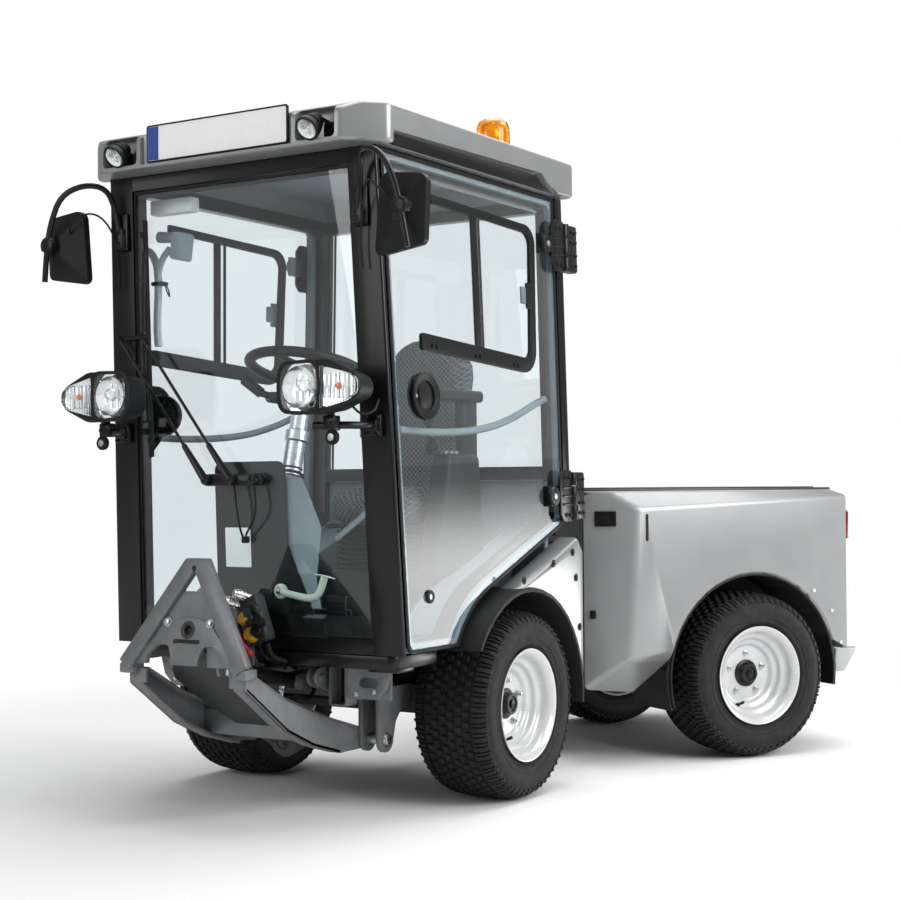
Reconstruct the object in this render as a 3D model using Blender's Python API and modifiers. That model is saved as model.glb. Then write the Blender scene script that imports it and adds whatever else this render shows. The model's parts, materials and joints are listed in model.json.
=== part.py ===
"""Implement carrier: a compact articulated municipal machine with a one-person cab.

Run with: blender --background --python part.py  (Blender 4.5, metres, +Z up).

The front half is modelled with its axle on Y = 0 and its nose towards -Y, so +X is the
vehicle's left. The rear half is modelled in its own frame, whose origin is the steering
pivot and whose +Y runs back along the rear half. The machine is parked with its steering
turned, so the rear frame is an empty that stands on the pivot and is turned about Z.
At the end everything is moved so that the origin is the centre of the bounding box's base.
"""

import math

import bmesh
import bpy
from mathutils import Matrix, Vector

# ---------------------------------------------------------------- driving dimensions
GAP = 0.0003                      # between pieces that touch
RUN = 0.006                       # running clearance between a moving piece and a fixed one

TYRE_RADIUS = 0.288
TYRE_WIDTH = 0.256
TYRE_OUTER_X = 0.588              # outer side wall, from the centre line
RIM_RADIUS = 0.172                # over the flanges
RIM_INSET = 0.090                 # from the tyre's side wall in to the disc
RIM_SKIN = 0.006
HUB_CAP = 0.030                   # how far the hub's cap stands out from the disc
TYRE_ROOM = 0.020                 # from the tyre's inner side wall to the arches' inner walls
AXLE_Z = 0.288

PIVOT_Y = 0.714                   # steering pivot, behind the front axle
REAR_AXLE_Y = 0.784               # behind the pivot
STEER_ANGLE = math.radians(-31.8)  # rear half as parked

CAB_SIDE_X = 0.531                # outer face of the doors at the sill
CAB_SIDE_LEAN = 0.0262            # inwards, per metre of height
CAB_FRONT_Y = -0.600              # front of the corner posts at the sill
CAB_FRONT_LEAN = 0.0502           # forwards, per metre of height
CAB_REAR_Y = 0.402
SILL_Z = 0.486
CAB_TOP_Z = 1.900
RAIL_HEIGHT = 0.044               # header rails under the roof
GLASS = 0.006

ROOF_HEIGHT = 0.112               # of the roof cap above the cab's frame
ROOF_TOP_Z = CAB_TOP_Z + ROOF_HEIGHT
PLATE_HALF = 0.260
LAMP_X = 0.354                    # work lamps in the roof's nose
ROOF_SIDE_X = 0.541
ROOF_REAR_Y = 0.412
ROOF_NOSE_Y = -0.772
ROOF_CORNER_Y = -0.684

ARCH_RADIUS = 0.345               # inside of the mudguards
ARCH_SKIN = 0.011
ARCH_INNER_X = TYRE_OUTER_X - TYRE_WIDTH - TYRE_ROOM   # inner walls of all four arches
FRAME_ARCH = ARCH_RADIUS + ARCH_SKIN + 0.017           # lower edge of the cab's frame round the wheel
DOOR_ARCH = FRAME_ARCH + 0.012                         # and of the door, about the axle
REAR_ARCH = ARCH_RADIUS + 0.017                        # edge of the rear side panels
SLOPE = math.radians(20.6)                             # of the cab's lower edge behind the wheel

CHASSIS_Z = (AXLE_Z + 0.047, AXLE_Z + 0.157)      # front frame rails, underside and top
REAR_RAIL_Z = (AXLE_Z + 0.057, AXLE_Z + 0.142)    # rear frame rails
LUG_PIN_Y = -0.341
LUG_PIN_Z = 0.206
LUG_X = (0.218, 0.280)            # middle planes of the two lug plates on each side
LUG_THICK = 0.012
PIN_RADIUS = 0.011

FRAME_FOOT = (0.231, -0.934, 0.466)   # lower corner of the quick-hitch triangle
FRAME_HEAD = (0.038, -0.869, 0.760)   # top corner

BODY_SIDE_X = 0.560               # outer face of the rear body
BODY_FRONT_Y = 0.150
BODY_REAR_Y = 1.190
BODY_TOP_Z = (0.875, 0.915)       # upper edge of the raised side faces, front and rear
BODY_FACE_Y = (0.262, 0.308)      # front edge of the raised side faces, foot and top
BODY_FLANK_Z = 0.367              # where the side rolls under
BODY_CORNER_X = 0.450             # front corners, where the slanted faces end
BODY_RAIL_X = 0.500               # top of the shoulders
BODY_SEAM_Z = 0.932
DECK_Z = 0.944
BODY_BOTTOM_Z = 0.262
PANEL_THICK = 0.008
ARCH_LIP = 0.013                  # how far the panel rolls in at the wheel arch
LINER_SKIN = 0.014

HINGE_Y = 0.386
HINGE_OUT = 0.020                 # hinge axis outside the door's face
HINGE_BANDS = ((0.845, 1.000), (1.660, 1.815))   # underside and top of the two hinges

HINGE_LEAF = 0.014                # thickness of the door's leaf
HINGE_LEAF_FRONT = 0.245
HINGE_STRIP = 0.012               # bare rear edge of the door's frame
KNUCKLE_RADIUS = 0.013

# Hydraulic cylinders: both pins in the frame of the half that carries the barrel.
BARREL_RADIUS = 0.022
PISTON_ROD_RADIUS = 0.012
EYE_RADIUS = 0.021
EYE_WIDTH = 0.030
CYLINDER_PIN_RADIUS = 0.009
PIN_PLAY = 0.0008
EAR_THICK = 0.009
LIFT_CYLINDER_X = 0.100
LIFT_CYLINDER_BASE = (-0.545, 0.390)             # y, z of the pin on the linkage bracket
LIFT_CYLINDER_TIP = (-0.830, 0.452)              # y, z of the pin on the hitch frame
LIFT_CYLINDER_STROKE = (0.030, 0.095)            # shorter and longer than as parked
STEER_CYLINDER_BASE = (0.262, 0.160)             # x, y of the pin on the front rail
STEER_CYLINDER_TIP = (0.200, 0.100)              # x, y of the pin in the rear half's frame
STEER_CYLINDER_Z = 0.388
STEER_CYLINDER_STROKE = (0.045, 0.255)

COLOURS = {                       # sRGB hex, roughness, metallic
    "body_silver": ("b9bbbc", 0.42, 0.35),
    "anthracite": ("3a3b3c", 0.55, 0.10),
    "frame_black": ("1d1e1f", 0.45, 0.20),
    "steel_grey": ("6b6d6e", 0.50, 0.40),
    "rim_white": ("d9dadb", 0.35, 0.30),
    "tyre": ("161718", 0.90, 0.0),
    "glass": ("9fb0b8", 0.05, 0.0),
    "plastic_black": ("151617", 0.60, 0.0),
    "interior_grey": ("7f8a90", 0.60, 0.0),
    "seat_fabric": ("2f3335", 0.85, 0.0),
    "amber": ("f0a010", 0.20, 0.0),
    "plate_white": ("e8e8e6", 0.45, 0.0),
    "rod_steel": ("c4c6c8", 0.20, 1.0),
}

for old in list(bpy.data.objects):
    bpy.data.objects.remove(old, do_unlink=True)

PARTS = bpy.data.collections.new("implement_carrier")
bpy.context.scene.collection.children.link(PARTS)


# ---------------------------------------------------------------- materials and helpers
def linear(channel):
    """One sRGB channel (0 to 1) as linear light."""
    return channel / 12.92 if channel <= 0.04045 else ((channel + 0.055) / 1.055) ** 2.4


def make_material(name):
    """Principled material from the COLOURS table."""
    found = bpy.data.materials.get(name)
    if found:
        return found
    code, roughness, metallic = COLOURS[name]
    rgb = [linear(int(code[i:i + 2], 16) / 255) for i in (0, 2, 4)]
    material = bpy.data.materials.new(name)
    material.use_nodes = True
    shader = material.node_tree.nodes["Principled BSDF"]
    shader.inputs["Base Color"].default_value = (*rgb, 1)
    shader.inputs["Roughness"].default_value = roughness
    shader.inputs["Metallic"].default_value = metallic
    material.diffuse_color = (*rgb, 1)
    return material


def link_object(name, data):
    """Put a new object with this mesh or curve in the parts' collection."""
    obj = bpy.data.objects.new(name, data)
    PARTS.objects.link(obj)
    return obj


def adopt(obj):
    """Move a new primitive into the parts' collection."""
    for holder in list(obj.users_collection):
        holder.objects.unlink(obj)
    PARTS.objects.link(obj)
    return obj


def settle(obj):
    """Turn an object with its modifiers and placing into a plain mesh in its half's frame.

    Points are rounded to a micrometre, so that faces meant to lie in one plane do.
    """
    bpy.context.view_layer.update()
    graph = bpy.context.evaluated_depsgraph_get()
    mesh = bpy.data.meshes.new_from_object(obj.evaluated_get(graph))
    mesh.transform(obj.matrix_world)
    bm = bmesh.new()
    bm.from_mesh(mesh)
    for vertex in bm.verts:
        vertex.co = [round(value, 6) for value in vertex.co]
    bmesh.ops.remove_doubles(bm, verts=bm.verts, dist=2e-6)
    bmesh.ops.recalc_face_normals(bm, faces=bm.faces)
    bm.to_mesh(mesh)
    bm.free()
    name = obj.name
    bpy.data.objects.remove(obj, do_unlink=True)
    return link_object(name, mesh)


def combine(base, tools, operation):
    """Join tools to base, or cut them from it, and remove them."""
    for tool in tools:
        change = base.modifiers.new(operation.lower(), "BOOLEAN")
        change.operation = operation
        change.solver = "EXACT"
        change.object = tool
        base = settle(base)
        bpy.data.objects.remove(tool, do_unlink=True)
    return base


def fuse(base, *tools):
    return combine(base, tools, "UNION")


def cut(base, *tools):
    return combine(base, tools, "DIFFERENCE")


def soften_picked(obj, width, segments, weigh):
    """Round some edges: weigh takes an edge's ends and returns the share of width, or 0."""
    shares = obj.data.attributes.new("bevel_weight_edge", "FLOAT", "EDGE")
    for edge in obj.data.edges:
        a, b = (obj.data.vertices[i].co for i in edge.vertices)
        shares.data[edge.index].value = weigh(a, b)
    bevel = obj.modifiers.new("soften", "BEVEL")
    bevel.width = width
    bevel.segments = segments
    bevel.limit_method = "WEIGHT"
    return settle(obj)


def soften(obj, width, segments=2, angle=40):
    """Round an object's sharp edges."""
    bevel = obj.modifiers.new("soften", "BEVEL")
    bevel.width = width
    bevel.segments = segments
    bevel.limit_method = "ANGLE"
    bevel.angle_limit = math.radians(angle)
    return settle(obj)


def block(name, low, high):
    """Box between two corners, with its origin in its middle."""
    bpy.ops.mesh.primitive_cube_add(size=1)
    obj = adopt(bpy.context.object)
    obj.name = name
    obj.location = [(a + b) / 2 for a, b in zip(low, high)]
    obj.scale = [abs(b - a) for a, b in zip(low, high)]
    return settle(obj)


def rod(name, start, end, radius, sides=20, end_radius=None):
    """Cylinder or cone from one point to another."""
    start, end = Vector(start), Vector(end)
    mesh = bpy.data.meshes.new(name)
    bm = bmesh.new()
    bmesh.ops.create_cone(
        bm, cap_ends=True, segments=sides, radius1=radius,
        radius2=radius if end_radius is None else end_radius, depth=(end - start).length)
    bm.to_mesh(mesh)
    bm.free()
    obj = link_object(name, mesh)
    obj.location = (start + end) / 2
    obj.rotation_mode = "QUATERNION"
    obj.rotation_quaternion = (end - start).to_track_quat("Z", "Y")
    return settle(obj)


def arc(centre, radius, start, end, steps):
    """Points of an arc, angles in degrees."""
    points = []
    for i in range(steps + 1):
        angle = math.radians(start + (end - start) * i / steps)
        points.append((centre[0] + radius * math.cos(angle), centre[1] + radius * math.sin(angle)))
    return points


def rounded(corners, steps=3):
    """Outline from corners (u, v, radius): each corner with a radius becomes an arc."""
    points = []
    count = len(corners)
    for i, (u, v, radius) in enumerate(corners):
        here = Vector((u, v))
        if radius <= 0:
            points.append((u, v))
            continue
        before = (Vector(corners[i - 1][:2]) - here).normalized()
        after = (Vector(corners[(i + 1) % count][:2]) - here).normalized()
        half = before.angle(after) / 2
        reach = radius / math.tan(half)
        middle = here + (before + after).normalized() * radius / math.sin(half)
        first, last = here + before * reach - middle, here + after * reach - middle
        sweep = first.angle_signed(last)
        for k in range(steps + 1):
            points.append(tuple(middle + Matrix.Rotation(-sweep * k / steps, 2) @ first))
    return points


PLANES = {                        # local x, y and z of an outline's plane
    "YZ": Matrix(((0, 0, 1, 0), (1, 0, 0, 0), (0, 1, 0, 0), (0, 0, 0, 1))),
    "XZ": Matrix(((1, 0, 0, 0), (0, 0, -1, 0), (0, 1, 0, 0), (0, 0, 0, 1))),
    "XY": Matrix.Identity(4),
}


def plate(name, plane, loops, start, end):
    """Flat piece: the first outline with the others as holes, from start to end across it."""
    curve = bpy.data.curves.new(name, "CURVE")
    curve.dimensions = "2D"
    curve.fill_mode = "BOTH"
    curve.extrude = abs(end - start) / 2
    for loop in loops:
        spline = curve.splines.new("POLY")
        spline.points.add(len(loop) - 1)
        for point, (u, v) in zip(spline.points, loop):
            point.co = (u, v, 0, 1)
        spline.use_cyclic_u = True
    obj = link_object(name, curve)
    basis = PLANES[plane]
    normal = Vector((abs(basis[0][2]), abs(basis[1][2]), abs(basis[2][2])))
    obj.matrix_world = Matrix.Translation(normal * (start + end) / 2) @ basis
    return settle(obj)


def turned(name, profile, centre, sides=40):
    """Closed profile (x, radius) turned about an X axis through centre."""
    mesh = bpy.data.meshes.new(name)
    count = len(profile)
    mesh.from_pydata([(x, 0, r) for x, r in profile], [(i, (i + 1) % count) for i in range(count)], [])
    obj = link_object(name, mesh)
    obj.location = centre
    screw = obj.modifiers.new("turn", "SCREW")
    screw.axis = "X"
    screw.angle = math.tau
    screw.steps = screw.render_steps = sides
    screw.use_merge_vertices = True
    screw.merge_threshold = 0.00005
    return settle(obj)


def tube(name, points, radius, smooth=0, resolution=2):
    """Round bar or tube through points; corners are eased by smooth rounds of averaging."""
    path = [Vector(p) for p in points]
    for _ in range(smooth):
        eased = [path[0]]
        for a, b in zip(path, path[1:]):
            eased += [a.lerp(b, 0.25), a.lerp(b, 0.75)]
        eased.append(path[-1])
        path = eased
    curve = bpy.data.curves.new(name, "CURVE")
    curve.dimensions = "3D"
    curve.bevel_depth = radius
    curve.bevel_resolution = resolution
    curve.use_fill_caps = True
    spline = curve.splines.new("POLY")
    spline.points.add(len(path) - 1)
    for point, co in zip(spline.points, path):
        point.co = (*co, 1)
    return settle(link_object(name, curve))


def placing(empty):
    """Where a pivot stands in its half's frame."""
    matrix = empty.matrix_basis.copy()
    while empty.parent not in (FRONT, REAR):
        empty = empty.parent
        matrix = empty.matrix_basis @ matrix
    return matrix


def finish(obj, name, material, parent, smooth=35):
    """Name a piece, give it its material and hang it on its body's empty."""
    obj.name = name
    obj.data.name = name
    obj.data.materials.clear()
    obj.data.materials.append(make_material(material))
    obj.data.shade_smooth()
    obj.data.set_sharp_from_angle(angle=math.radians(smooth))
    points = [vertex.co for vertex in obj.data.vertices]
    middle = Vector([(min(p[i] for p in points) + max(p[i] for p in points)) / 2 for i in range(3)])
    if parent in (FRONT, REAR):
        obj.data.transform(Matrix.Translation(-middle))
        obj.location = middle
    else:
        obj.data.transform(placing(parent).inverted())
    obj.parent = parent
    return obj


def finish_pair(obj, name, material, parent):
    """Finish a piece of the left side and its mirror image on the right."""
    other = link_object(name, obj.data.copy())
    other.data.transform(Matrix.Scale(-1, 4, Vector((1, 0, 0))))
    other.data.flip_normals()
    finish(obj, name + "_left", material, parent)
    finish(other, name + "_right", material, parent)


def pivot(name, location, parent=None, rotation=(0, 0, 0)):
    """Empty that stands on a joint's axis and carries that body."""
    obj = link_object(name, None)
    obj.location = location
    obj.rotation_euler = rotation
    obj.parent = parent
    return obj


SIDES = (("left", 1), ("right", -1))


FRONT = pivot("front_half", (0, 0, 0))
REAR = pivot("rear_half", (0, PIVOT_Y, 0), FRONT, (0, 0, STEER_ANGLE))


# ---------------------------------------------------------------- wheels
def tyre_profile():
    """Closed section (x, radius) of a tyre; its bead follows the rim's flange."""
    half, flange = TYRE_WIDTH / 2, RIM_RADIUS
    side = [(half - 0.036, flange - 0.0155), (half - 0.006, flange + 0.001), (half, TYRE_RADIUS - 0.070),
            (half - 0.006, TYRE_RADIUS - 0.026), (half - 0.024, TYRE_RADIUS - 0.008), (half - 0.060, TYRE_RADIUS)]
    return side + [(-x, r) for x, r in reversed(side)]


def rim_profile():
    """Closed section (x, radius) of a rim: flanges, bed, well, and a disc with its hub cap."""
    half, flange, skin = TYRE_WIDTH / 2, RIM_RADIUS, RIM_SKIN
    disc = half - RIM_INSET
    seat, well = flange - 0.017, flange - 0.040
    return [(half - 0.005, flange), (half - 0.036, seat), (half - 0.066, seat), (half - 0.082, well),
            (-half + 0.060, well), (-half + 0.036, seat), (-half + 0.005, flange),
            (-half + 0.005, flange - skin), (-half + 0.064, well - skin), (disc - skin, well - skin),
            (disc - skin, 0.0), (disc + HUB_CAP, 0.0), (disc + HUB_CAP, 0.034), (disc, 0.038),
            (disc, well - skin - 0.008), (half - 0.060, seat - skin), (half - 0.005, flange - skin)]


def wheel_meshes():
    """Meshes of a tyre and a rim about their own centre, outer side towards +X."""
    meshes = {}
    for name, profile, sides, material in (("tyre", tyre_profile(), 32, "tyre"),
                                           ("rim", rim_profile(), 24, "rim_white")):
        piece = finish(turned(name, profile, (0, 0, 0), sides), name, material, FRONT)
        piece.data.transform(Matrix.Translation(piece.location))
        meshes[name] = piece.data
        bpy.data.objects.remove(piece)
    return meshes


def make_wheel(name, parent, side, y, meshes):
    """Tyre and rim of one wheel on its own empty at the hub; the right ones are turned about."""
    hub = pivot("wheel_" + name, (side * (TYRE_OUTER_X - TYRE_WIDTH / 2), y, AXLE_Z), parent)
    for piece, mesh in meshes.items():
        obj = link_object(piece + "_" + name, mesh)
        obj.rotation_euler.z = 0 if side > 0 else math.pi
        obj.parent = hub
    return hub


WHEEL_MESHES = wheel_meshes()
for side_name, side in SIDES:
    make_wheel("front_" + side_name, FRONT, side, 0, WHEEL_MESHES)
    make_wheel("rear_" + side_name, REAR, side, REAR_AXLE_Y, WHEEL_MESHES)


def make_axle(name, parent, y):
    """Axle beam with a wheel motor at each end; the motors reach the rims' discs."""
    reach = TYRE_OUTER_X - RIM_INSET - 0.006 - GAP
    beam = block(name, (-0.30, y - 0.045, AXLE_Z - 0.045), (0.30, y + 0.045, AXLE_Z + 0.045))
    for side in (1, -1):
        motor = rod("motor", (side * 0.27, y, AXLE_Z), (side * (reach - 0.03), y, AXLE_Z), 0.085, 16)
        nose = rod("nose", (side * (reach - 0.04), y, AXLE_Z), (side * reach, y, AXLE_Z), 0.060, 16)
        beam = fuse(beam, motor, nose)
    return finish(beam, name, "frame_black", parent)


make_axle("front_axle", FRONT, 0)
make_axle("rear_axle", REAR, REAR_AXLE_Y)


# ---------------------------------------------------------------- cylinders
def clevis(plane, root, half_root, eye, middle, across, pinned):
    """Two ears either side of a cylinder's eye, with their pin where the barrel turns.

    In the ears' plane, root is the middle of the edge on the piece that carries them,
    half_root is half that edge's length and eye is the pin's place. Middle is the
    cylinder's place along across, the pin's direction.
    """
    root, hub, across = Vector(root), Vector(eye), Vector(across)
    out = (hub - root).normalized()
    away = math.degrees(math.atan2(out.y, out.x))
    left = Vector((-out.y, out.x)) * half_root
    outline = [tuple(root + left)] + arc(eye, EYE_RADIUS + 0.003, away + 80, away - 80, 6) + [tuple(root - left)]
    near = EYE_WIDTH / 2 + 0.0005
    far = near + EAR_THICK
    pieces = [plate("ear", plane, [outline], middle + end * near, middle + end * far) for end in (1, -1)]
    if pinned:
        centre = PLANES[plane] @ Vector((*eye, 0)) + across * middle
        pieces.append(rod("pin", centre - across * (far + 0.004), centre + across * (far + 0.004),
                          CYLINDER_PIN_RADIUS, 12))
    return pieces


def make_cylinder(name, parent, base, tip, across, stroke):
    """Barrel on its pin, and a piston rod in its bore; stroke is what it shortens and lengthens by."""
    base, tip, across = Vector(base), Vector(tip), Vector(across)
    length = (tip - base).length
    along = (tip - base).normalized()
    mouth = length - EYE_RADIUS - stroke[0] - 0.018
    neck = EYE_RADIUS + 0.010
    barrel_pivot = pivot(name + "_barrel_pivot", base, parent)
    rod_pivot = pivot(name + "_rod_pivot", (0, 0, 0), barrel_pivot)
    barrel = rod("barrel", base + along * neck, base + along * mouth, BARREL_RADIUS, 16)
    shank = rod("shank", base + along * 0.012, base + along * (neck + 0.005), EYE_WIDTH / 2 - 0.002, 12)
    eye = rod("eye", base - across * EYE_WIDTH / 2, base + across * EYE_WIDTH / 2, EYE_RADIUS, 16)
    bore = rod("bore", base + along * (neck + 0.012), base + along * (mouth + 0.02),
               PISTON_ROD_RADIUS + PIN_PLAY, 12)
    hole = rod("hole", base - across * EYE_WIDTH, base + across * EYE_WIDTH, CYLINDER_PIN_RADIUS + PIN_PLAY, 12)
    finish(cut(fuse(barrel, shank, eye), bore, hole), name + "_barrel", "steel_grey", barrel_pivot)
    piston = rod("piston", base + along * (neck + 0.015 + stroke[0]), tip, PISTON_ROD_RADIUS, 12)
    end = rod("end", tip - across * EYE_WIDTH / 2, tip + across * EYE_WIDTH / 2, EYE_RADIUS, 16)
    finish(fuse(piston, end), name + "_rod", "rod_steel", rod_pivot)


# ---------------------------------------------------------------- front frame
def make_front_chassis():
    """Two rails, cross members, the fork for the steering pivot and the feet of the axle."""
    low, high = CHASSIS_Z
    base = block("front_chassis", (0.13, -0.46, low), (0.19, 0.42, high))
    parts = [block("rail", (-0.19, -0.46, low), (-0.13, 0.42, high)),
             block("nose_member", (-0.205, -0.475, low), (0.205, -0.415, high)),
             block("tail_member", (-0.15, 0.40, low - 0.10), (0.15, 0.52, high)),
             block("saddle", (-0.19, -0.06, AXLE_Z + 0.045 + GAP), (0.19, 0.06, high))]
    for z in (low - 0.10, high - 0.03):
        ear = plate("ear", "XY", [[(-0.12, 0.50), (0.12, 0.50)] + arc((0, PIVOT_Y), 0.06, 0, 180, 8)],
                    z, z + 0.03)
        parts.append(ear)
    x, y = STEER_CYLINDER_BASE
    parts += clevis("XY", (0.185, y), 0.030, (x, y), STEER_CYLINDER_Z, (0, 0, 1), True)
    return finish(fuse(base, *parts), "front_chassis", "frame_black", FRONT)


def lug_outline(foot_z, top_z, back_y):
    """Side view of a lug plate: a wide top running down to a round eye."""
    eye = (LUG_PIN_Y, LUG_PIN_Z)
    radius = LUG_PIN_Z - foot_z
    return ([(LUG_PIN_Y - 0.038, top_z), (LUG_PIN_Y - radius, LUG_PIN_Z)]
            + arc(eye, radius, 180, 360, 8)[1:]
            + [(LUG_PIN_Y + 0.052, 0.255), (LUG_PIN_Y + 0.085, 0.292), (back_y, 0.300), (back_y, top_z)])


def make_linkage_bracket():
    """Cross member, square receivers, lug plates and pins that carry the front lift."""
    top = CHASSIS_Z[1] - GAP
    back = -0.475 - GAP
    bracket = block("linkage_bracket", (-0.40, back - 0.010, 0.345), (0.40, back, top))
    for _, side in SIDES:
        middle = side * sum(LUG_X) / 2
        outer = rounded([(middle - 0.031, 0.325, 0.008), (middle + 0.031, 0.325, 0.008),
                         (middle + 0.031, top, 0.008), (middle - 0.031, top, 0.008)], 2)
        inner = rounded([(middle - 0.025, 0.331, 0.004), (middle + 0.025, 0.331, 0.004),
                         (middle + 0.025, top - 0.006, 0.004), (middle - 0.025, top - 0.006, 0.004)], 1)
        receiver = plate("receiver", "XZ", [outer, inner], back - 0.060, back - 0.005)
        edge = middle + side * 0.030
        cheek = [(edge, top - 0.004), (edge, 0.350), (edge + side * 0.100, 0.350), (edge + side * 0.135, 0.385),
                 (edge + side * 0.150, top - 0.004)]
        ends = sorted((middle + side * 0.120, middle + side * 0.085))
        oval = arc((ends[1], 0.398), 0.015, -90, 90, 6) + arc((ends[0], 0.398), 0.015, 90, 270, 6)
        flange = plate("flange", "XZ", [cheek, oval], back - 0.052, back - 0.042)
        far = edge + side * 0.190
        shelf = plate("shelf", "XY", [[(edge, back - 0.056), (far, back - 0.040), (far, back - 0.002),
                                       (edge, back - 0.001)]], top - 0.0085, top - 0.0005)
        bracket = fuse(bracket, receiver, flange, shelf)
        for x in LUG_X:
            hole = arc((LUG_PIN_Y, LUG_PIN_Z), PIN_RADIUS + 0.0008, 0, 330, 11)
            lug = plate("lug", "YZ", [lug_outline(0.168, 0.360, -0.20), hole],
                        side * x - LUG_THICK / 2, side * x + LUG_THICK / 2)
            web = block("web", (side * x - LUG_THICK / 2, back - 0.001, 0.340),
                        (side * x + LUG_THICK / 2, -0.30, 0.360))
            bracket = fuse(bracket, web, lug)
    y, z = LIFT_CYLINDER_BASE
    bracket = fuse(bracket, *clevis("YZ", (back - 0.005, z), 0.028, (y, z), LIFT_CYLINDER_X, (1, 0, 0), True))
    return finish(bracket, "linkage_bracket", "steel_grey", FRONT)


make_front_chassis()


# ---------------------------------------------------------------- cab
def lean_cab(obj):
    """Move a piece drawn in an upright cab to the real one, whose sides and front lean."""
    for vertex in obj.data.vertices:
        vertex.co = leaned(*vertex.co)
    return obj


def leaned(x, y, z):
    """Where a point drawn in the upright cab ends up."""
    rise = z - SILL_Z
    share = (CAB_REAR_Y - y) / (CAB_REAR_Y - CAB_FRONT_Y)
    return Vector((x * (1 - CAB_SIDE_LEAN * rise / CAB_SIDE_X), y - CAB_FRONT_LEAN * rise * share, z))


def slope_height(radius, y):
    """Height of the slope that leaves an arch of this radius, at a distance behind the axle."""
    return AXLE_Z + radius / math.cos(SLOPE) + y * math.tan(SLOPE)


def side_outline(front, foot, radius, back, top, corner=0.0, corner_top=0.0):
    """Outline of the cab's side: foot, wheel arch, slope up to the rear post, and roof line."""
    first = 180 - math.degrees(math.asin((foot - AXLE_Z) / radius))
    curve = arc((0.0, AXLE_Z), radius, first, 90 + math.degrees(SLOPE), 7)
    meet = slope_height(radius, back)
    return rounded([(front, top, corner_top), (front, foot, corner)] + [(*point, 0) for point in curve]
                   + [(back, meet, corner), (back, top, corner_top)])


DOOR_THICK = 0.028
FRAME_X = (0.450, CAB_SIDE_X - DOOR_THICK - RUN)
SIDE_RAIL = 0.045
REAR_POST = 0.046                 # depth of the rear posts and the bars between them
POST_INNER_X = 0.431
REAR_POST_INNER_X = 0.445
WINDOW_Z = 1.020                  # lower edge of the rear window


def make_cab_frame():
    """Door rings on both sides with corner posts, joined by headers, a sill and a rear bar."""
    front = CAB_FRONT_Y
    span = FRAME_X[0] + 0.02
    frame = block("cab_frame", (-span, front - 0.011, SILL_Z + 0.001),
                  (span, front + 0.030, SILL_Z + SIDE_RAIL - 0.001))
    header_z = CAB_TOP_Z - RAIL_HEIGHT + 0.001
    bar_y = CAB_REAR_Y - REAR_POST + 0.001
    bars = [block("header", (-span, front - 0.011, header_z), (span, front + 0.040, CAB_TOP_Z - 0.003)),
            block("rear_header", (-span, bar_y, header_z), (span, CAB_REAR_Y - 0.003, CAB_TOP_Z - 0.003)),
            block("rear_bar", (-span, bar_y, WINDOW_Z - SIDE_RAIL), (span, CAB_REAR_Y - 0.003, WINDOW_Z))]
    for _, side in SIDES:
        outer = side_outline(front + 0.003, SILL_Z + 0.002, FRAME_ARCH, CAB_REAR_Y - 0.002, CAB_TOP_Z - 0.002)
        inner = side_outline(front + 0.055, SILL_Z + SIDE_RAIL, FRAME_ARCH + SIDE_RAIL,
                             CAB_REAR_Y - REAR_POST, CAB_TOP_Z - RAIL_HEIGHT)
        ring = plate("ring", "YZ", [outer, inner], side * FRAME_X[0], side * FRAME_X[1])
        lip = rounded([(side * POST_INNER_X, front - 0.012, 0), (side * (CAB_SIDE_X - 0.002), front - 0.012, 0.007),
                       (side * (CAB_SIDE_X - 0.002), front, 0.003), (side * 0.488, front, 0),
                       (side * 0.488, front + 0.050, 0), (side * POST_INNER_X, front + 0.050, 0)])
        post = plate("post", "XY", [lip], SILL_Z + GAP, CAB_TOP_Z)
        foot = slope_height(FRAME_ARCH, CAB_REAR_Y - 0.002) + 0.001
        rear_post = block("rear_post", (side * REAR_POST_INNER_X, CAB_REAR_Y - 0.040, foot),
                          (side * (CAB_SIDE_X - 0.002), CAB_REAR_Y, CAB_TOP_Z - 0.001))
        frame = fuse(frame, ring, post, rear_post)
        axis_x = side * (CAB_SIDE_X + HINGE_OUT)
        for band in HINGE_BANDS:
            for low, high in ((band[0], band[0] + 0.044), (band[1] - 0.044, band[1])):
                leaf = block("leaf", (side * (CAB_SIDE_X - 0.010), HINGE_Y, low),
                             (side * (CAB_SIDE_X + HINGE_OUT), HINGE_Y + 0.068, high))
                knuckle = rod("knuckle", (axis_x, HINGE_Y, low), (axis_x, HINGE_Y, high), KNUCKLE_RADIUS, 10)
                frame = fuse(frame, leaf, knuckle)
    frame = fuse(frame, *bars)
    return finish(lean_cab(frame), "cab_frame", "frame_black", FRONT)


def make_windows():
    """Windscreen and rear window, each between its posts."""
    front = CAB_FRONT_Y
    edge = POST_INNER_X - GAP
    screen = block("windscreen", (-edge, front - 0.004, SILL_Z + SIDE_RAIL + GAP),
                   (edge, front + 0.002, CAB_TOP_Z - RAIL_HEIGHT - GAP))
    finish(lean_cab(screen), "windscreen", "glass", FRONT)
    edge = REAR_POST_INNER_X - GAP
    rear = block("rear_window", (-edge, CAB_REAR_Y - 0.020, WINDOW_Z + GAP),
                 (edge, CAB_REAR_Y - 0.014, CAB_TOP_Z - RAIL_HEIGHT - GAP))
    finish(lean_cab(rear), "rear_window", "glass", FRONT)


def make_rear_wall():
    """Moulded wall behind the seat, under the rear window."""
    edge = REAR_POST_INNER_X - GAP
    wall = block("cab_rear_wall", (-edge, CAB_REAR_Y - 0.030, 0.530),
                 (edge, CAB_REAR_Y - 0.004, WINDOW_Z - SIDE_RAIL - GAP))
    low_edge = ARCH_INNER_X - 0.022
    lower = block("lower", (-low_edge, CAB_REAR_Y - 0.030, FLOOR_TOP + GAP), (low_edge, CAB_REAR_Y - 0.004, 0.54))
    wall = fuse(wall, lower)
    return finish(lean_cab(wall), "cab_rear_wall", "interior_grey", FRONT)


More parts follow.
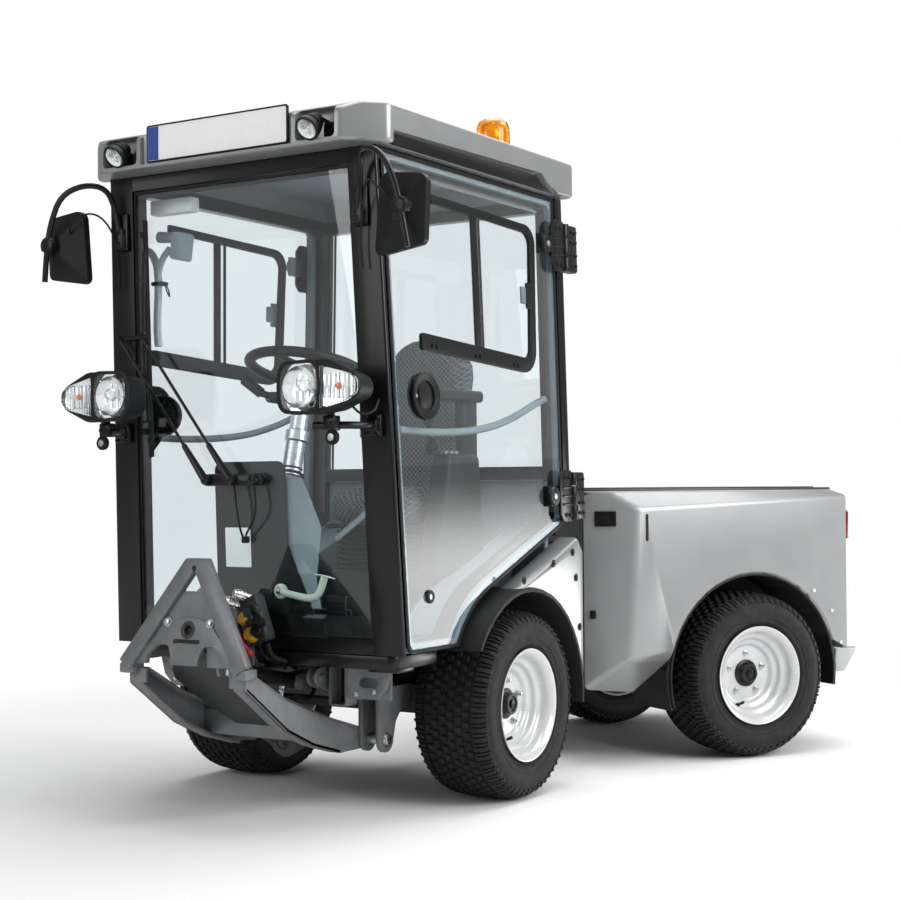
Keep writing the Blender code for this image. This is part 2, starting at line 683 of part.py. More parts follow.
FLOOR_TOP = SILL_Z - GAP / 2


def make_floor():
    """Cab floor on the rails: wide in front of the wheels and narrow between them."""
    wide, narrow = 0.497, ARCH_INNER_X - 0.008 - GAP
    outline = rounded([(-wide, CAB_FRONT_Y - 0.010, 0.03), (wide, CAB_FRONT_Y - 0.010, 0.03), (wide, -0.375, 0.02),
                       (narrow, -0.375, 0), (narrow, CAB_REAR_Y - 0.002, 0),
                       (-narrow, CAB_REAR_Y - 0.002, 0), (-narrow, -0.375, 0), (-wide, -0.375, 0.02)])
    floor = plate("cab_floor", "XY", [outline], CHASSIS_Z[1] + GAP, FLOOR_TOP)
    return finish(floor, "cab_floor", "plastic_black", FRONT)


def make_roof():
    """Roof cap: moulded shell with a chamfered nose, a plate recess and two lamp niches."""
    low = CAB_TOP_Z + GAP
    outline = rounded([(-ROOF_SIDE_X, ROOF_REAR_Y, 0.03), (-ROOF_SIDE_X, ROOF_CORNER_Y, 0.03),
                       (-0.440, ROOF_NOSE_Y - 0.010, 0.03), (0.440, ROOF_NOSE_Y - 0.010, 0.03),
                       (ROOF_SIDE_X, ROOF_CORNER_Y, 0.03), (ROOF_SIDE_X, ROOF_REAR_Y, 0.03)])
    roof = plate("cab_roof", "XY", [outline], low, ROOF_TOP_Z)
    nose = plate("nose", "YZ", [[(ROOF_NOSE_Y - 0.03, ROOF_TOP_Z - 0.032), (ROOF_NOSE_Y + 0.040, ROOF_TOP_Z + 0.001),
                                 (ROOF_NOSE_Y + 0.040, ROOF_TOP_Z + 0.03), (ROOF_NOSE_Y - 0.03, ROOF_TOP_Z + 0.03)]],
                 -0.6, 0.6)
    roof = soften(cut(roof, nose), 0.012, 2, 24)
    hollow = block("hollow", (-ROOF_SIDE_X + 0.10, CAB_FRONT_Y + 0.02, low - 0.02),
                   (ROOF_SIDE_X - 0.10, CAB_REAR_Y - 0.04, ROOF_TOP_Z - 0.03))
    reach = PLATE_HALF + 0.018
    recess = block("recess", (-reach, ROOF_NOSE_Y - 0.03, CAB_TOP_Z + 0.009),
                   (reach, ROOF_NOSE_Y + 0.006, ROOF_TOP_Z + 0.02))
    roof = cut(roof, hollow, recess)
    skirt = [(ROOF_CORNER_Y + 0.020, low - 0.02), (ROOF_CORNER_Y + 0.020, CAB_TOP_Z + 0.036),
             (ROOF_REAR_Y - 0.232, CAB_TOP_Z + 0.050), (ROOF_REAR_Y - 0.177, CAB_TOP_Z + 0.019),
             (ROOF_REAR_Y - 0.024, low - 0.02)]
    for _, side in SIDES:
        roof = cut(roof, plate("under", "YZ", [skirt], side * (ROOF_SIDE_X - 0.026), side * (ROOF_SIDE_X + 0.02)))
        niche = block("niche", (side * (LAMP_X - 0.062), ROOF_NOSE_Y - 0.03, CAB_TOP_Z + 0.012),
                      (side * (LAMP_X + 0.071), ROOF_NOSE_Y + 0.055, ROOF_TOP_Z - 0.012))
        lamp = rod("lamp", (side * LAMP_X, ROOF_NOSE_Y - 0.073, CAB_TOP_Z + 0.030),
                   (side * LAMP_X, ROOF_NOSE_Y - 0.028, CAB_TOP_Z + 0.045), 0.034, 16, 0.026)
        stem = rod("stem", (side * LAMP_X, ROOF_NOSE_Y - 0.043, CAB_TOP_Z + 0.042),
                   (side * LAMP_X, ROOF_NOSE_Y + 0.065, CAB_TOP_Z + 0.042), 0.010, 10)
        roof = fuse(cut(roof, niche), fuse(lamp, stem))
    return finish(roof, "cab_roof", "body_silver", FRONT)


def make_plate():
    """Blank number plate in the roof's recess."""
    sign = block("number_plate", (-PLATE_HALF, ROOF_NOSE_Y - 0.002, CAB_TOP_Z + 0.013),
                 (PLATE_HALF, ROOF_NOSE_Y + 0.006 - GAP, ROOF_TOP_Z + 0.011))
    return finish(sign, "number_plate", "plate_white", FRONT)


def make_beacon():
    """Amber rotating lamp on the roof's left side."""
    base = rod("beacon", (0.40, 0.119, ROOF_TOP_Z + GAP), (0.40, 0.119, ROOF_TOP_Z + 0.022), 0.060, 16)
    dome = rod("dome", (0.40, 0.119, ROOF_TOP_Z + 0.015), (0.40, 0.119, ROOF_TOP_Z + 0.085), 0.054, 16)
    cap = rod("cap", (0.40, 0.119, ROOF_TOP_Z + 0.080), (0.40, 0.119, ROOF_TOP_Z + 0.112), 0.053, 16, 0.034)
    base = fuse(base, dome, cap)
    return finish(base, "beacon", "amber", FRONT)


# ---------------------------------------------------------------- doors
def make_door(side_name, side):
    """Door ring with handle plate and hinge leaves, its glass and its sliding window."""
    axis_x = side * (CAB_SIDE_X + HINGE_OUT)
    low = leaned(axis_x, HINGE_Y, SILL_Z)
    high = leaned(axis_x, HINGE_Y, CAB_TOP_Z)
    hinge = pivot("door_" + side_name, low, FRONT)
    hinge.rotation_mode = "QUATERNION"
    hinge.rotation_quaternion = (high - low).to_track_quat("Z", "Y")

    front, back, foot, top = CAB_FRONT_Y + RUN, CAB_REAR_Y - 0.047, SILL_Z + 0.006, CAB_TOP_Z - 0.006
    face = side * CAB_SIDE_X
    inside = side * (CAB_SIDE_X - DOOR_THICK)
    skin = side * (CAB_SIDE_X - GLASS)
    outer = side_outline(front, foot, DOOR_ARCH, back, top, 0.03)
    edge = side_outline(front + 0.026, foot + 0.026, DOOR_ARCH + 0.026, back - 0.026, top - 0.026, 0.02, 0.03)
    ring = plate("door_frame", "YZ", [outer, edge], inside, skin - side * GAP)
    handle = rounded([(front + 0.004, 1.120, 0.004), (-0.380, 1.120, 0.070), (-0.380, 1.290, 0.070),
                      (front + 0.004, 1.290, 0.004)], 5)
    boss = plate("boss", "YZ", [handle], inside, skin - side * GAP)
    ring = fuse(ring, boss)
    for band in HINGE_BANDS:
        lower, upper = band[0] + 0.045, band[1] - 0.045
        neck = block("neck", (inside, back - HINGE_STRIP + GAP, lower),
                     (side * (CAB_SIDE_X + HINGE_LEAF), back - 0.001, upper))
        leaf = block("leaf", (side * (CAB_SIDE_X + GAP), HINGE_LEAF_FRONT, lower),
                     (side * (CAB_SIDE_X + HINGE_LEAF), HINGE_Y, upper))
        knuckle = rod("knuckle", (axis_x, HINGE_Y, lower), (axis_x, HINGE_Y, upper), KNUCKLE_RADIUS, 10)
        ring = fuse(ring, neck, leaf, knuckle)
    finish(lean_cab(ring), "door_frame_" + side_name, "frame_black", hinge)

    outer = side_outline(front, foot, DOOR_ARCH, back - HINGE_STRIP, top, 0.03)
    window = rounded([(-0.420, 1.372, 0.02), (0.170, 1.372, 0.05), (0.200, 1.765, 0.05), (-0.420, 1.765, 0.02)])
    glass = plate("door_glass", "YZ", [outer, window], skin, face)
    finish(lean_cab(glass), "door_glass_" + side_name, "glass", hinge)

    frame_in = [(-0.385, 1.395, 0.01), (0.140, 1.395, 0.035), (0.165, 1.735, 0.035), (-0.385, 1.735, 0.01)]
    frame_out = [(-0.420 + GAP, 1.372 + GAP, 0.02), (0.170 - GAP, 1.372 + GAP, 0.05),
                 (0.200 - GAP, 1.765 - GAP, 0.05), (-0.420 + GAP, 1.765 - GAP, 0.02)]
    slide = plate("slide", "YZ", [rounded(frame_out), rounded(frame_in)], side * (CAB_SIDE_X - 0.018),
                  side * (CAB_SIDE_X + 0.006))
    mullion = block("mullion", (side * (CAB_SIDE_X - 0.016), -0.150, 1.39),
                    (side * (CAB_SIDE_X - 0.002), -0.125, 1.74))
    slide = fuse(slide, mullion)
    finish(lean_cab(slide), "sliding_window_" + side_name, "frame_black", hinge)
    return hinge


# ---------------------------------------------------------------- interior
SEAT_X = 0.05


def make_interior():
    """Console, wheel, seat and controls."""
    foot, head, step = FLOOR_TOP + GAP, 1.030, SILL_Z + SIDE_RAIL + 0.005
    glass = CAB_FRONT_Y + 0.006
    profile = [(CAB_FRONT_Y + 0.034, foot), (CAB_FRONT_Y + 0.034, step), (leaned(0, glass, step).y, step),
               (leaned(0, glass, head).y, head), (-0.50, head + 0.005), (-0.36, 0.86), (-0.40, 0.70), (-0.33, foot)]
    console = plate("steering_console", "YZ", [profile], -0.135, 0.135)
    console = soften(console, 0.006, 1)
    column = rod("column", (0, -0.44, 0.93), (0, -0.345, 1.285), 0.028, 16)
    console = fuse(console, column)
    shaft = rod("shaft", (-0.255, -0.470, 0.590), (0.255, -0.470, 0.590), 0.010, 10)
    pedals = [block("pedal", (x - 0.035, -0.500, 0.560), (x + 0.035, -0.488, 0.640)) for x in (-0.220, 0.220)]
    stems = [block("stem", (x - 0.008, -0.490, 0.582), (x + 0.008, -0.465, 0.598)) for x in (-0.220, 0.220)]
    console = fuse(console, shaft, *stems, *pedals)
    finish(console, "steering_console", "interior_grey", FRONT)
    wheel = rod("hub", (0, 0, -0.028), (0, 0, 0.006), 0.034, 20)
    for angle in (90, 210, 330):
        a = math.radians(angle)
        spoke = rod("spoke", (0, 0, -0.010), (0.183 * math.cos(a), 0.183 * math.sin(a), 0), 0.010, 8)
        wheel = fuse(wheel, spoke)
    bpy.ops.mesh.primitive_torus_add(major_radius=0.185, minor_radius=0.014, major_segments=24, minor_segments=6)
    wheel = fuse(wheel, settle(adopt(bpy.context.object)))
    axis = Vector((0, 0.095, 0.355)).normalized()
    wheel.rotation_mode = "QUATERNION"
    wheel.rotation_quaternion = axis.to_track_quat("Z", "Y")
    wheel.location = Vector((0, -0.345, 1.285)) + axis * (0.028 + GAP)
    wheel = settle(wheel)
    finish(wheel, "steering_wheel", "plastic_black", FRONT)

    base = block("seat_base", (SEAT_X - 0.19, -0.04, FLOOR_TOP + GAP), (SEAT_X + 0.19, 0.34, 0.840))
    base = soften(base, 0.02, 2)
    finish(base, "seat_base", "plastic_black", FRONT)
    cushion = block("seat", (SEAT_X - 0.19, -0.12, 0.840 + GAP), (SEAT_X + 0.19, 0.257 - GAP, 0.950))
    back = block("back", (SEAT_X - 0.187, 0.235, 0.870), (SEAT_X + 0.187, 0.335, 1.480))
    finish(fuse(soften(cushion, 0.03, 2), soften(back, 0.03, 2)), "seat", "seat_fabric", FRONT)

    low_x, high_x = SEAT_X + 0.19 + GAP, SEAT_X + 0.265
    pod = block("armrest", (low_x, -0.110, 0.670), (high_x, 0.200, 1.090))
    upright = block("upright", (low_x + 0.015, 0.120, 1.080), (high_x - 0.025, 0.190, 1.230))
    pad = block("pad", (low_x + 0.002, -0.120, 1.225), (high_x, 0.195, 1.265))
    lever = rod("lever", (low_x + 0.035, -0.060, 1.080), (low_x + 0.035, -0.085, 1.170), 0.009, 8)
    grip = rod("grip", (low_x + 0.035, -0.080, 1.150), (low_x + 0.035, -0.092, 1.215), 0.018, 10)
    finish(fuse(soften(pod, 0.02, 2), upright, soften(pad, 0.012, 1), lever, grip), "armrest", "plastic_black", FRONT)


# ---------------------------------------------------------------- lamps, mirrors, wiper
def make_headlamps():
    """Lamp housings, each on a tube arm from a clamp on its corner post."""
    shell = rounded([(0.275, 1.145, 0.05), (0.545, 1.165, 0.05), (0.545, 1.285, 0.05), (0.275, 1.305, 0.05)], 4)
    lamp = plate("lamp", "XZ", [shell], -0.845, -0.730)
    lamp = soften(lamp, 0.02, 2, 60)
    clamp_z = 1.125
    clamp = leaned(0.48, CAB_FRONT_Y - 0.012, clamp_z)
    arm = tube("arm", [(clamp.x, clamp.y - 0.010, clamp_z), (0.48, -0.70, clamp_z), (0.44, -0.775, clamp_z),
                       (0.43, -0.785, 1.170)], 0.012, 1)
    pad = block("pad", (clamp.x - 0.031, clamp.y - 0.022, clamp_z - 0.029),
                (clamp.x + 0.027, clamp.y - 0.0022, clamp_z + 0.031))
    lamp = fuse(lamp, arm, pad)
    finish_pair(lamp, "headlamp", "plastic_black", FRONT)


def make_mirrors():
    """Mirror shells, each hung on a bent tube from a clamp on its corner post."""
    shell = rounded([(0.525, 1.575, 0.02), (0.690, 1.600, 0.02), (0.700, 1.790, 0.03), (0.545, 1.810, 0.03)], 3)
    mirror = plate("mirror", "XZ", [shell], -0.775, -0.715)
    mirror = soften(mirror, 0.018, 2, 60)
    clamp_z = 1.735
    clamp = leaned(0.47, CAB_FRONT_Y - 0.012, clamp_z)
    arm = tube("arm", [(clamp.x, clamp.y - 0.012, clamp_z - 0.03), (0.462, -0.700, 1.80), (0.47, -0.72, 1.872),
                       (0.56, -0.800, 1.860), (0.64, -0.795, 1.72), (0.665, -0.785, 1.60)], 0.010, 1)
    pad = block("pad", (clamp.x - 0.025, clamp.y - 0.024, clamp_z - 0.055),
                (clamp.x + 0.025, clamp.y - 0.0031, clamp_z + 0.055))
    saddle = rod("saddle", (0.645, -0.805, 1.70), (0.640, -0.765, 1.70), 0.024, 16)
    mirror = fuse(mirror, saddle, arm, pad)
    finish_pair(mirror, "mirror", "plastic_black", FRONT)


def make_wiper():
    """Parallel-arm wiper: three pivots on the glass, two arms and an upright blade."""
    def glass_y(z, out):
        return leaned(0, CAB_FRONT_Y - 0.004, z).y - out

    base_z = 0.980
    wiper = block("wiper", (-0.145, glass_y(base_z, 0.040), base_z - 0.02),
                  (0.060, glass_y(base_z, 0.012), base_z + 0.02))
    for x in (-0.134, -0.039, 0.043):
        pin = rod("pin", (x, glass_y(base_z, GAP + 0.001), base_z), (x, glass_y(base_z, 0.05), base_z), 0.013, 12)
        wiper = fuse(wiper, pin)
    for x, end in ((-0.134, -0.462), (-0.039, -0.372)):
        arm = rod("arm", (x, glass_y(base_z, 0.035), base_z), (end, glass_y(1.413, 0.035), 1.413), 0.007, 8)
        wiper = fuse(wiper, arm)
    link = rod("link", (-0.475, glass_y(1.413, 0.035), 1.413), (-0.360, glass_y(1.413, 0.035), 1.413), 0.008, 8)
    blade = rod("blade", (-0.400, glass_y(1.050, 0.016), 1.050), (-0.392, glass_y(1.767, 0.016), 1.767), 0.010, 8)
    neck = rod("neck", (-0.396, glass_y(1.413, 0.040), 1.413), (-0.396, glass_y(1.413, 0.012), 1.413), 0.010, 8)
    wiper = fuse(wiper, link, blade, neck)
    return finish(wiper, "wiper", "plastic_black", FRONT)


# ---------------------------------------------------------------- wheel arches and covers
def make_fenders():
    """Mudguards over the front wheels with their inner walls, and the quarter panels behind them."""
    outer_r = ARCH_RADIUS + ARCH_SKIN
    centre = (0.0, AXLE_Z)
    band = (arc(centre, outer_r, 147, -5, 15) + arc(centre, ARCH_RADIUS, -5, 147, 15))
    guard = plate("fender", "YZ", [band], ARCH_INNER_X, TYRE_OUTER_X)
    wall = arc(centre, outer_r, 147, 20, 10) + [(0.10, 0.46), (-0.10, 0.46)]
    inner = plate("inner", "YZ", [wall], ARCH_INNER_X - 0.008, ARCH_INNER_X + 0.002)
    guard = fuse(guard, inner)
    finish_pair(guard, "fender", "plastic_black", FRONT)

    start = arc(centre, outer_r + 0.0005, 147, -5, 15)[5:15]
    back, face = outer_r + 0.016, TYRE_OUTER_X - 0.010
    first = start[0]
    top = first[1] + (back - 0.020 - first[0]) * math.tan(SLOPE)
    outline = [(back - 0.020, top), (back, top - 0.030), (back, AXLE_Z), (outer_r + 0.002, AXLE_Z)]
    outline += list(reversed(start[1:])) + [first]
    panel = plate("quarter", "YZ", [outline], 0.500, face)

    def top_band(a, b):
        on_face = min(a.x, b.x) > face - 0.001
        return float(on_face and max(a.z, b.z) > top - 0.001 and min(a.z, b.z) > first[1] - 0.001)

    finish_pair(soften_picked(panel, 0.020, 2, top_band), "quarter_panel", "body_silver", FRONT)


# ---------------------------------------------------------------- front lift
def make_lift():
    """Lift arms with cross tubes on the lug pins, and the quick-hitch triangle on their nose."""
    lift = pivot("lift", (0, LUG_PIN_Y, LUG_PIN_Z), FRONT)
    inner = LUG_X[0] - LUG_THICK / 2 - 0.001
    outline = (arc((LUG_PIN_Y, LUG_PIN_Z), 0.030, -70, 90, 8)
               + [(-0.52, 0.290), (-0.74, 0.372), (-0.885, 0.452), (-0.905, 0.452), (-0.905, 0.405), (-0.72, 0.270),
                  (-0.60, 0.215), (-0.47, 0.178)])
    reach = LUG_X[1] + 0.018
    arms = rod("cross", (-inner + 0.002, LUG_PIN_Y, LUG_PIN_Z), (inner - 0.002, LUG_PIN_Y, LUG_PIN_Z), 0.026, 20)
    for _, side in SIDES:
        arm = plate("arm", "YZ", [outline], side * (inner - 0.014), side * inner)
        arms = fuse(arms, arm)
    nose = block("nose", (-inner + 0.003, -0.9045, 0.408), (inner - 0.003, -0.893, 0.449))
    belly = block("belly", (-inner + 0.003, -0.600, 0.228), (inner - 0.003, -0.590, 0.300))
    pin = rod("pin", (-reach, LUG_PIN_Y, LUG_PIN_Z), (reach, LUG_PIN_Y, LUG_PIN_Z), PIN_RADIUS, 16)
    arms = fuse(arms, nose, belly, pin)
    finish(arms, "lift_arms", "steel_grey", lift)

    foot_x, foot_y, foot_z = FRAME_FOOT
    head_x, head_y, head_z = FRAME_HEAD
    outer = [(-foot_x, foot_z), (foot_x, foot_z), (head_x, head_z), (-head_x, head_z)]
    hole = [(-0.135, foot_z + 0.045), (0.135, foot_z + 0.045), (0.0, head_z - 0.075)]
    frame = plate("hitch_frame", "XZ", [outer], foot_y, foot_y + 0.028)
    recess = plate("recess", "XZ", [hole], foot_y - 0.01, foot_y + 0.016)
    frame = cut(frame, recess)
    window = plate("window", "XZ", [[(-0.040, 0.650), (0.040, 0.650), (0.0, 0.715)]], foot_y - 0.02, foot_y + 0.05)
    frame = cut(frame, window)
    for vertex in frame.data.vertices:
        vertex.co.y += (head_y - foot_y) / (head_z - foot_z) * (vertex.co.z - foot_z)
    y, z = LIFT_CYLINDER_TIP
    lean = (head_y - foot_y) / (head_z - foot_z)
    root_y = foot_y + 0.020 + lean * (z + 0.030 - foot_z)
    frame = fuse(frame, *clevis("YZ", (root_y, z + 0.036), 0.026, (y, z), LIFT_CYLINDER_X, (1, 0, 0), False))
    finish(frame, "hitch_frame", "steel_grey", lift)
    make_cylinder("lift_cylinder", FRONT, (LIFT_CYLINDER_X, *LIFT_CYLINDER_BASE),
                  (LIFT_CYLINDER_X, *LIFT_CYLINDER_TIP), (1, 0, 0), LIFT_CYLINDER_STROKE)
    return lift


def make_coupler():
    """Hydraulic coupler block on its stand in front of the cab."""
    face = -0.475 - GAP - 0.010 - GAP
    block_z = 0.500
    coupler = block("coupler_block", (0.0, -0.700, block_z), (0.120, -0.625, 0.660))
    foot = block("foot", (0.005, -0.665, 0.425), (0.045, face, 0.433))
    upright = block("upright", (0.006, -0.664, 0.426), (0.044, -0.656, block_z + 0.01))
    coupler = fuse(soften(coupler, 0.008, 1), foot, upright)
    for z in (0.540, 0.585, 0.630):
        for x in (0.030, 0.090):
            coupler = fuse(coupler, rod("socket", (x, -0.690, z), (x, -0.722, z), 0.016, 10))
    return finish(coupler, "coupler_block", "frame_black", FRONT)


# ---------------------------------------------------------------- rear half
def make_rear_chassis():
    """Two rails, the tongue that swivels between the front half's ears, and cross members."""
    low, high = REAR_RAIL_Z
    ear_low, ear_high = CHASSIS_Z[0] - 0.10 + 0.03, CHASSIS_Z[1] - 0.03
    chassis = block("rear_chassis", (0.14, 0.17, low), (0.20, 1.17, high))
    tongue = plate("tongue", "XY", [arc((0, 0), 0.055, 180, 360, 10) + [(0.055, 0.20), (-0.055, 0.20)]],
                   ear_low + GAP, ear_high - GAP)
    parts = [block("rail", (-0.20, 0.17, low), (-0.14, 1.17, high)),
             block("front_member", (-0.20, 0.16, low - 0.06), (0.20, 0.22, high)),
             block("rear_member", (-0.20, 1.10, low), (0.20, BODY_REAR_Y - 0.012 - GAP, high)),
             block("saddle", (-0.20, REAR_AXLE_Y - 0.06, AXLE_Z + 0.045 + GAP), (0.20, REAR_AXLE_Y + 0.06, high)),
             tongue]
    x, y = STEER_CYLINDER_TIP
    parts += clevis("XY", (x - 0.028, 0.165), 0.028, (x, y), STEER_CYLINDER_Z, (0, 0, 1), False)
    return finish(fuse(chassis, *parts), "rear_chassis", "frame_black", REAR)


def side_shell():
    """Skin of a left side panel: raised face, slanted front corner, rolled flank and shoulder."""
    centre = (REAR_AXLE_Y, AXLE_Z)
    begin = 180 - math.degrees(math.asin((BODY_FLANK_Z - AXLE_Z) / REAR_ARCH))
    end = 17.0
    edge = arc(centre, REAR_ARCH, begin, end, 18)
    lip = arc(centre, REAR_ARCH - ARCH_LIP, begin, end, 18)
    (foot_y, top_y), (front_z, rear_z) = BODY_FACE_Y, BODY_TOP_Z
    face = ([(foot_y, BODY_FLANK_Z)] + edge
            + [(BODY_REAR_Y, BODY_FLANK_Z - 0.005), (BODY_REAR_Y, rear_z), (top_y, front_z)])
    points = [(BODY_SIDE_X, y, z) for y, z in face]
    foot, flank, heel, rear, top = 0, 1, len(edge), len(face) - 2, len(face) - 1
    first_lip = len(points)
    points += [(BODY_SIDE_X - ARCH_LIP, y, z) for y, z in lip[1:]]
    corner = len(points)
    points += [(BODY_CORNER_X, BODY_FRONT_Y, BODY_BOTTOM_Z),
               (BODY_CORNER_X, REAR_AXLE_Y - 0.443, BODY_BOTTOM_Z - 0.020),
               (BODY_RAIL_X, BODY_REAR_Y - 0.014, BODY_SEAM_Z), (BODY_RAIL_X, BODY_FRONT_Y + 0.080, BODY_SEAM_Z),
               (BODY_CORNER_X, BODY_FRONT_Y, BODY_SEAM_Z)]
    low_front, low_back, seam_rear, seam_front, high_front = range(corner, corner + 5)
    faces = [list(range(len(face))), [foot, low_front, low_back, flank], [foot, top, high_front, low_front],
             [top, rear, seam_rear, seam_front], [top, seam_front, high_front],
             [flank, low_back, first_lip, flank + 1]]
    faces += [[flank + i, first_lip + i - 1, first_lip + i, flank + i + 1] for i in range(1, heel - 1)]
    mesh = bpy.data.meshes.new("side")
    mesh.from_pydata(points, [], faces)
    skin = link_object("side", mesh)

    def edges(a, b):
        """Share of the rounding on each fold of the skin."""
        on_face = [abs(p.x - BODY_SIDE_X) < 0.0005 for p in (a, b)]
        if all(on_face):
            if max(a.y, b.y) < top_y + 0.001:
                return 1.0
            return 0.45 if min(a.z, b.z) > front_z - 0.001 and abs(a.y - b.y) > 0.3 else (
                0.9 if min(a.y, b.y) < top_y and max(a.z, b.z) < BODY_FLANK_Z + 0.001 else 0.0)
        if any(on_face) and max(a.y, b.y) < top_y + 0.001:
            return 0.6
        return 0.0

    skin = soften_picked(skin, 0.024, 3, edges)
    wall = skin.modifiers.new("wall", "SOLIDIFY")
    wall.thickness = PANEL_THICK
    wall.offset = -1
    wall.use_even_offset = True
    return settle(skin)


def make_body_sides():
    """Side panels of the rear body, each with the liner of its wheel arch."""
    centre = (REAR_AXLE_Y, AXLE_Z)
    outer = REAR_ARCH + 0.003
    liner = arc(centre, outer, 197, -9, 19) + arc(centre, outer - LINER_SKIN, -9, 197, 19)
    wall = arc(centre, outer - LINER_SKIN / 2, 150, 30, 8)
    arch = fuse(plate("liner", "YZ", [liner], ARCH_INNER_X, BODY_SIDE_X - ARCH_LIP - 0.0006),
                plate("wall", "YZ", [wall], ARCH_INNER_X - 0.006, ARCH_INNER_X + 0.002))
    finish_pair(fuse(side_shell(), arch), "body_side", "body_silver", REAR)


def make_rear_body():
    """Front wall, load deck and tail panel between the side panels."""
    inner = BODY_SIDE_X - PANEL_THICK - GAP
    wall_back = BODY_FRONT_Y + 0.010
    slant = (BODY_SIDE_X - BODY_CORNER_X) / (BODY_FACE_Y[0] - BODY_FRONT_Y)
    near = BODY_CORNER_X - 0.003
    far = near - (wall_back - BODY_FRONT_Y) * slant - 0.004
    outline = [(-near, BODY_FRONT_Y), (near, BODY_FRONT_Y), (far, wall_back), (-far, wall_back)]
    front = plate("body_front", "XY", [outline], BODY_BOTTOM_Z, DECK_Z)
    tunnel = block("tunnel", (-0.27, 0.0, BODY_BOTTOM_Z - 0.02), (0.27, 0.20, REAR_RAIL_Z[1] + 0.030))
    finish(cut(front, tunnel), "body_front", "anthracite", REAR)
    rail = BODY_RAIL_X - PANEL_THICK - GAP
    deck = plate("load_deck", "XY", [[(-far + 0.002, wall_back + GAP), (far - 0.002, wall_back + GAP),
                                      (rail, BODY_FRONT_Y + 0.090), (rail, BODY_REAR_Y - 0.014),
                                      (-rail, BODY_REAR_Y - 0.014), (-rail, BODY_FRONT_Y + 0.090)]],
                 DECK_Z - 0.030, DECK_Z)
    finish(deck, "load_deck", "anthracite", REAR)
    tail_top = BODY_TOP_Z[1] - 0.011
    tail = block("tail_panel", (-inner, BODY_REAR_Y - 0.012, BODY_FLANK_Z - 0.005), (inner, BODY_REAR_Y, tail_top))
    for _, side in SIDES:
        lamp = block("lamp", (side * 0.50, BODY_REAR_Y - 0.005, 0.752), (side * 0.551, BODY_REAR_Y + 0.016, 0.860))
        tail = fuse(tail, lamp)
    finish(tail, "tail_panel", "anthracite", REAR)


def make_tail():
    """Step bumper with the tow jaw above it."""
    bumper = block("rear_bumper", (-0.50, BODY_REAR_Y + GAP, 0.268), (0.50, 1.292, 0.356))
    inside = block("inside", (-0.47, BODY_REAR_Y - 0.02, 0.240), (0.47, 1.262, 0.340))
    bumper = cut(bumper, inside)
    stay = block("stay", (-0.050, BODY_REAR_Y + GAP, 0.350), (0.050, BODY_REAR_Y + 0.012, 0.520))
    jaws = [plate("jaw", "XY", [[(-0.035, BODY_REAR_Y + 0.005), (0.035, BODY_REAR_Y + 0.005)]
                                + arc((0, BODY_REAR_Y + 0.110), 0.030, 0, 180, 8)], z, z + 0.012)
            for z in (0.425, 0.475)]
    pin = rod("pin", (0, BODY_REAR_Y + 0.110, 0.410), (0, BODY_REAR_Y + 0.110, 0.500), 0.010, 12)
    finish(fuse(bumper, stay, *jaws, pin), "rear_bumper", "steel_grey", REAR)


def make_engine():
    """Engine under the deck: one plain block."""
    engine = block("engine", (-0.24, 0.30, REAR_RAIL_Z[1] + GAP), (0.24, 0.72, 0.860))
    return finish(engine, "engine", "steel_grey", REAR)


make_linkage_bracket()
make_cab_frame()
make_windows()
make_rear_wall()
make_floor()
make_roof()
make_plate()
make_beacon()
make_interior()
make_wiper()
make_lift()
make_coupler()
make_rear_chassis()
make_cylinder("steer_cylinder", FRONT, (*STEER_CYLINDER_BASE, STEER_CYLINDER_Z),
              REAR.matrix_basis @ Vector((*STEER_CYLINDER_TIP, STEER_CYLINDER_Z)), (0, 0, 1), STEER_CYLINDER_STROKE)
make_rear_body()
make_tail()
make_engine()
make_headlamps()
make_mirrors()
make_fenders()
make_body_sides()
for side_name, side in SIDES:
    make_door(side_name, side)


def stand_on_origin():
    """Put the origin at the middle of the bounding box's base."""
    bpy.context.view_layer.update()
    corners = [obj.matrix_world @ vertex.co for obj in PARTS.objects if obj.type == "MESH"
               for vertex in obj.data.vertices]
    low = [min(c[i] for c in corners) for i in range(3)]
    high = [max(c[i] for c in corners) for i in range(3)]
    FRONT.location = (-(low[0] + high[0]) / 2, -(low[1] + high[1]) / 2, -low[2])


stand_on_origin()
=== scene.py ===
"""Looks of the implement carrier, a compact articulated municipal machine.

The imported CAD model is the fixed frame. Each sub-assembly below takes its place from that
model, models its own detail with Blender's operators and wears a procedural finish.
Lengths are metres unless a name ends in _mm.
"""

import json
import logging
import math
from contextlib import contextmanager
from dataclasses import dataclass
from enum import Enum
from typing import Callable, Iterator, Sequence

import bmesh
import bpy
from mathutils import Matrix, Vector

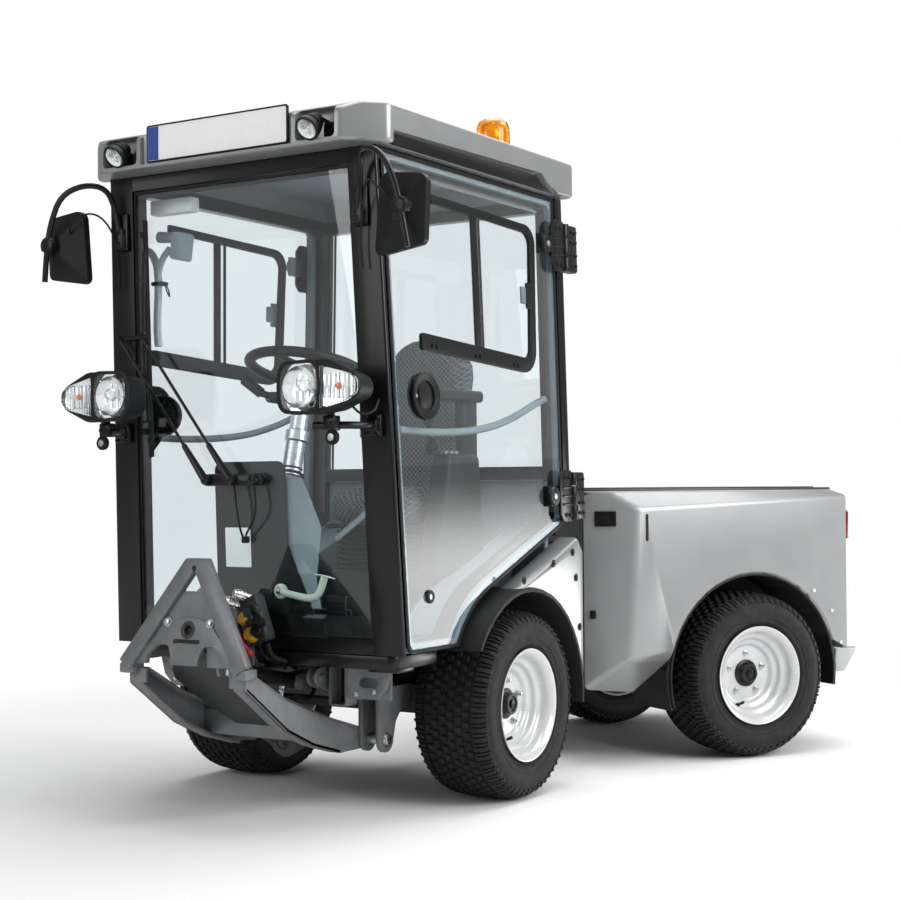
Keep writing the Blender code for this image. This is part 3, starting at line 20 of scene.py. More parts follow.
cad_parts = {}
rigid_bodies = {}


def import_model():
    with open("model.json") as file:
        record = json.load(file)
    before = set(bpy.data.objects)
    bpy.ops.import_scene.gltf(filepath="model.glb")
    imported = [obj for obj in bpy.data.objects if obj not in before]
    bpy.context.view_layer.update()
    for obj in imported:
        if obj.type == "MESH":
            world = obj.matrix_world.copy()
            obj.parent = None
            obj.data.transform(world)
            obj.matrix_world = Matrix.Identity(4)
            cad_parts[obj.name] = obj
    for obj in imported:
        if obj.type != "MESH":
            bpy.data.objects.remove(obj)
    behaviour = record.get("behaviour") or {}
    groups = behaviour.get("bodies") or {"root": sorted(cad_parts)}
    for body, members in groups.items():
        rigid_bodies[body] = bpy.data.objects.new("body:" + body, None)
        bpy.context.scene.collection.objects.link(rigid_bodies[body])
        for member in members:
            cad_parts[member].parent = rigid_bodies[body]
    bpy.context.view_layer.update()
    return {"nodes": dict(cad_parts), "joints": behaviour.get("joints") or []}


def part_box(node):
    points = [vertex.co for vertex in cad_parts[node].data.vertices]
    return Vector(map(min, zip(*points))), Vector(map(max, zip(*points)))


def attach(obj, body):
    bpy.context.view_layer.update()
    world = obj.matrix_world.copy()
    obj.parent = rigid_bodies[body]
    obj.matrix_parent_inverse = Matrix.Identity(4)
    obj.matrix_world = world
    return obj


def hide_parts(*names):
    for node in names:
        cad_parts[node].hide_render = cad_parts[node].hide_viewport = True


LOG = logging.getLogger("carrier")
Point = Sequence[float]

MM_PER_M = 1000
# Bands, light and dark, in a metre of a wave texture at a scale of 1, nearly.
BANDS_PER_M = 6.283
# Clearance between pieces that touch.
GAP = 0.0003
# How strongly the fine relief tilts the light on paint and plastic, and on clear panes.
RELIEF, PANE_RELIEF = 0.6, 0.25
COAT_ROUGHNESS = 0.12

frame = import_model()


# ------------------------------------------------------------------ datum
def box_middle(node: str) -> Vector:
    """Returns the middle of a CAD node's box."""
    low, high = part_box(node)
    return (low + high) / 2


def joint_place(name: str) -> Vector:
    """Returns the anchor of one of the record's joints."""
    return Vector(next(joint["pos_m"] for joint in frame["joints"] if joint["name"] == name))


@dataclass(frozen=True)
class Datum:
    """Where the two halves of the machine stand.

    The front half is drawn about the ground point under its axle, nose towards -Y. The rear
    half is drawn about the steering pivot, with +Y running back along it.
    """

    front: Matrix
    rear: Matrix

    @classmethod
    def of_model(cls) -> "Datum":
        """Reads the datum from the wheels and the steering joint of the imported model."""
        axle = (box_middle("rim_front_left") + box_middle("rim_front_right")) / 2
        rear_axle = (box_middle("rim_rear_left") + box_middle("rim_rear_right")) / 2
        pivot = joint_place("articulation")
        back = rear_axle - pivot
        heading = math.atan2(-back.x, back.y)
        return cls(Matrix.Translation((axle.x, axle.y, 0.0)),
                   Matrix.Translation((pivot.x, pivot.y, 0.0)) @ Matrix.Rotation(heading, 4, "Z"))


DATUM = Datum.of_model()


# ------------------------------------------------------------------ finishes
def srgb(code: str) -> tuple[float, float, float, float]:
    """Turns an sRGB hex colour into linear light with full alpha.

    Args:
        code: Six hex digits, such as "b9bbbc".

    Returns:
        Red, green, blue and alpha.
    """
    channels = [int(code[i:i + 2], 16) / 255 for i in (0, 2, 4)]
    red, green, blue = [c / 12.92 if c <= 0.04045 else ((c + 0.055) / 1.055) ** 2.4 for c in channels]
    return red, green, blue, 1.0


def add_node(tree: bpy.types.NodeTree, kind: str, settings: dict | None = None,
             links: dict | None = None) -> bpy.types.Node:
    """Adds a shader node with its settings and its incoming links.

    Args:
        tree: The node tree that gets the node.
        kind: The node's type without its ShaderNode prefix.
        settings: Property or input names (or input numbers) with their values.
        links: Input names or numbers with the output sockets that feed them.

    Returns:
        The new node.
    """
    node = tree.nodes.new("ShaderNode" + kind)
    for key, value in (settings or {}).items():
        if isinstance(key, str) and key[0].islower():
            setattr(node, key, value)
        else:
            node.inputs[key].default_value = value
    for key, source in (links or {}).items():
        tree.links.new(source, node.inputs[key])
    return node


@dataclass(frozen=True)
class Finish:
    """A surface: its colour with slow mottling, its sheen, and a fine relief.

    Attributes:
        name: The real finish, in plain words.
        colour: sRGB hex of the clean surface.
        shade: sRGB hex that the mottling leans to.
        mottle_mm: Size of the mottling's patches.
        mottle: Share of the shade where the mottling is strongest.
        roughness: Middle roughness.
        spread: How far the roughness swings about it.
        grain_mm: Size of the relief's grain.
        depth_mm: Depth of the relief.
        metallic: Share of metal.
        coat: Weight of a clear coat.
        easing_mm: Radius that the light sees on sharp edges; 0 leaves them sharp.
        glare: Specular level of the bare surface.
    """

    name: str
    colour: str
    shade: str
    mottle_mm: float = 60.0
    mottle: float = 0.35
    roughness: float = 0.5
    spread: float = 0.06
    grain_mm: float = 1.2
    depth_mm: float = 0.05
    metallic: float = 0.0
    coat: float = 0.0
    easing_mm: float = 0.0
    glare: float = 0.5

    def material(self) -> bpy.types.Material:
        """Returns the finish's material, made at its first use."""
        found = bpy.data.materials.get(self.name)
        if found:
            return found
        material = bpy.data.materials.new(self.name)
        material.use_nodes = True
        tree = material.node_tree
        shader = tree.nodes["Principled BSDF"]
        shader.inputs["Metallic"].default_value = self.metallic
        shader.inputs["Specular IOR Level"].default_value = self.glare
        shader.inputs["Coat Weight"].default_value = self.coat
        shader.inputs["Coat Roughness"].default_value = COAT_ROUGHNESS
        self.dress(tree, shader)
        return material

    def place(self, tree: bpy.types.NodeTree) -> bpy.types.NodeSocket:
        """Returns the coordinates that the patterns read, in metres."""
        return add_node(tree, "TexCoord").outputs["Object"]

    def relief(self, tree: bpy.types.NodeTree, place: bpy.types.NodeSocket) -> bpy.types.NodeSocket:
        """Returns the height of the fine relief, from 0 to 1."""
        grain = add_node(tree, "TexNoise", {"Scale": MM_PER_M / self.grain_mm, "Detail": 2.0, "Roughness": 0.6},
                         {"Vector": place})
        return grain.outputs["Fac"]

    def waves(self, tree: bpy.types.NodeTree, place: bpy.types.NodeSocket, way: str,
              width_mm: float) -> bpy.types.NodeSocket:
        """Returns the height of even waves across an axis, from 0 to 1; each high band is about width_mm wide."""
        wave = add_node(tree, "TexWave", {"bands_direction": way, "Scale": MM_PER_M / width_mm / BANDS_PER_M},
                        {"Vector": place})
        return wave.outputs["Fac"]

    def blend(self, tree: bpy.types.NodeTree, value: bpy.types.NodeSocket, low: float,
              high: float) -> bpy.types.NodeSocket:
        """Returns the colour, which leans to the shade as a value rises from low to high."""
        share = add_node(tree, "MapRange", {"From Min": low, "From Max": high, "To Max": self.mottle}, {"Value": value})
        mixed = add_node(tree, "Mix", {"data_type": "RGBA", 6: srgb(self.colour), 7: srgb(self.shade)},
                         {0: share.outputs["Result"]})
        return mixed.outputs[2]

    def pattern(self, tree: bpy.types.NodeTree, place: bpy.types.NodeSocket) -> bpy.types.NodeSocket:
        """Returns the surface's colour."""
        patches = add_node(tree, "TexNoise", {"Scale": MM_PER_M / self.mottle_mm, "Detail": 4.0}, {"Vector": place})
        return self.blend(tree, patches.outputs["Fac"], 0.35, 0.75)

    def dress(self, tree: bpy.types.NodeTree, shader: bpy.types.Node) -> None:
        """Links colour, roughness and relief to the shader.

        Args:
            tree: The material's node tree.
            shader: Its Principled node.
        """
        place = self.place(tree)
        tree.links.new(self.pattern(tree, place), shader.inputs["Base Color"])
        smudge = add_node(tree, "TexNoise", {"Scale": 2.5 * MM_PER_M / self.mottle_mm, "Detail": 3.0},
                          {"Vector": place})
        sheen = add_node(tree, "MapRange", {"To Min": self.roughness - self.spread,
                                            "To Max": self.roughness + self.spread},
                         {"Value": smudge.outputs["Fac"]})
        tree.links.new(sheen.outputs["Result"], shader.inputs["Roughness"])
        bump = add_node(tree, "Bump", {"Strength": RELIEF, "Distance": self.depth_mm / MM_PER_M},
                        {"Height": self.relief(tree, place)})
        if self.easing_mm:
            eased = add_node(tree, "Bevel", {"samples": 4, "Radius": self.easing_mm / MM_PER_M})
            tree.links.new(eased.outputs["Normal"], bump.inputs["Normal"])
        tree.links.new(bump.outputs["Normal"], shader.inputs["Normal"])


@dataclass(frozen=True)
class PebbledPlastic(Finish):
    """Injection-moulded plastic whose mould was etched to small rounded pebbles."""

    def relief(self, tree: bpy.types.NodeTree, place: bpy.types.NodeSocket) -> bpy.types.NodeSocket:
        """Returns the height of the pebbles, from 0 to 1."""
        cells = add_node(tree, "TexVoronoi", {"feature": "SMOOTH_F1", "Scale": MM_PER_M / self.grain_mm},
                         {"Vector": place})
        return cells.outputs["Distance"]


@dataclass(frozen=True)
class WovenCloth(Finish):
    """Upholstery cloth: two sets of threads crossing over and under."""

    def relief(self, tree: bpy.types.NodeTree, place: bpy.types.NodeSocket) -> bpy.types.NodeSocket:
        """Returns the height of two slanting sets of threads, from 0 to 1."""
        turned = add_node(tree, "Mapping", {"Rotation": (0.0, math.radians(45), math.radians(20))}, {"Vector": place})
        across, along = [self.waves(tree, turned.outputs["Vector"], way, self.grain_mm) for way in ("X", "Z")]
        return add_node(tree, "Math", {"operation": "MAXIMUM"}, {0: across, 1: along}).outputs[0]

    def pattern(self, tree: bpy.types.NodeTree, place: bpy.types.NodeSocket) -> bpy.types.NodeSocket:
        """Returns the cloth's colour: pale threads crossing over a dark ground."""
        return self.blend(tree, self.relief(tree, place), 0.55, 1.0)


@dataclass(frozen=True)
class Glazing(Finish):
    """Flat glass or a clear moulded lens that lets lamplight through to what is behind it.

    Attributes:
        lets_light: Colour of the light that reaches what is behind, sRGB hex.
        ior: Index of refraction.
        flute_mm: Width of a moulded flute, half their spacing; 0 for a plain pane.
    """

    lets_light: str = "e6eef0"
    ior: float = 1.45
    flute_mm: float = 0.0

    def relief(self, tree: bpy.types.NodeTree, place: bpy.types.NodeSocket) -> bpy.types.NodeSocket:
        """Returns the height of the flutes or of the float glass's faint waves."""
        if self.flute_mm:
            return self.waves(tree, place, "X", self.flute_mm)
        return super().relief(tree, place)

    def dress(self, tree: bpy.types.NodeTree, shader: bpy.types.Node) -> None:
        """Makes the shader clear and lets lamps shine through it.

        Args:
            tree: The material's node tree.
            shader: Its Principled node.
        """
        place = self.place(tree)
        shader.inputs["Transmission Weight"].default_value = 1.0
        shader.inputs["IOR"].default_value = self.ior
        shader.inputs["Roughness"].default_value = self.roughness
        tree.links.new(self.pattern(tree, place), shader.inputs["Base Color"])
        bump = add_node(tree, "Bump", {"Strength": PANE_RELIEF, "Distance": self.depth_mm / MM_PER_M},
                        {"Height": self.relief(tree, place)})
        tree.links.new(bump.outputs["Normal"], shader.inputs["Normal"])
        clear = add_node(tree, "BsdfTransparent", {"Color": srgb(self.lets_light)})
        path = add_node(tree, "LightPath")
        mixed = add_node(tree, "MixShader", {}, {0: path.outputs["Is Shadow Ray"], 1: shader.outputs["BSDF"],
                                                 2: clear.outputs["BSDF"]})
        tree.links.new(mixed.outputs["Shader"], tree.nodes["Material Output"].inputs["Surface"])


# Two-pack silver-grey paint on vacuum-formed panels: a soft satin with faint metallic flake.
SILVER_PANEL = Finish("silver grey two-pack paint", "98999a", "848586", 140, 0.30, 0.36, 0.04, 2.2, 0.03, 0.50, 0.25,
                      2.5)
# Dark grey paint of the same kind on the deck and the inner panels.
ANTHRACITE_PANEL = Finish("anthracite two-pack paint", "3c3e40", "2c2e30", 120, 0.4, 0.46, 0.05, 2.0, 0.04, 0.1, 0.1,
                          2.5)
# Black powder coat on the cab's tubes: deep black with a soft orange-peel shine.
BLACK_COAT = Finish("black powder coat", "0e0f10", "090a0a", 60, 0.5, 0.30, 0.03, 1.6, 0.02, 0.0, 0.1, 2.0,
                    glare=0.3)
# Grey enamel on the linkage's flame-cut and welded steel, a little clouded.
STEEL_ENAMEL = Finish("grey enamel on steel", "77797b", "5c5e60", 45, 0.6, 0.42, 0.08, 1.4, 0.08, 0.35, 0.1, 1.8)
# Dark grey cast iron under the same enamel, where the sand mould's skin shows.
CAST_ENAMEL = Finish("dark enamel on castings", "3a3c3d", "29292a", 30, 0.6, 0.5, 0.1, 1.1, 0.16, 0.25, 0.0, 1.8)
# White enamel on pressed wheel discs.
WHEEL_ENAMEL = Finish("white wheel enamel", "cfd0d1", "b2b4b5", 50, 0.4, 0.24, 0.05, 2.0, 0.03, 0.1, 0.5, 1.5)
# Rubber with carbon black, with faint patches of grey dust.
TYRE_RUBBER = Finish("tyre rubber", "161616", "2f2e2d", 35, 0.55, 0.72, 0.1, 0.9, 0.12, 0.0, 0.0, 1.0, glare=0.3)
# Bright zinc on bolts and pins, slightly clouded.
ZINC_PLATE = Finish("bright zinc plate", "cfd1d2", "9fa2a5", 6, 0.6, 0.28, 0.08, 0.8, 0.02, 1.0, 0.0, 0.6)
# Hard chrome on piston rods: a near mirror.
HARD_CHROME = Finish("hard chrome", "d5d7d9", "c2c4c6", 20, 0.3, 0.1, 0.03, 0.5, 0.005, 1.0)
# Black ABS with an etched grain: lamp and mirror shells.
GRAINED_BLACK = PebbledPlastic("grained black plastic", "0f1011", "17181a", 40, 0.5, 0.48, 0.06, 1.1, 0.10, 0.0, 0.0,
                               1.0, glare=0.25)
# Coarser grain on the mudguards.
MUDGUARD_BLACK = PebbledPlastic("mudguard polypropylene", "131414", "1e1f20", 70, 0.5, 0.6, 0.06, 1.8, 0.22, glare=0.3)
# Rubber of seals, grommets and hoses.
SEAL_RUBBER = Finish("seal rubber", "0d0d0d", "171717", 20, 0.4, 0.55, 0.06, 0.6, 0.04, glare=0.3)
# Grey-blue grained trim inside the cab.
CAB_TRIM = PebbledPlastic("grained cab trim", "68747a", "566167", 90, 0.4, 0.62, 0.05, 1.6, 0.12)
# Headliner board with a coarse grain.
HEADLINER = PebbledPlastic("headliner board", "97a4aa", "828e94", 90, 0.3, 0.7, 0.05, 3.0, 0.2)
# Pale enamel of the grab tube.
PALE_ENAMEL = Finish("pale grey enamel", "c3cacd", "aab2b6", 60, 0.4, 0.4, 0.05, 1.5, 0.03)
# Ribbed floor mat.
FLOOR_MAT = PebbledPlastic("floor mat rubber", "242628", "17191a", 50, 0.5, 0.75, 0.06, 3.0, 0.4)
# Knitted seat cover; its threads are drawn 6 mm wide, coarser than real ones, so that they show.
SEAT_CLOTH = WovenCloth("knitted seat cloth", "2e3235", "747e83", 60, 0.6, 0.8, 0.05, 6.0, 0.5)
# Laminated and toughened cab glass, faintly green-blue.
CAB_GLASS = Glazing("tinted safety glass", "f1f6f7", "ebf2f4", 300, 0.4, 0.0, 0.0, 200, 0.02, lets_light="eef4f5")
# Clear polycarbonate lamp lens.
CLEAR_LENS = Glazing("clear polycarbonate lens", "fbfdfd", "eef4f6", 40, 0.3, 0.02, 0.0, 8, 0.05, lets_light="f6fafa",
                     ior=1.58)
# The same with moulded flutes over the direction indicator.
FLUTED_LENS = Glazing("fluted polycarbonate lens", "fbfdfd", "eef4f6", 40, 0.3, 0.04, 0.0, 8, 0.6,
                      lets_light="f6fafa", ior=1.58, flute_mm=5.0)
# Amber acrylic dome of the rotating lamp.
AMBER_LENS = Glazing("amber acrylic", "ffc524", "f8ac10", 30, 0.6, 0.06, 0.0, 8, 0.4, lets_light="ffd860", ior=1.49)
# Orange lacquer on the indicator's bulb.
AMBER_BULB = Finish("orange bulb lacquer", "e8782a", "c85f18", 10, 0.4, 0.25, 0.04, 1.0, 0.02)
# Red acrylic tail lamps.
RED_LENS = Glazing("red acrylic", "c5101a", "8c0a12", 30, 0.5, 0.08, 0.0, 8, 0.4, lets_light="e03038", ior=1.49,
                   flute_mm=6.0)
# Vacuum-metallised reflector bowls and mirror glass.
REFLECTOR = Finish("metallised reflector", "e8e9ea", "cdd0d2", 12, 0.4, 0.08, 0.03, 6.0, 0.25, 1.0)
# Red prism sheet behind the tail lamp's lens.
RED_BACK = Finish("red prism sheet", "b3121c", "8a0c14", 8, 0.5, 0.3, 0.05, 3.0, 0.3, 0.3)
# Paler grey paint on the step bumper; on the strip along the deck's seam the same pale grey is a painted highlight of
# that edge.
PALE_PAINT_AND_EDGE_HIGHLIGHT = Finish("pale grey paint and painted edge highlight", "aeb0b1", "97999b", 90, 0.35, 0.42, 0.05, 2.0, 0.03, 0.1, 0.2, 1.5)
# Retroreflective white sheeting on blank plates.
PLATE_SHEET = PebbledPlastic("white reflective sheeting", "fbfbfa", "f1f1ef", 30, 0.4, 0.4, 0.04, 0.9, 0.03)
# Plain blue end band of the blank plate.
PLATE_BLUE = PebbledPlastic("blue reflective sheeting", "1f4a9c", "1a3f86", 30, 0.4, 0.4, 0.04, 0.9, 0.03)
# Grey-green enamel of the parking lever.
LEVER_ENAMEL = Finish("pale green lever enamel", "cfdccf", "b4c4b5", 20, 0.4, 0.4, 0.05, 1.5, 0.04)
# Moulded caps of the hydraulic couplings.
RED_CAP = PebbledPlastic("red polyethylene cap", "b51a1c", "951417", 15, 0.4, 0.45, 0.05, 1.0, 0.05)
YELLOW_CAP = PebbledPlastic("yellow polyethylene cap", "d9a51c", "b98913", 15, 0.4, 0.45, 0.05, 1.0, 0.05)


# ------------------------------------------------------------------ bench
class Part(Enum):
    """What a selection picks in edit mode."""

    POINTS = "VERT"
    FACES = "FACE"


def only(obj: bpy.types.Object) -> bpy.types.Object:
    """Makes obj the one selected and active object, and returns it."""
    bpy.ops.object.select_all(action="DESELECT")
    obj.select_set(True)
    bpy.context.view_layer.objects.active = obj
    return obj


def settle(obj: bpy.types.Object) -> bpy.types.Object:
    """Works an object's place, turn and scale into its mesh, and returns it."""
    only(obj)
    bpy.ops.object.transform_apply(location=True, rotation=True, scale=True)
    return obj


def add(name: str, operator: Callable[..., object], **settings: object) -> bpy.types.Object:
    """Adds a primitive with nothing else selected, names it and returns it."""
    bpy.ops.object.select_all(action="DESELECT")
    operator(**settings)
    obj = bpy.context.object
    obj.name = name
    return obj


@contextmanager
def editing(obj: bpy.types.Object, part: Part = Part.FACES, everything: bool = False) -> Iterator[None]:
    """Opens obj in edit mode for the length of a with block.

    Args:
        obj: The mesh to edit.
        part: What the selection picks.
        everything: Whether all of it starts selected.
    """
    only(obj)
    bpy.ops.object.mode_set(mode="EDIT")
    bpy.ops.mesh.select_mode(type=part.value)
    bpy.ops.mesh.select_all(action="SELECT" if everything else "DESELECT")
    yield
    bpy.ops.object.mode_set(mode="OBJECT")


def taper(obj: bpy.types.Object, test: Callable[[Vector, Vector], bool], by: Point,
          centre: Point) -> bpy.types.Object:
    """Resizes some faces of a mesh about a centre.

    Args:
        obj: The mesh.
        test: Takes a face's middle and normal and says whether it is resized.
        by: The factors along X, Y and Z.
        centre: What stays in its place.

    Returns:
        The object.
    """
    with editing(obj):
        mesh = bmesh.from_edit_mesh(obj.data)
        for face in mesh.faces:
            face.select_set(test(face.calc_center_median(), face.normal))
        mesh.select_flush_mode()
        bmesh.update_edit_mesh(obj.data)
        bpy.ops.transform.resize(value=by, center_override=centre)
    return obj


def swing(obj: bpy.types.Object, angle: float, axis: str, centre: Point) -> bpy.types.Object:
    """Turns a whole mesh by radians about an axis through a centre; returns obj."""
    with editing(obj, everything=True):
        bpy.ops.transform.rotate(value=angle, orient_axis=axis, center_override=centre)
    return obj


def tidy(obj: bpy.types.Object, merge: float = 1e-5) -> bpy.types.Object:
    """Merges doubled points and turns all faces outwards; returns obj."""
    with editing(obj, everything=True):
        bpy.ops.mesh.remove_doubles(threshold=merge)
        bpy.ops.mesh.normals_make_consistent(inside=False)
    return obj


def trace(name: str, points: Sequence[Point]) -> bpy.types.Object:
    """Draws a closed outline by extruding one point from place to place, and fills it.

    Args:
        name: The new object's name.
        points: The outline's corners.

    Returns:
        The new object.
    """
    corners = [Vector(p) for p in points]
    obj = add(name, bpy.ops.mesh.primitive_plane_add, size=0.001)
    with editing(obj, Part.POINTS, everything=True):
        bpy.ops.mesh.merge(type="CENTER")
        bpy.ops.transform.translate(value=corners[0])
        for before, after in zip(corners, corners[1:]):
            bpy.ops.mesh.extrude_region_move(TRANSFORM_OT_translate={"value": after - before})
        bpy.ops.mesh.select_all(action="SELECT")
        bpy.ops.mesh.edge_face_add()
    return obj


def push(obj: bpy.types.Object, by: Point) -> bpy.types.Object:
    """Extrudes a flat outline into a solid; returns obj."""
    with editing(obj, everything=True):
        bpy.ops.mesh.extrude_region_move(TRANSFORM_OT_translate={"value": by})
        bpy.ops.mesh.select_all(action="SELECT")
        bpy.ops.mesh.normals_make_consistent(inside=False)
    return obj


def turn(obj: bpy.types.Object, axis: Point, steps: int = 48) -> bpy.types.Object:
    """Spins an outline right round an axis through the origin into a closed solid; returns obj."""
    with editing(obj, everything=True):
        bpy.ops.mesh.spin(steps=steps, angle=math.tau, center=(0, 0, 0), axis=axis)
    return tidy(obj)


def repeat_round(obj: bpy.types.Object, axis: Point, count: int) -> bpy.types.Object:
    """Copies a mesh's content count times round an axis through the origin; returns obj."""
    with editing(obj, everything=True):
        bpy.ops.mesh.spin(steps=count, angle=math.tau, center=(0, 0, 0), axis=axis, dupli=True)
    return tidy(obj)


def modify(obj: bpy.types.Object, kind: str, **settings: object) -> bpy.types.Object:
    """Adds a modifier with its settings, applies it, and returns obj."""
    only(obj)
    modifier = obj.modifiers.new(kind.lower(), kind)
    for key, value in settings.items():
        setattr(modifier, key, value)
    bpy.ops.object.modifier_apply(modifier=modifier.name)
    return obj


def ease(obj: bpy.types.Object, width: float, segments: int = 2, angle: float = 35.0) -> bpy.types.Object:
    """Rounds an object's sharp edges; returns obj."""
    return modify(obj, "BEVEL", width=width, segments=segments, limit_method="ANGLE",
                  angle_limit=math.radians(angle))


def block(name: str, low: Point, high: Point, easing: float = 0.0, segments: int = 2) -> bpy.types.Object:
    """Adds a box between two corners, with rounded edges where easing is given."""
    low, high = Vector(low), Vector(high)
    obj = add(name, bpy.ops.mesh.primitive_cube_add, size=1, location=(low + high) / 2)
    obj.scale = high - low
    tidy(settle(obj))
    return ease(obj, easing, segments) if easing else obj


def bar(name: str, start: Point, end: Point, radius: float, end_radius: float | None = None, sides: int = 24,
        easing: float = 0.0) -> bpy.types.Object:
    """Adds a round bar or cone from one point to another."""
    start, end = Vector(start), Vector(end)
    obj = settle(add(name, bpy.ops.mesh.primitive_cone_add, vertices=sides, radius1=radius,
                     radius2=radius if end_radius is None else end_radius, depth=(end - start).length,
                     location=(start + end) / 2, rotation=(end - start).to_track_quat("Z", "Y").to_euler()))
    return ease(obj, easing, 2, 50) if easing else obj


def lathe(name: str, profile: Sequence[tuple[float, float]], foot: Point, axis: Point,
          steps: int = 48) -> bpy.types.Object:
    """Turns a closed profile of (radius, height) about an axis that rises from foot."""
    obj = turn(trace(name, [(radius, 0, height) for radius, height in profile]), (0, 0, 1), steps=steps)
    obj.rotation_mode = "QUATERNION"
    obj.rotation_quaternion = Vector(axis).to_track_quat("Z", "Y")
    obj.location = foot
    return settle(obj)


def eased_path(points: Sequence[Point], rounds: int = 2) -> list[Vector]:
    """Cuts the corners of a path so that it runs smoothly; its ends stay."""
    path = [Vector(p) for p in points]
    for _ in range(rounds):
        path = [path[0]] + [q for a, b in zip(path, path[1:]) for q in (a.lerp(b, 0.25), a.lerp(b, 0.75))] + [path[-1]]
    return path


def pipe(name: str, points: Sequence[Point], radius: float, rounds: int = 2, resolution: int = 4) -> bpy.types.Object:
    """Runs a round tube through points and makes it a mesh."""
    path = eased_path(points, rounds)
    curve = add(name, bpy.ops.curve.primitive_nurbs_path_add).data
    curve.splines.clear()
    spline = curve.splines.new("POLY")
    spline.points.add(len(path) - 1)
    for knot, place in zip(spline.points, path):
        knot.co = (*place, 1)
    curve.bevel_depth = radius
    curve.bevel_resolution = resolution
    curve.use_fill_caps = True
    bpy.ops.object.convert(target="MESH")
    return tidy(bpy.context.object)


def carve(obj: bpy.types.Object, *tools: bpy.types.Object) -> bpy.types.Object:
    """Cuts tools out of obj and removes them; returns obj."""
    for tool in tools:
        modify(obj, "BOOLEAN", operation="DIFFERENCE", solver="EXACT", object=tool)
        bpy.data.objects.remove(tool)
    return obj


def gather(name: str, pieces: Sequence[bpy.types.Object]) -> bpy.types.Object:
    """Joins loose pieces into one object."""
    bpy.ops.object.select_all(action="DESELECT")
    for piece in pieces:
        piece.select_set(True)
    bpy.context.view_layer.objects.active = pieces[0]
    if len(pieces) > 1:
        bpy.ops.object.join()
    obj = bpy.context.object
    obj.name = name
    return obj


def twin(obj: bpy.types.Object, matrix: Matrix | None = None) -> bpy.types.Object:
    """Copies an object with a mesh of its own and moves the copy by a matrix."""
    only(obj)
    bpy.ops.object.duplicate()
    copy = bpy.context.object
    if matrix is not None:
        copy.matrix_world = matrix @ copy.matrix_world
        settle(copy)
        if matrix.determinant() < 0:
            tidy(copy, 1e-6)
    return copy


MIRROR = Matrix.Scale(-1, 4, Vector((1, 0, 0)))


def recast(node: str, easing: float = 0.0, segments: int = 2) -> bpy.types.Object:
    """Makes a piece from a merged copy of a CAD node, to be shaded smooth when it is installed.

    Args:
        node: The CAD node.
        easing: Width of the rounding on its sharp edges, or 0.
        segments: Faces across that rounding.

    Returns:
        The new object, in the row frame.
    """
    obj = bpy.data.objects.new(node + "_finished", frame["nodes"][node].data.copy())
    bpy.context.scene.collection.objects.link(obj)
    tidy(obj)
    if easing:
        with editing(obj, everything=True):
            bpy.ops.mesh.dissolve_limited(angle_limit=math.radians(0.5))
        ease(obj, easing, segments, 40)
    return obj


def install(obj: bpy.types.Object, name: str, finish: Finish, body: str, place: Matrix | None = None,
            smooth: float = 38.0, stands_for: Sequence[str] = ()) -> bpy.types.Object:
    """Sets a finished piece in the row frame, dresses it and hangs it on its body.

    Args:
        obj: The piece, drawn in its half's frame.
        name: Its name.
        finish: What it is made of.
        body: The CAD body that it rides on.
        place: Where its half stands; None for a piece already in the row frame.
        smooth: Angle in degrees over which an edge stays sharp.
        stands_for: CAD nodes that it replaces.

    Returns:
        The piece.
    """
    only(obj)
    if place is not None:
        obj.matrix_world = place @ obj.matrix_world
    settle(obj)
    bpy.ops.object.shade_smooth_by_angle(angle=math.radians(smooth))
    obj.name = obj.data.name = name
    obj.data.materials.clear()
    obj.data.materials.append(finish.material())
    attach(obj, body)
    if stands_for:
        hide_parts(*stands_for)
    LOG.info("%s: %d faces on %s", name, len(obj.data.polygons), body)
    return obj


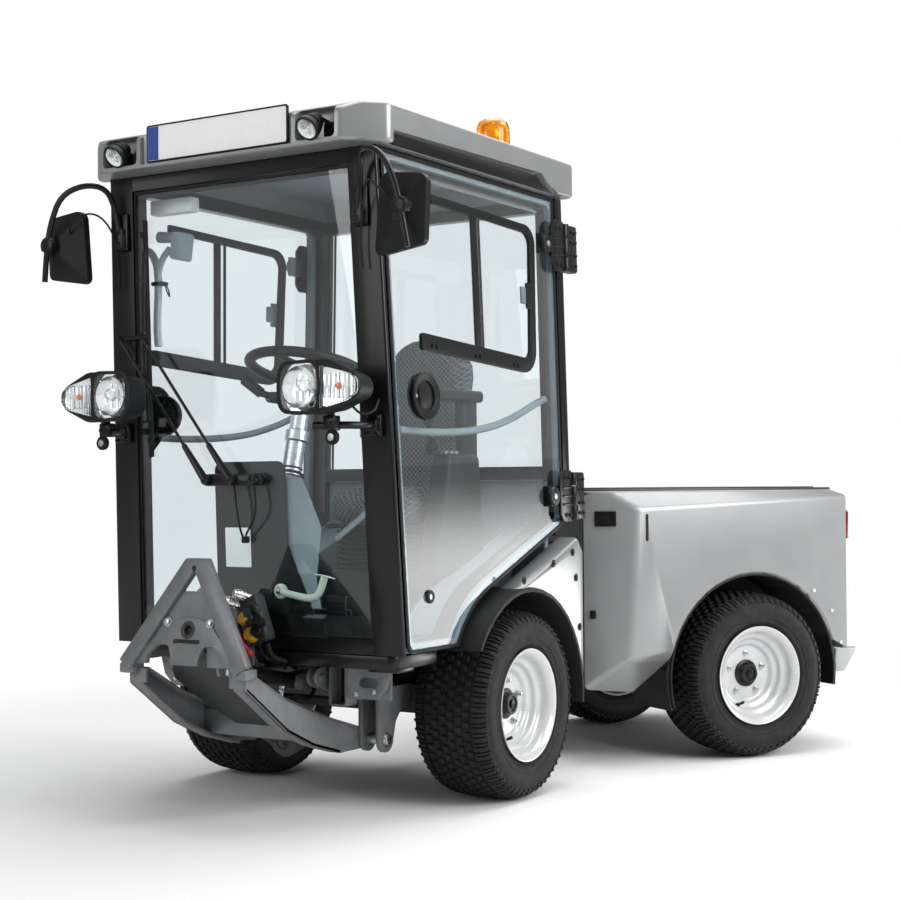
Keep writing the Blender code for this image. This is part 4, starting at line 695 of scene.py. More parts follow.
# ------------------------------------------------------------------ wheels
@dataclass
class Wheel:
    """One wheel: a turf tyre on a pressed steel rim, drawn about its hub with its outside to +X.

    Attributes:
        corner: Which wheel, such as "front_left".
        tyre_radius: Over the tread's lugs.
        tyre_width: Over the side walls.
        lugs: Lugs in one ring of the tread.
        lug_height: From the tread's ground to a lug's top.
        disc_x: Outer face of the rim's disc, from the wheel's middle plane.
    """

    corner: str
    tyre_radius: float = 0.288
    tyre_width: float = 0.256
    lugs: int = 58
    lug_height: float = 0.0085
    disc_x: float = 0.038

    def place(self) -> Matrix:
        """Returns where this wheel stands, turned so that its outside faces away from the machine."""
        half = DATUM.rear if self.corner.startswith("rear") else DATUM.front
        out = Matrix.Rotation(math.pi, 4, "Z") if self.corner.endswith("right") else Matrix.Identity(4)
        middle = box_middle("tyre_" + self.corner)
        return Matrix.Translation(middle) @ half.to_3x3().to_4x4() @ out

    def crown(self, x: float) -> float:
        """Returns the radius of the lugs' tops at a distance from the middle plane."""
        return self.tyre_radius - 0.00025 - 0.55 * x * x - 9.0 * x ** 4

    def carcass(self) -> bpy.types.Object:
        """Turns the tyre's body: tread ground, shoulders, side walls with rings, and beads."""
        half, top = self.tyre_width / 2, self.lug_height
        side = [(0.000, self.crown(0.0) - top), (0.040, self.crown(0.04) - top), (0.075, self.crown(0.075) - top),
                (0.100, self.crown(0.10) - top), (half - 0.014, self.tyre_radius - 0.021),
                (half - 0.0065, self.tyre_radius - 0.032), (half - 0.0045, self.tyre_radius - 0.036),
                (half - 0.0040, self.tyre_radius - 0.038), (half - 0.0015, self.tyre_radius - 0.042),
                (half - 0.0003, self.tyre_radius - 0.056), (half - 0.0005, self.tyre_radius - 0.070),
                (half - 0.0022, self.tyre_radius - 0.080), (half - 0.0012, self.tyre_radius - 0.0815),
                (half - 0.0012, self.tyre_radius - 0.084), (half - 0.0030, self.tyre_radius - 0.0855),
                (half - 0.0060, self.tyre_radius - 0.096), (half - 0.0050, self.tyre_radius - 0.098),
                (half - 0.0050, self.tyre_radius - 0.101), (half - 0.0080, self.tyre_radius - 0.103),
                (half - 0.0140, 0.1735), (half - 0.034, 0.160)]
        profile = side + [(-x, r) for x, r in reversed(side[1:])]
        return turn(trace("carcass", [(x, 0, r) for x, r in profile]), (1, 0, 0), steps=96)

    def knob(self, x: float, angle: float, width: float, length: float) -> bpy.types.Object:
        """Makes one tread lug: a small block with a narrower top, leant to the tread's curve."""
        radius = self.crown(x)
        lug = block("lug", (x - width / 2, -length / 2, radius - self.lug_height - 0.003),
                    (x + width / 2, length / 2, radius))
        taper(lug, lambda middle, normal: normal.z > 0.9, (0.74, 0.74, 1), (x, 0, radius))
        swing(lug, -math.atan(1.1 * x + 36 * x ** 3), "Y", (x, 0, radius))
        lug.rotation_euler.x = angle
        return settle(lug)

    def shoulder(self, angle: float, reach: float, length: float) -> bpy.types.Object:
        """Makes a shoulder lug that runs over the tread's edge on to the side wall."""
        half, radius = self.tyre_width / 2, self.tyre_radius
        outline = [(0.086, self.crown(0.086)), (half - 0.0235, radius - 0.0100), (half - 0.0120, radius - 0.0165),
                   (half - 0.0030, radius - reach + 0.006), (half - 0.0040, radius - reach),
                   (half - 0.02, radius - 0.034), (0.086, self.crown(0.086) - 0.013)]
        lug = push(trace("shoulder", [(x, -length / 2, r) for x, r in outline]), (0, length, 0))
        taper(lug, lambda middle, normal: abs(normal.y) < 0.5 and middle.z > radius - 0.02, (1, 0.72, 1), (0, 0, 0))
        lug.rotation_euler.x = angle
        return settle(lug)

    def tyre(self) -> bpy.types.Object:
        """Builds the tyre with its rings of knobs and shoulder lugs."""
        pitch = math.tau / self.lugs
        knobs = []
        for row in range(6):
            x = -0.0675 + 0.027 * row
            knobs.append(self.knob(x, pitch / 2 * (row % 2), 0.0205, 0.0195))
        for side in (Matrix.Identity(4), MIRROR):
            knobs.append(twin(self.shoulder(0.0, 0.034, 0.0165), side))
            knobs.append(twin(self.shoulder(pitch / 2, 0.027, 0.0095), side))
        for spare in [o for o in bpy.data.objects if o.name.startswith("shoulder") and o not in knobs]:
            bpy.data.objects.remove(spare)
        tread = repeat_round(gather("tread", knobs), (1, 0, 0), self.lugs)
        return gather("tyre", [self.carcass(), tread])

    def rim(self) -> bpy.types.Object:
        """Turns the pressed rim: flange, bead seat, stepped bowl and the dished disc."""
        half, x = self.tyre_width / 2, self.disc_x
        profile = [(half - 0.0055, 0.1660), (half - 0.0040, 0.1690), (half - 0.0040, 0.1712), (half - 0.0065, 0.1718),
                   (half - 0.0110, 0.1690), (half - 0.034, 0.1560), (-half + 0.034, 0.1560), (-half + 0.006, 0.1718),
                   (-half + 0.006, 0.1650), (-half + 0.040, 0.1480), (x - 0.0060, 0.1220), (x - 0.006, 0.0),
                   (x, 0.0), (x, 0.0900), (x + 0.0015, 0.0960), (x + 0.0075, 0.1010), (x + 0.0135, 0.1040),
                   (x + 0.0165, 0.1090), (x + 0.0185, 0.1180), (x + 0.0230, 0.1225), (x + 0.0300, 0.1240),
                   (x + 0.0360, 0.1265), (x + 0.0400, 0.1330), (x + 0.0420, 0.1410), (x + 0.0480, 0.1455),
                   (x + 0.0600, 0.1475), (x + 0.0700, 0.1500), (half - 0.0120, 0.1580)]
        return turn(trace("rim", [(a, 0, r) for a, r in profile]), (1, 0, 0), steps=72)

    def hub(self) -> bpy.types.Object:
        """Turns the black hub that stands through the disc, with its stub and grease cap."""
        x = self.disc_x
        profile = [(x - 0.004, 0.0), (x - 0.004, 0.047), (x + 0.004, 0.047), (x + 0.006, 0.045), (x + 0.007, 0.037),
                   (x + 0.012, 0.034), (x + 0.024, 0.0335), (x + 0.0265, 0.031), (x + 0.0265, 0.024),
                   (x + 0.022, 0.022), (x + 0.022, 0.013), (x + 0.0285, 0.0115), (x + 0.0295, 0.0)]
        return turn(trace("hub", [(a, 0, r) for a, r in profile]), (1, 0, 0), steps=40)

    def studs(self) -> bpy.types.Object:
        """Makes the five wheel studs, each with its washer, nut and thread end."""
        x, circle = self.disc_x, 0.072
        washer = bar("washer", (x, 0, circle), (x + 0.0025, 0, circle), 0.0125, 0.0115, 20)
        nut = bar("nut", (x + 0.002, 0, circle), (x + 0.013, 0, circle), 0.0098, 0.0092, 6, 0.0008)
        thread = bar("thread", (x + 0.012, 0, circle), (x + 0.020, 0, circle), 0.0058, 0.0048, 14, 0.0006)
        return repeat_round(gather("studs", [washer, nut, thread]), (1, 0, 0), 5)

    def valve(self) -> bpy.types.Object:
        """Makes the snap-in rubber valve on the bowl's wall."""
        foot = Vector((self.disc_x + 0.020, -0.052, -0.108))
        along = Vector((0.85, 0.16, 0.38)).normalized()
        return lathe("valve", [(0, 0), (0.0075, 0), (0.0075, 0.004), (0.005, 0.008), (0.0045, 0.022), (0.0052, 0.024),
                               (0.0052, 0.033), (0.0, 0.034)], foot, along, 16)

    def build(self) -> None:
        """Builds the wheel and hangs it on its body."""
        place, body = self.place(), "wheel_" + self.corner
        install(self.tyre(), "tyre_tread_" + self.corner, TYRE_RUBBER, body, place, 30,
                ["tyre_" + self.corner])
        install(self.rim(), "rim_disc_" + self.corner, WHEEL_ENAMEL, body, place, 40,
                ["rim_" + self.corner])
        install(self.hub(), "hub_" + self.corner, BLACK_COAT, body, place)
        install(self.studs(), "studs_" + self.corner, ZINC_PLATE, body, place)
        install(self.valve(), "valve_" + self.corner, SEAL_RUBBER, body, place)


# ------------------------------------------------------------------ shared shapes
def rounded(corners: Sequence[tuple[float, float, float]], steps: int = 5) -> list[tuple[float, float]]:
    """Rounds the corners of a flat outline.

    Args:
        corners: Places and radii; a corner with no radius stays sharp.
        steps: Edges in each rounding.

    Returns:
        The outline's points.
    """
    points: list[tuple[float, float]] = []
    for i, (u, v, radius) in enumerate(corners):
        if radius <= 0:
            points.append((u, v))
            continue
        here = Vector((u, v))
        before = (Vector(corners[i - 1][:2]) - here).normalized()
        after = (Vector(corners[(i + 1) % len(corners)][:2]) - here).normalized()
        half = before.angle(after) / 2
        middle = here + (before + after).normalized() * radius / math.sin(half)
        first = here + before * radius / math.tan(half) - middle
        last = here + after * radius / math.tan(half) - middle
        sweep = first.angle_signed(last)
        points += [tuple(middle + Matrix.Rotation(-sweep * k / steps, 2) @ first) for k in range(steps + 1)]
    return points


def arc(centre: tuple[float, float], radius: float, start: float, end: float, steps: int) -> list[tuple[float, float]]:
    """Returns the points of an arc, with its angles in degrees."""
    turns = [math.radians(start + (end - start) * i / steps) for i in range(steps + 1)]
    return [(centre[0] + radius * math.cos(t), centre[1] + radius * math.sin(t)) for t in turns]


def side_plate(name: str, outline: Sequence[tuple[float, float]], near: float, far: float) -> bpy.types.Object:
    """Pushes an outline of (y, z) along X between two places."""
    return push(trace(name, [(near, y, z) for y, z in outline]), (far - near, 0, 0))


def front_plate(name: str, outline: Sequence[tuple[float, float]], near: float, far: float) -> bpy.types.Object:
    """Pushes an outline of (x, z) along Y between two places."""
    return push(trace(name, [(x, near, z) for x, z in outline]), (0, far - near, 0))


def flat_plate(name: str, outline: Sequence[tuple[float, float]], near: float, far: float) -> bpy.types.Object:
    """Pushes an outline of (x, y) along Z between two heights."""
    return push(trace(name, [(x, y, near) for x, y in outline]), (0, 0, far - near))


def hex_bolt(place: Point, axis: Point, across: float = 0.013, height: float = 0.007) -> bpy.types.Object:
    """Makes a hexagon bolt head on its washer, standing on place along axis."""
    place, axis = Vector(place), Vector(axis).normalized()
    washer = bar("washer", place, place + axis * 0.0015, across * 0.75, across * 0.72, 20)
    head = bar("head", place + axis * 0.001, place + axis * height, across / 2 * 1.155, None, 6, 0.0008)
    return gather("bolt", [washer, head])


def socket_screw(place: Point, axis: Point, radius: float = 0.006) -> bpy.types.Object:
    """Makes a round screw head with a socket in it."""
    place, axis = Vector(place), Vector(axis).normalized()
    return lathe("screw", [(0, 0), (radius, 0), (radius, radius * 0.55), (radius * 0.85, radius * 0.75),
                           (radius * 0.5, radius * 0.75), (radius * 0.42, radius * 0.3), (0, radius * 0.3)],
                 place, axis, 14)


def side_name(side: int) -> str:
    """Returns "left" for 1 and "right" for -1."""
    return "left" if side > 0 else "right"


def paint_where(obj: bpy.types.Object, finish: Finish, test: Callable[[Vector, Vector], bool]) -> None:
    """Gives some faces of a finished piece a second finish.

    Args:
        obj: The piece, already in the row frame.
        finish: The second finish.
        test: Takes a face's middle and normal and says whether it changes.
    """
    obj.data.materials.append(finish.material())
    index = len(obj.data.materials) - 1
    for face in obj.data.polygons:
        if test(face.center, face.normal):
            face.material_index = index


def pair(obj: bpy.types.Object, name: str, finish: Finish, body: str, place: Matrix,
         smooth: float = 38.0, stands_for: str = "") -> None:
    """Installs a piece of the left side and its mirror image on the right.

    Args:
        obj: The left piece.
        name: Its name, to which the side is added.
        finish: What it is made of.
        body: The body, with the side left out where each side has its own.
        place: Where its half stands.
        smooth: Angle in degrees over which an edge stays sharp.
        stands_for: CAD node that it replaces, without its side.
    """
    other = twin(obj, MIRROR)
    for piece, side in ((obj, "left"), (other, "right")):
        install(piece, f"{name}_{side}", finish, body + side if body.endswith("_") else body, place, smooth,
                [f"{stands_for}_{side}"] if stands_for else ())


@dataclass(frozen=True)
class CabShape:
    """The leaning box of the cab, which its panes, doors and trims follow."""

    side_x: float = 0.531
    side_lean: float = 0.0262
    front_y: float = -0.600
    front_lean: float = 0.0502
    rear_y: float = 0.402
    sill_z: float = 0.486
    top_z: float = 1.900
    axle_z: float = 0.288
    slope: float = math.radians(20.6)
    door_arch: float = 0.385

    def point(self, x: float, y: float, z: float) -> Vector:
        """Returns where a point of the upright box ends up."""
        rise = z - self.sill_z
        share = (self.rear_y - y) / (self.rear_y - self.front_y)
        return Vector((x * (1 - self.side_lean * rise / self.side_x), y - self.front_lean * rise * share, z))

    def lean(self, obj: bpy.types.Object) -> bpy.types.Object:
        """Moves a piece drawn in the upright box to the leaning one, and returns it."""
        for vertex in obj.data.vertices:
            vertex.co = self.point(*vertex.co)
        return obj

    def side(self, front: float, foot: float, radius: float, back: float, top: float, corner: float,
             corner_top: float = 0.0) -> list[tuple[float, float]]:
        """Returns the cab's side outline: foot, wheel arch, slope and roof line.

        Args:
            front: Y of its front edge.
            foot: Z of its lower edge.
            radius: Of the arch about the axle.
            back: Y of its rear edge.
            top: Z of its upper edge.
            corner: Rounding at the foot and at the end of the slope.
            corner_top: Rounding at both ends of the top.
        """
        first = 180 - math.degrees(math.asin((foot - self.axle_z) / radius))
        curve = arc((0.0, self.axle_z), radius, first, 90 + math.degrees(self.slope), 16)
        meet = self.axle_z + radius / math.cos(self.slope) + back * math.tan(self.slope)
        return rounded([(front, top, corner_top), (front, foot, corner)] + [(y, z, 0.0) for y, z in curve]
                       + [(back, meet, corner), (back, top, corner_top)])


CAB = CabShape()


# ------------------------------------------------------------------ cab
@dataclass
class Roof:
    """Vacuum-formed roof cap with its sign, work lamps, rotating lamp and headliner."""

    side_x: float = 0.541
    rear_y: float = 0.412
    corner_y: float = -0.684
    nose_y: float = -0.772
    low: float = 1.9003
    top: float = 2.012
    plate_half: float = 0.260
    lamp_x: float = 0.354

    def shell(self) -> bpy.types.Object:
        """Shapes the cap: chamfered nose, sign recess, lamp niches and stepped skirts."""
        x, nose = self.side_x, self.nose_y - 0.010
        outline = rounded([(-x, self.rear_y, 0.03), (-x, self.corner_y, 0.03), (-0.44, nose, 0.03),
                           (0.44, nose, 0.03), (x, self.corner_y, 0.03), (x, self.rear_y, 0.03)], 6)
        cap = flat_plate("cap", outline, self.low, self.top)
        wedge = side_plate("wedge", [(nose - 0.02, self.top - 0.032), (nose + 0.05, self.top + 0.001),
                                     (nose + 0.05, self.top + 0.04), (nose - 0.02, self.top + 0.04)], -0.7, 0.7)
        cap = ease(carve(cap, wedge), 0.012, 4, 24)
        hollow = block("hollow", (-x + 0.10, CAB.front_y + 0.02, self.low - 0.02),
                       (x - 0.10, CAB.rear_y - 0.04, self.top - 0.03))
        recess = block("recess", (-self.plate_half - 0.018, nose - 0.02, self.low + 0.009),
                       (self.plate_half + 0.018, self.nose_y + 0.006, self.top + 0.02), 0.004)
        tools = [hollow, recess]
        skirt = rounded([(self.corner_y + 0.020, self.low - 0.02, 0), (self.corner_y + 0.020, self.low + 0.036, 0.01),
                         (self.rear_y - 0.232, self.low + 0.050, 0.02), (self.rear_y - 0.177, self.low + 0.019, 0.02),
                         (self.rear_y - 0.024, self.low - 0.02, 0)], 4)
        for side in (1, -1):
            tools.append(block("niche", (side * (self.lamp_x - 0.062), nose - 0.02, self.low + 0.012),
                               (side * (self.lamp_x + 0.071), self.nose_y + 0.055, self.top - 0.012), 0.012, 3))
            tools.append(side_plate("under", skirt, side * (x - 0.026), side * (x + 0.02)))
        return carve(cap, *tools)

    def gasket(self, side: int) -> bpy.types.Object:
        """Makes the black header strip that shows under a stepped skirt."""
        strip = [(self.corner_y + 0.024, self.low + 0.001), (self.corner_y + 0.024, self.low + 0.033),
                 (self.rear_y - 0.234, self.low + 0.046), (self.rear_y - 0.181, self.low + 0.016),
                 (self.rear_y - 0.080, self.low + 0.001)]
        return ease(side_plate("gasket", strip, side * (self.side_x - 0.0265), side * (self.side_x - 0.020)), 0.002)

    def work_lamp(self, side: int) -> None:
        """Builds one round finned work lamp, tipped down on its bracket."""
        foot = Vector((side * self.lamp_x, self.nose_y - 0.014, self.low + 0.052))
        axis = Vector((-0.05, -0.80, -0.60)).normalized()
        fins = [(0.0, -0.034), (0.012, -0.034), (0.014, -0.030)]
        for i in range(5):
            z = -0.028 + 0.008 * i
            fins += [(0.021 + 0.0030 * i, z), (0.021 + 0.0030 * i, z + 0.003), (0.016 + 0.0030 * i, z + 0.0035),
                     (0.016 + 0.0030 * i, z + 0.0075)]
        fins += [(0.0345, 0.014), (0.0355, 0.017), (0.0355, 0.030), (0.0335, 0.032), (0.0305, 0.032), (0.0300, 0.026),
                 (0.0, 0.022)]
        body = lathe("work_lamp", fins, foot, axis, 40)
        stem = pipe("stem", [foot - axis * 0.025, foot - axis * 0.03 + Vector((side * 0.012, 0.02, 0)),
                             (side * (self.lamp_x + 0.03), self.nose_y + 0.050, self.low + 0.045)], 0.006, 1)
        bracket = block("bracket", (side * (self.lamp_x + 0.006), self.nose_y + 0.028, self.low + 0.022),
                        (side * (self.lamp_x + 0.062), self.nose_y + 0.054, self.low + 0.062), 0.005, 2)
        name = side_name(side)
        install(gather("lamp", [body, stem, bracket]), "work_lamp_" + name, GRAINED_BLACK, "front",
                DATUM.front, 30)
        bowl = lathe("bowl", [(0.0, 0.0235), (0.012, 0.0240), (0.0285, 0.0290), (0.0285, 0.0275), (0.0, 0.0225)], foot,
                     axis, 32)
        install(bowl, "work_lamp_reflector_" + name, REFLECTOR, "front", DATUM.front)
        lens = lathe("lens", [(0.0, 0.0300), (0.0295, 0.0290), (0.0295, 0.0305), (0.015, 0.0322), (0.0, 0.0326)], foot,
                     axis, 32)
        install(lens, "work_lamp_lens_" + name, CLEAR_LENS, "front", DATUM.front)

    def sign(self) -> None:
        """Builds the blank sign: black holder, white sheet and plain blue end band."""
        half, back = self.plate_half, self.nose_y + 0.006
        low, high = self.low + 0.0127, self.top + 0.011
        outer = rounded([(-half, low, 0.008), (half, low, 0.008), (half, high, 0.008), (-half, high, 0.008)])
        inner = rounded([(-half + 0.005, low + 0.005, 0.006), (half - 0.005, low + 0.005, 0.006),
                         (half - 0.005, high - 0.005, 0.006), (-half + 0.005, high - 0.005, 0.006)])
        holder = carve(front_plate("holder", outer, back - 0.0003, back - 0.008),
                       front_plate("pocket", inner, back - 0.0055, back - 0.02))
        install(ease(holder, 0.0008), "sign_holder", GRAINED_BLACK, "front", DATUM.front, 38,
                ["number_plate"])
        sheet = front_plate("sheet", inner, back - 0.0054, back - 0.0068)
        install(sheet, "blank_sign", PLATE_SHEET, "front", DATUM.front)
        band = rounded([(-half + 0.006, low + 0.006, 0.005), (-half + 0.046, low + 0.006, 0),
                        (-half + 0.046, high - 0.006, 0), (-half + 0.006, high - 0.006, 0.005)])
        install(front_plate("band", band, back - 0.0067, back - 0.0072), "blank_sign_band", PLATE_BLUE, "front",
                DATUM.front)

    def rotating_lamp(self) -> None:
        """Builds the amber rotating lamp with its base, dome and inner mirror."""
        foot = Vector((0.40, 0.119, self.top + GAP))
        base = lathe("base", [(0.0, 0.0), (0.060, 0.0), (0.060, 0.010), (0.057, 0.014), (0.057, 0.021), (0.0, 0.021)],
                     foot, (0, 0, 1))
        install(base, "beacon_base", GRAINED_BLACK, "front", DATUM.front, 30)
        dome = lathe("dome", [(0.0535, 0.0212), (0.0535, 0.060), (0.0520, 0.086), (0.0455, 0.103), (0.0340, 0.1103),
                              (0.0, 0.1116), (0.0, 0.109), (0.0330, 0.1075), (0.0435, 0.100), (0.0492, 0.084),
                              (0.0505, 0.060), (0.0505, 0.0212)], foot, (0, 0, 1), 64)
        install(dome, "beacon_dome", AMBER_LENS, "front", DATUM.front, 50, ["beacon"])
        mirror = lathe("mirror", [(0.0, 0.022), (0.030, 0.022), (0.032, 0.030), (0.026, 0.060), (0.018, 0.078),
                                  (0.0, 0.080)], foot, (0, 0, 1), 8)
        install(mirror, "beacon_mirror", REFLECTOR, "front", DATUM.front, 20)

    def headliner(self) -> None:
        """Builds the headliner with a speaker, a roof light and the duct above the windscreen."""
        board = block("board", (-0.438, -0.576, self.top - 0.042), (0.438, 0.358, self.top - 0.0305), 0.003)
        install(board, "headliner_board", HEADLINER, "front", DATUM.front)
        speaker = lathe("speaker", [(0, 0), (0.060, 0), (0.060, -0.006), (0.052, -0.009), (0.050, -0.004), (0, -0.004)],
                        (0.24, -0.30, self.top - 0.0425), (0, 0, 1))
        install(speaker, "roof_speaker", GRAINED_BLACK, "front", DATUM.front)
        light = block("light", (-0.06, -0.50, self.top - 0.056), (0.06, -0.45, self.top - 0.0422), 0.004)
        install(light, "roof_light", CAB_TRIM, "front", DATUM.front)
        header = block("duct", (-0.40, -0.586, 1.870), (0.40, -0.500, 1.930), 0.012, 3)
        install(header, "front_header_duct", HEADLINER, "front", DATUM.front)

    def build(self) -> None:
        """Builds the roof and everything on it."""
        install(self.shell(), "roof_cap", SILVER_PANEL, "front", DATUM.front, 30, ["cab_roof"])
        for side in (1, -1):
            install(self.gasket(side), "roof_gasket_" + side_name(side), BLACK_COAT, "front",
                    DATUM.front)
            self.work_lamp(side)
        self.sign()
        self.rotating_lamp()
        self.headliner()


@dataclass
class Screen:
    """Windscreen with its printed border, the rear window, and the cab's black frame."""

    half: float = 0.4305
    low: float = 0.5315
    high: float = 1.8555

    def border(self) -> bpy.types.Object:
        """Makes the border printed on the windscreen, as a thin sheet behind the glass."""
        y = CAB.front_y + 0.0026
        outer = [(-self.half, self.low), (self.half, self.low), (self.half, self.high), (-self.half, self.high)]
        low, high, edge = self.low + 0.062, self.high - 0.022, self.half - 0.006
        inner = rounded([(-edge, low, 0.035), (edge, low, 0.035), (edge, high, 0.02), (-edge, high, 0.02)], 8)
        sheet = carve(front_plate("border", outer, y, y + 0.0012), front_plate("pane", inner, y - 0.01, y + 0.01))
        return CAB.lean(sheet)

    def seal(self) -> bpy.types.Object:
        """Makes the rubber seal round the windscreen's edge."""
        y = CAB.front_y - 0.0045
        outer = rounded([(-self.half, self.low, 0.01), (self.half, self.low, 0.01), (self.half, self.high, 0.01),
                         (-self.half, self.high, 0.01)])
        gap = 0.009
        inner = rounded([(-self.half + gap, self.low + gap, 0.008), (self.half - gap, self.low + gap, 0.008),
                         (self.half - gap, self.high - gap, 0.008), (-self.half + gap, self.high - gap, 0.008)])
        ring = carve(front_plate("seal", outer, y, y - 0.003), front_plate("inside", inner, y + 0.01, y - 0.01))
        return CAB.lean(ease(ring, 0.001))

    def build(self) -> None:
        """Builds frame and panes."""
        install(recast("cab_frame", 0.003, 3), "cab_frame_coated", BLACK_COAT, "front", None, 34,
                ["cab_frame"])
        install(recast("windscreen"), "windscreen_pane", CAB_GLASS, "front", None, 30, ["windscreen"])
        install(recast("rear_window"), "rear_window_pane", CAB_GLASS, "front", None, 30, ["rear_window"])
        install(self.border(), "windscreen_border", GRAINED_BLACK, "front", DATUM.front)
        install(self.seal(), "windscreen_seal", SEAL_RUBBER, "front", DATUM.front)


@dataclass
class Door:
    """One cab door: glass with its seal, inner frame, sliding window, handle, hinges and grab rail."""

    side: str
    front: float = -0.594
    back: float = 0.343
    foot: float = 0.492
    top: float = 1.894
    hinge_bands: tuple[tuple[float, float], ...] = ((0.845, 1.000), (1.660, 1.815))

    def fit(self, obj: bpy.types.Object, name: str, finish: Finish, smooth: float = 38.0,
            body: str = "", stands_for: str = "") -> bpy.types.Object:
        """Installs a piece drawn for the left door on this door.

        Args:
            obj: The piece, drawn in the upright cab.
            name: Its name, to which the side is added.
            finish: What it is made of.
            smooth: Angle in degrees over which an edge stays sharp.
            body: Another body than the door's.
            stands_for: CAD node that it replaces, without its side.
        """
        CAB.lean(obj)
        if self.side == "right":
            mirrored = twin(obj, MIRROR)
            bpy.data.objects.remove(obj)
            obj = mirrored
        return install(obj, f"{name}_{self.side}", finish, body or "door_" + self.side, DATUM.front, smooth,
                       [f"{stands_for}_{self.side}"] if stands_for else ())

    def seal(self) -> bpy.types.Object:
        """Makes the dark rubber lip round the door glass."""
        outer = CAB.side(self.front + 0.0005, self.foot + 0.0005, CAB.door_arch + 0.0005, self.back - 0.0005,
                         self.top - 0.0005, 0.03)
        gap = 0.011
        inner = CAB.side(self.front + gap, self.foot + gap, CAB.door_arch + gap, self.back - gap, self.top - gap, 0.022)
        ring = carve(side_plate("lip", outer, CAB.side_x + GAP, CAB.side_x + 0.0030),
                     side_plate("inside", inner, CAB.side_x - 0.01, CAB.side_x + 0.02))
        return ease(ring, 0.0008)

    def border(self) -> bpy.types.Object:
        """Makes the pale sheet behind the glass along the wheel arch."""
        outer = CAB.side(self.front + 0.012, self.foot + 0.012, CAB.door_arch + 0.012, self.back - 0.012,
                         self.top - 0.012, 0.022)
        gap = 0.024
        inner = CAB.side(self.front - 0.1, self.foot + gap, CAB.door_arch + gap, self.back + 0.1, self.top + 0.1, 0.03)
        return carve(side_plate("border", outer, CAB.side_x - 0.0064, CAB.side_x - 0.0074),
                     side_plate("inside", inner, CAB.side_x - 0.02, CAB.side_x + 0.02))

    def pane(self) -> bpy.types.Object:
        """Makes the door's frameless glass."""
        outer = CAB.side(self.front, self.foot, CAB.door_arch, self.back, self.top, 0.03)
        return side_plate("pane", outer, CAB.side_x - 0.006, CAB.side_x)

    def slider(self) -> None:
        """Builds the sliding window: frame open at its front, divider and latch."""
        x = CAB.side_x
        outer = rounded([(-0.362, 1.8000, 0.006), (0.2145, 1.7826, 0.060), (0.1970, 1.3080, 0.075),
                         (-0.446, 1.3455, 0.012), (-0.444, 1.3950, 0.012), (0.1610, 1.3580, 0.030),
                         (0.1820, 1.7560, 0.040), (-0.362, 1.7745, 0.006)], 8)
        frame_piece = ease(side_plate("slider", outer, x - 0.010, x + 0.0055), 0.002)
        slots = []
        for y in (-0.402, -0.378, -0.168, -0.146, 0.052, 0.076):
            z = 1.3620 - 0.0583 * (y + 0.446)
            slots.append(side_plate("slot", rounded([(y, z - 0.008, 0.004), (y + 0.009, z - 0.008, 0.004),
                                                     (y + 0.009, z + 0.008, 0.004), (y, z + 0.008, 0.004)], 3),
                                    x + 0.002, x + 0.02))
        frame_piece = carve(frame_piece, *slots)
        divider = block("divider", (x - 0.009, -0.152, 1.345), (x + 0.002, -0.122, 1.785), 0.002)
        second = block("second", (x - 0.012, -0.108, 1.345), (x - 0.004, -0.100, 1.785), 0.001)
        self.fit(gather("slider", [frame_piece, divider, second]), "slider_frame", GRAINED_BLACK,
                 34, stands_for="sliding_window")
        latch = block("latch", (x - 0.002, 0.118, 1.530), (x + 0.006, 0.150, 1.584), 0.003)
        catch = block("catch", (x + 0.001, 0.146, 1.516), (x + 0.010, 0.176, 1.598), 0.003)
        self.fit(latch, "slider_latch", CAB_TRIM)
        self.fit(catch, "slider_catch", GRAINED_BLACK)

    def handle(self) -> None:
        """Builds the round recessed handle with its pull and screw, and the stop below it."""
        foot = (CAB.side_x + GAP, -0.438, 1.214)
        ring = lathe("ring", [(0.043, 0.0), (0.066, 0.0), (0.068, 0.003), (0.0672, 0.0078), (0.0655, 0.0092),
                              (0.0625, 0.0088), (0.0600, 0.0072), (0.0475, 0.0066), (0.0445, 0.0045)], foot, (1, 0, 0),
                     56)
        cup = lathe("cup", [(0.0, -0.0202), (0.043, -0.018), (0.047, 0.001), (0.0445, 0.0025), (0.040, -0.014),
                            (0.0, -0.016)], foot, (1, 0, 0), 48)
        curve = arc((-0.450, 1.214), 0.034, -82, 82, 8)
        pull = side_plate("pull", rounded([(-0.472, 1.181, 0.012)] + [(y, z, 0) for y, z in curve]
                                          + [(-0.472, 1.247, 0.012)]), CAB.side_x - 0.012, CAB.side_x + 0.0055)
        pull = ease(pull, 0.002, 2, 50)
        boss = lathe("boss", [(0, -0.0285), (0.058, -0.0285), (0.065, -0.022), (0.065, -0.0062), (0, -0.0062)], foot,
                     (1, 0, 0), 48)
        self.fit(boss, "handle_boss", GRAINED_BLACK)
        self.fit(gather("handle", [ring, cup, pull]), "round_handle", GRAINED_BLACK, 34)
        self.fit(socket_screw((CAB.side_x + 0.0085, -0.4945, 1.212), (1, 0, 0), 0.005), "handle_screw", ZINC_PLATE)
        stop = lathe("stop", [(0, 0), (0.019, 0), (0.0195, 0.004), (0.017, 0.008), (0.009, 0.0085), (0.008, 0.005),
                              (0, 0.005)], (CAB.side_x + GAP, -0.470, 0.645), (1, 0, 0), 32)
        self.fit(stop, "door_stop", GRAINED_BLACK)
        core = lathe("core", [(0, 0.005), (0.0075, 0.005), (0.0070, 0.0065), (0, 0.0070)],
                     (CAB.side_x + GAP, -0.470, 0.645), (1, 0, 0), 20)
        self.fit(core, "door_stop_core", ZINC_PLATE)

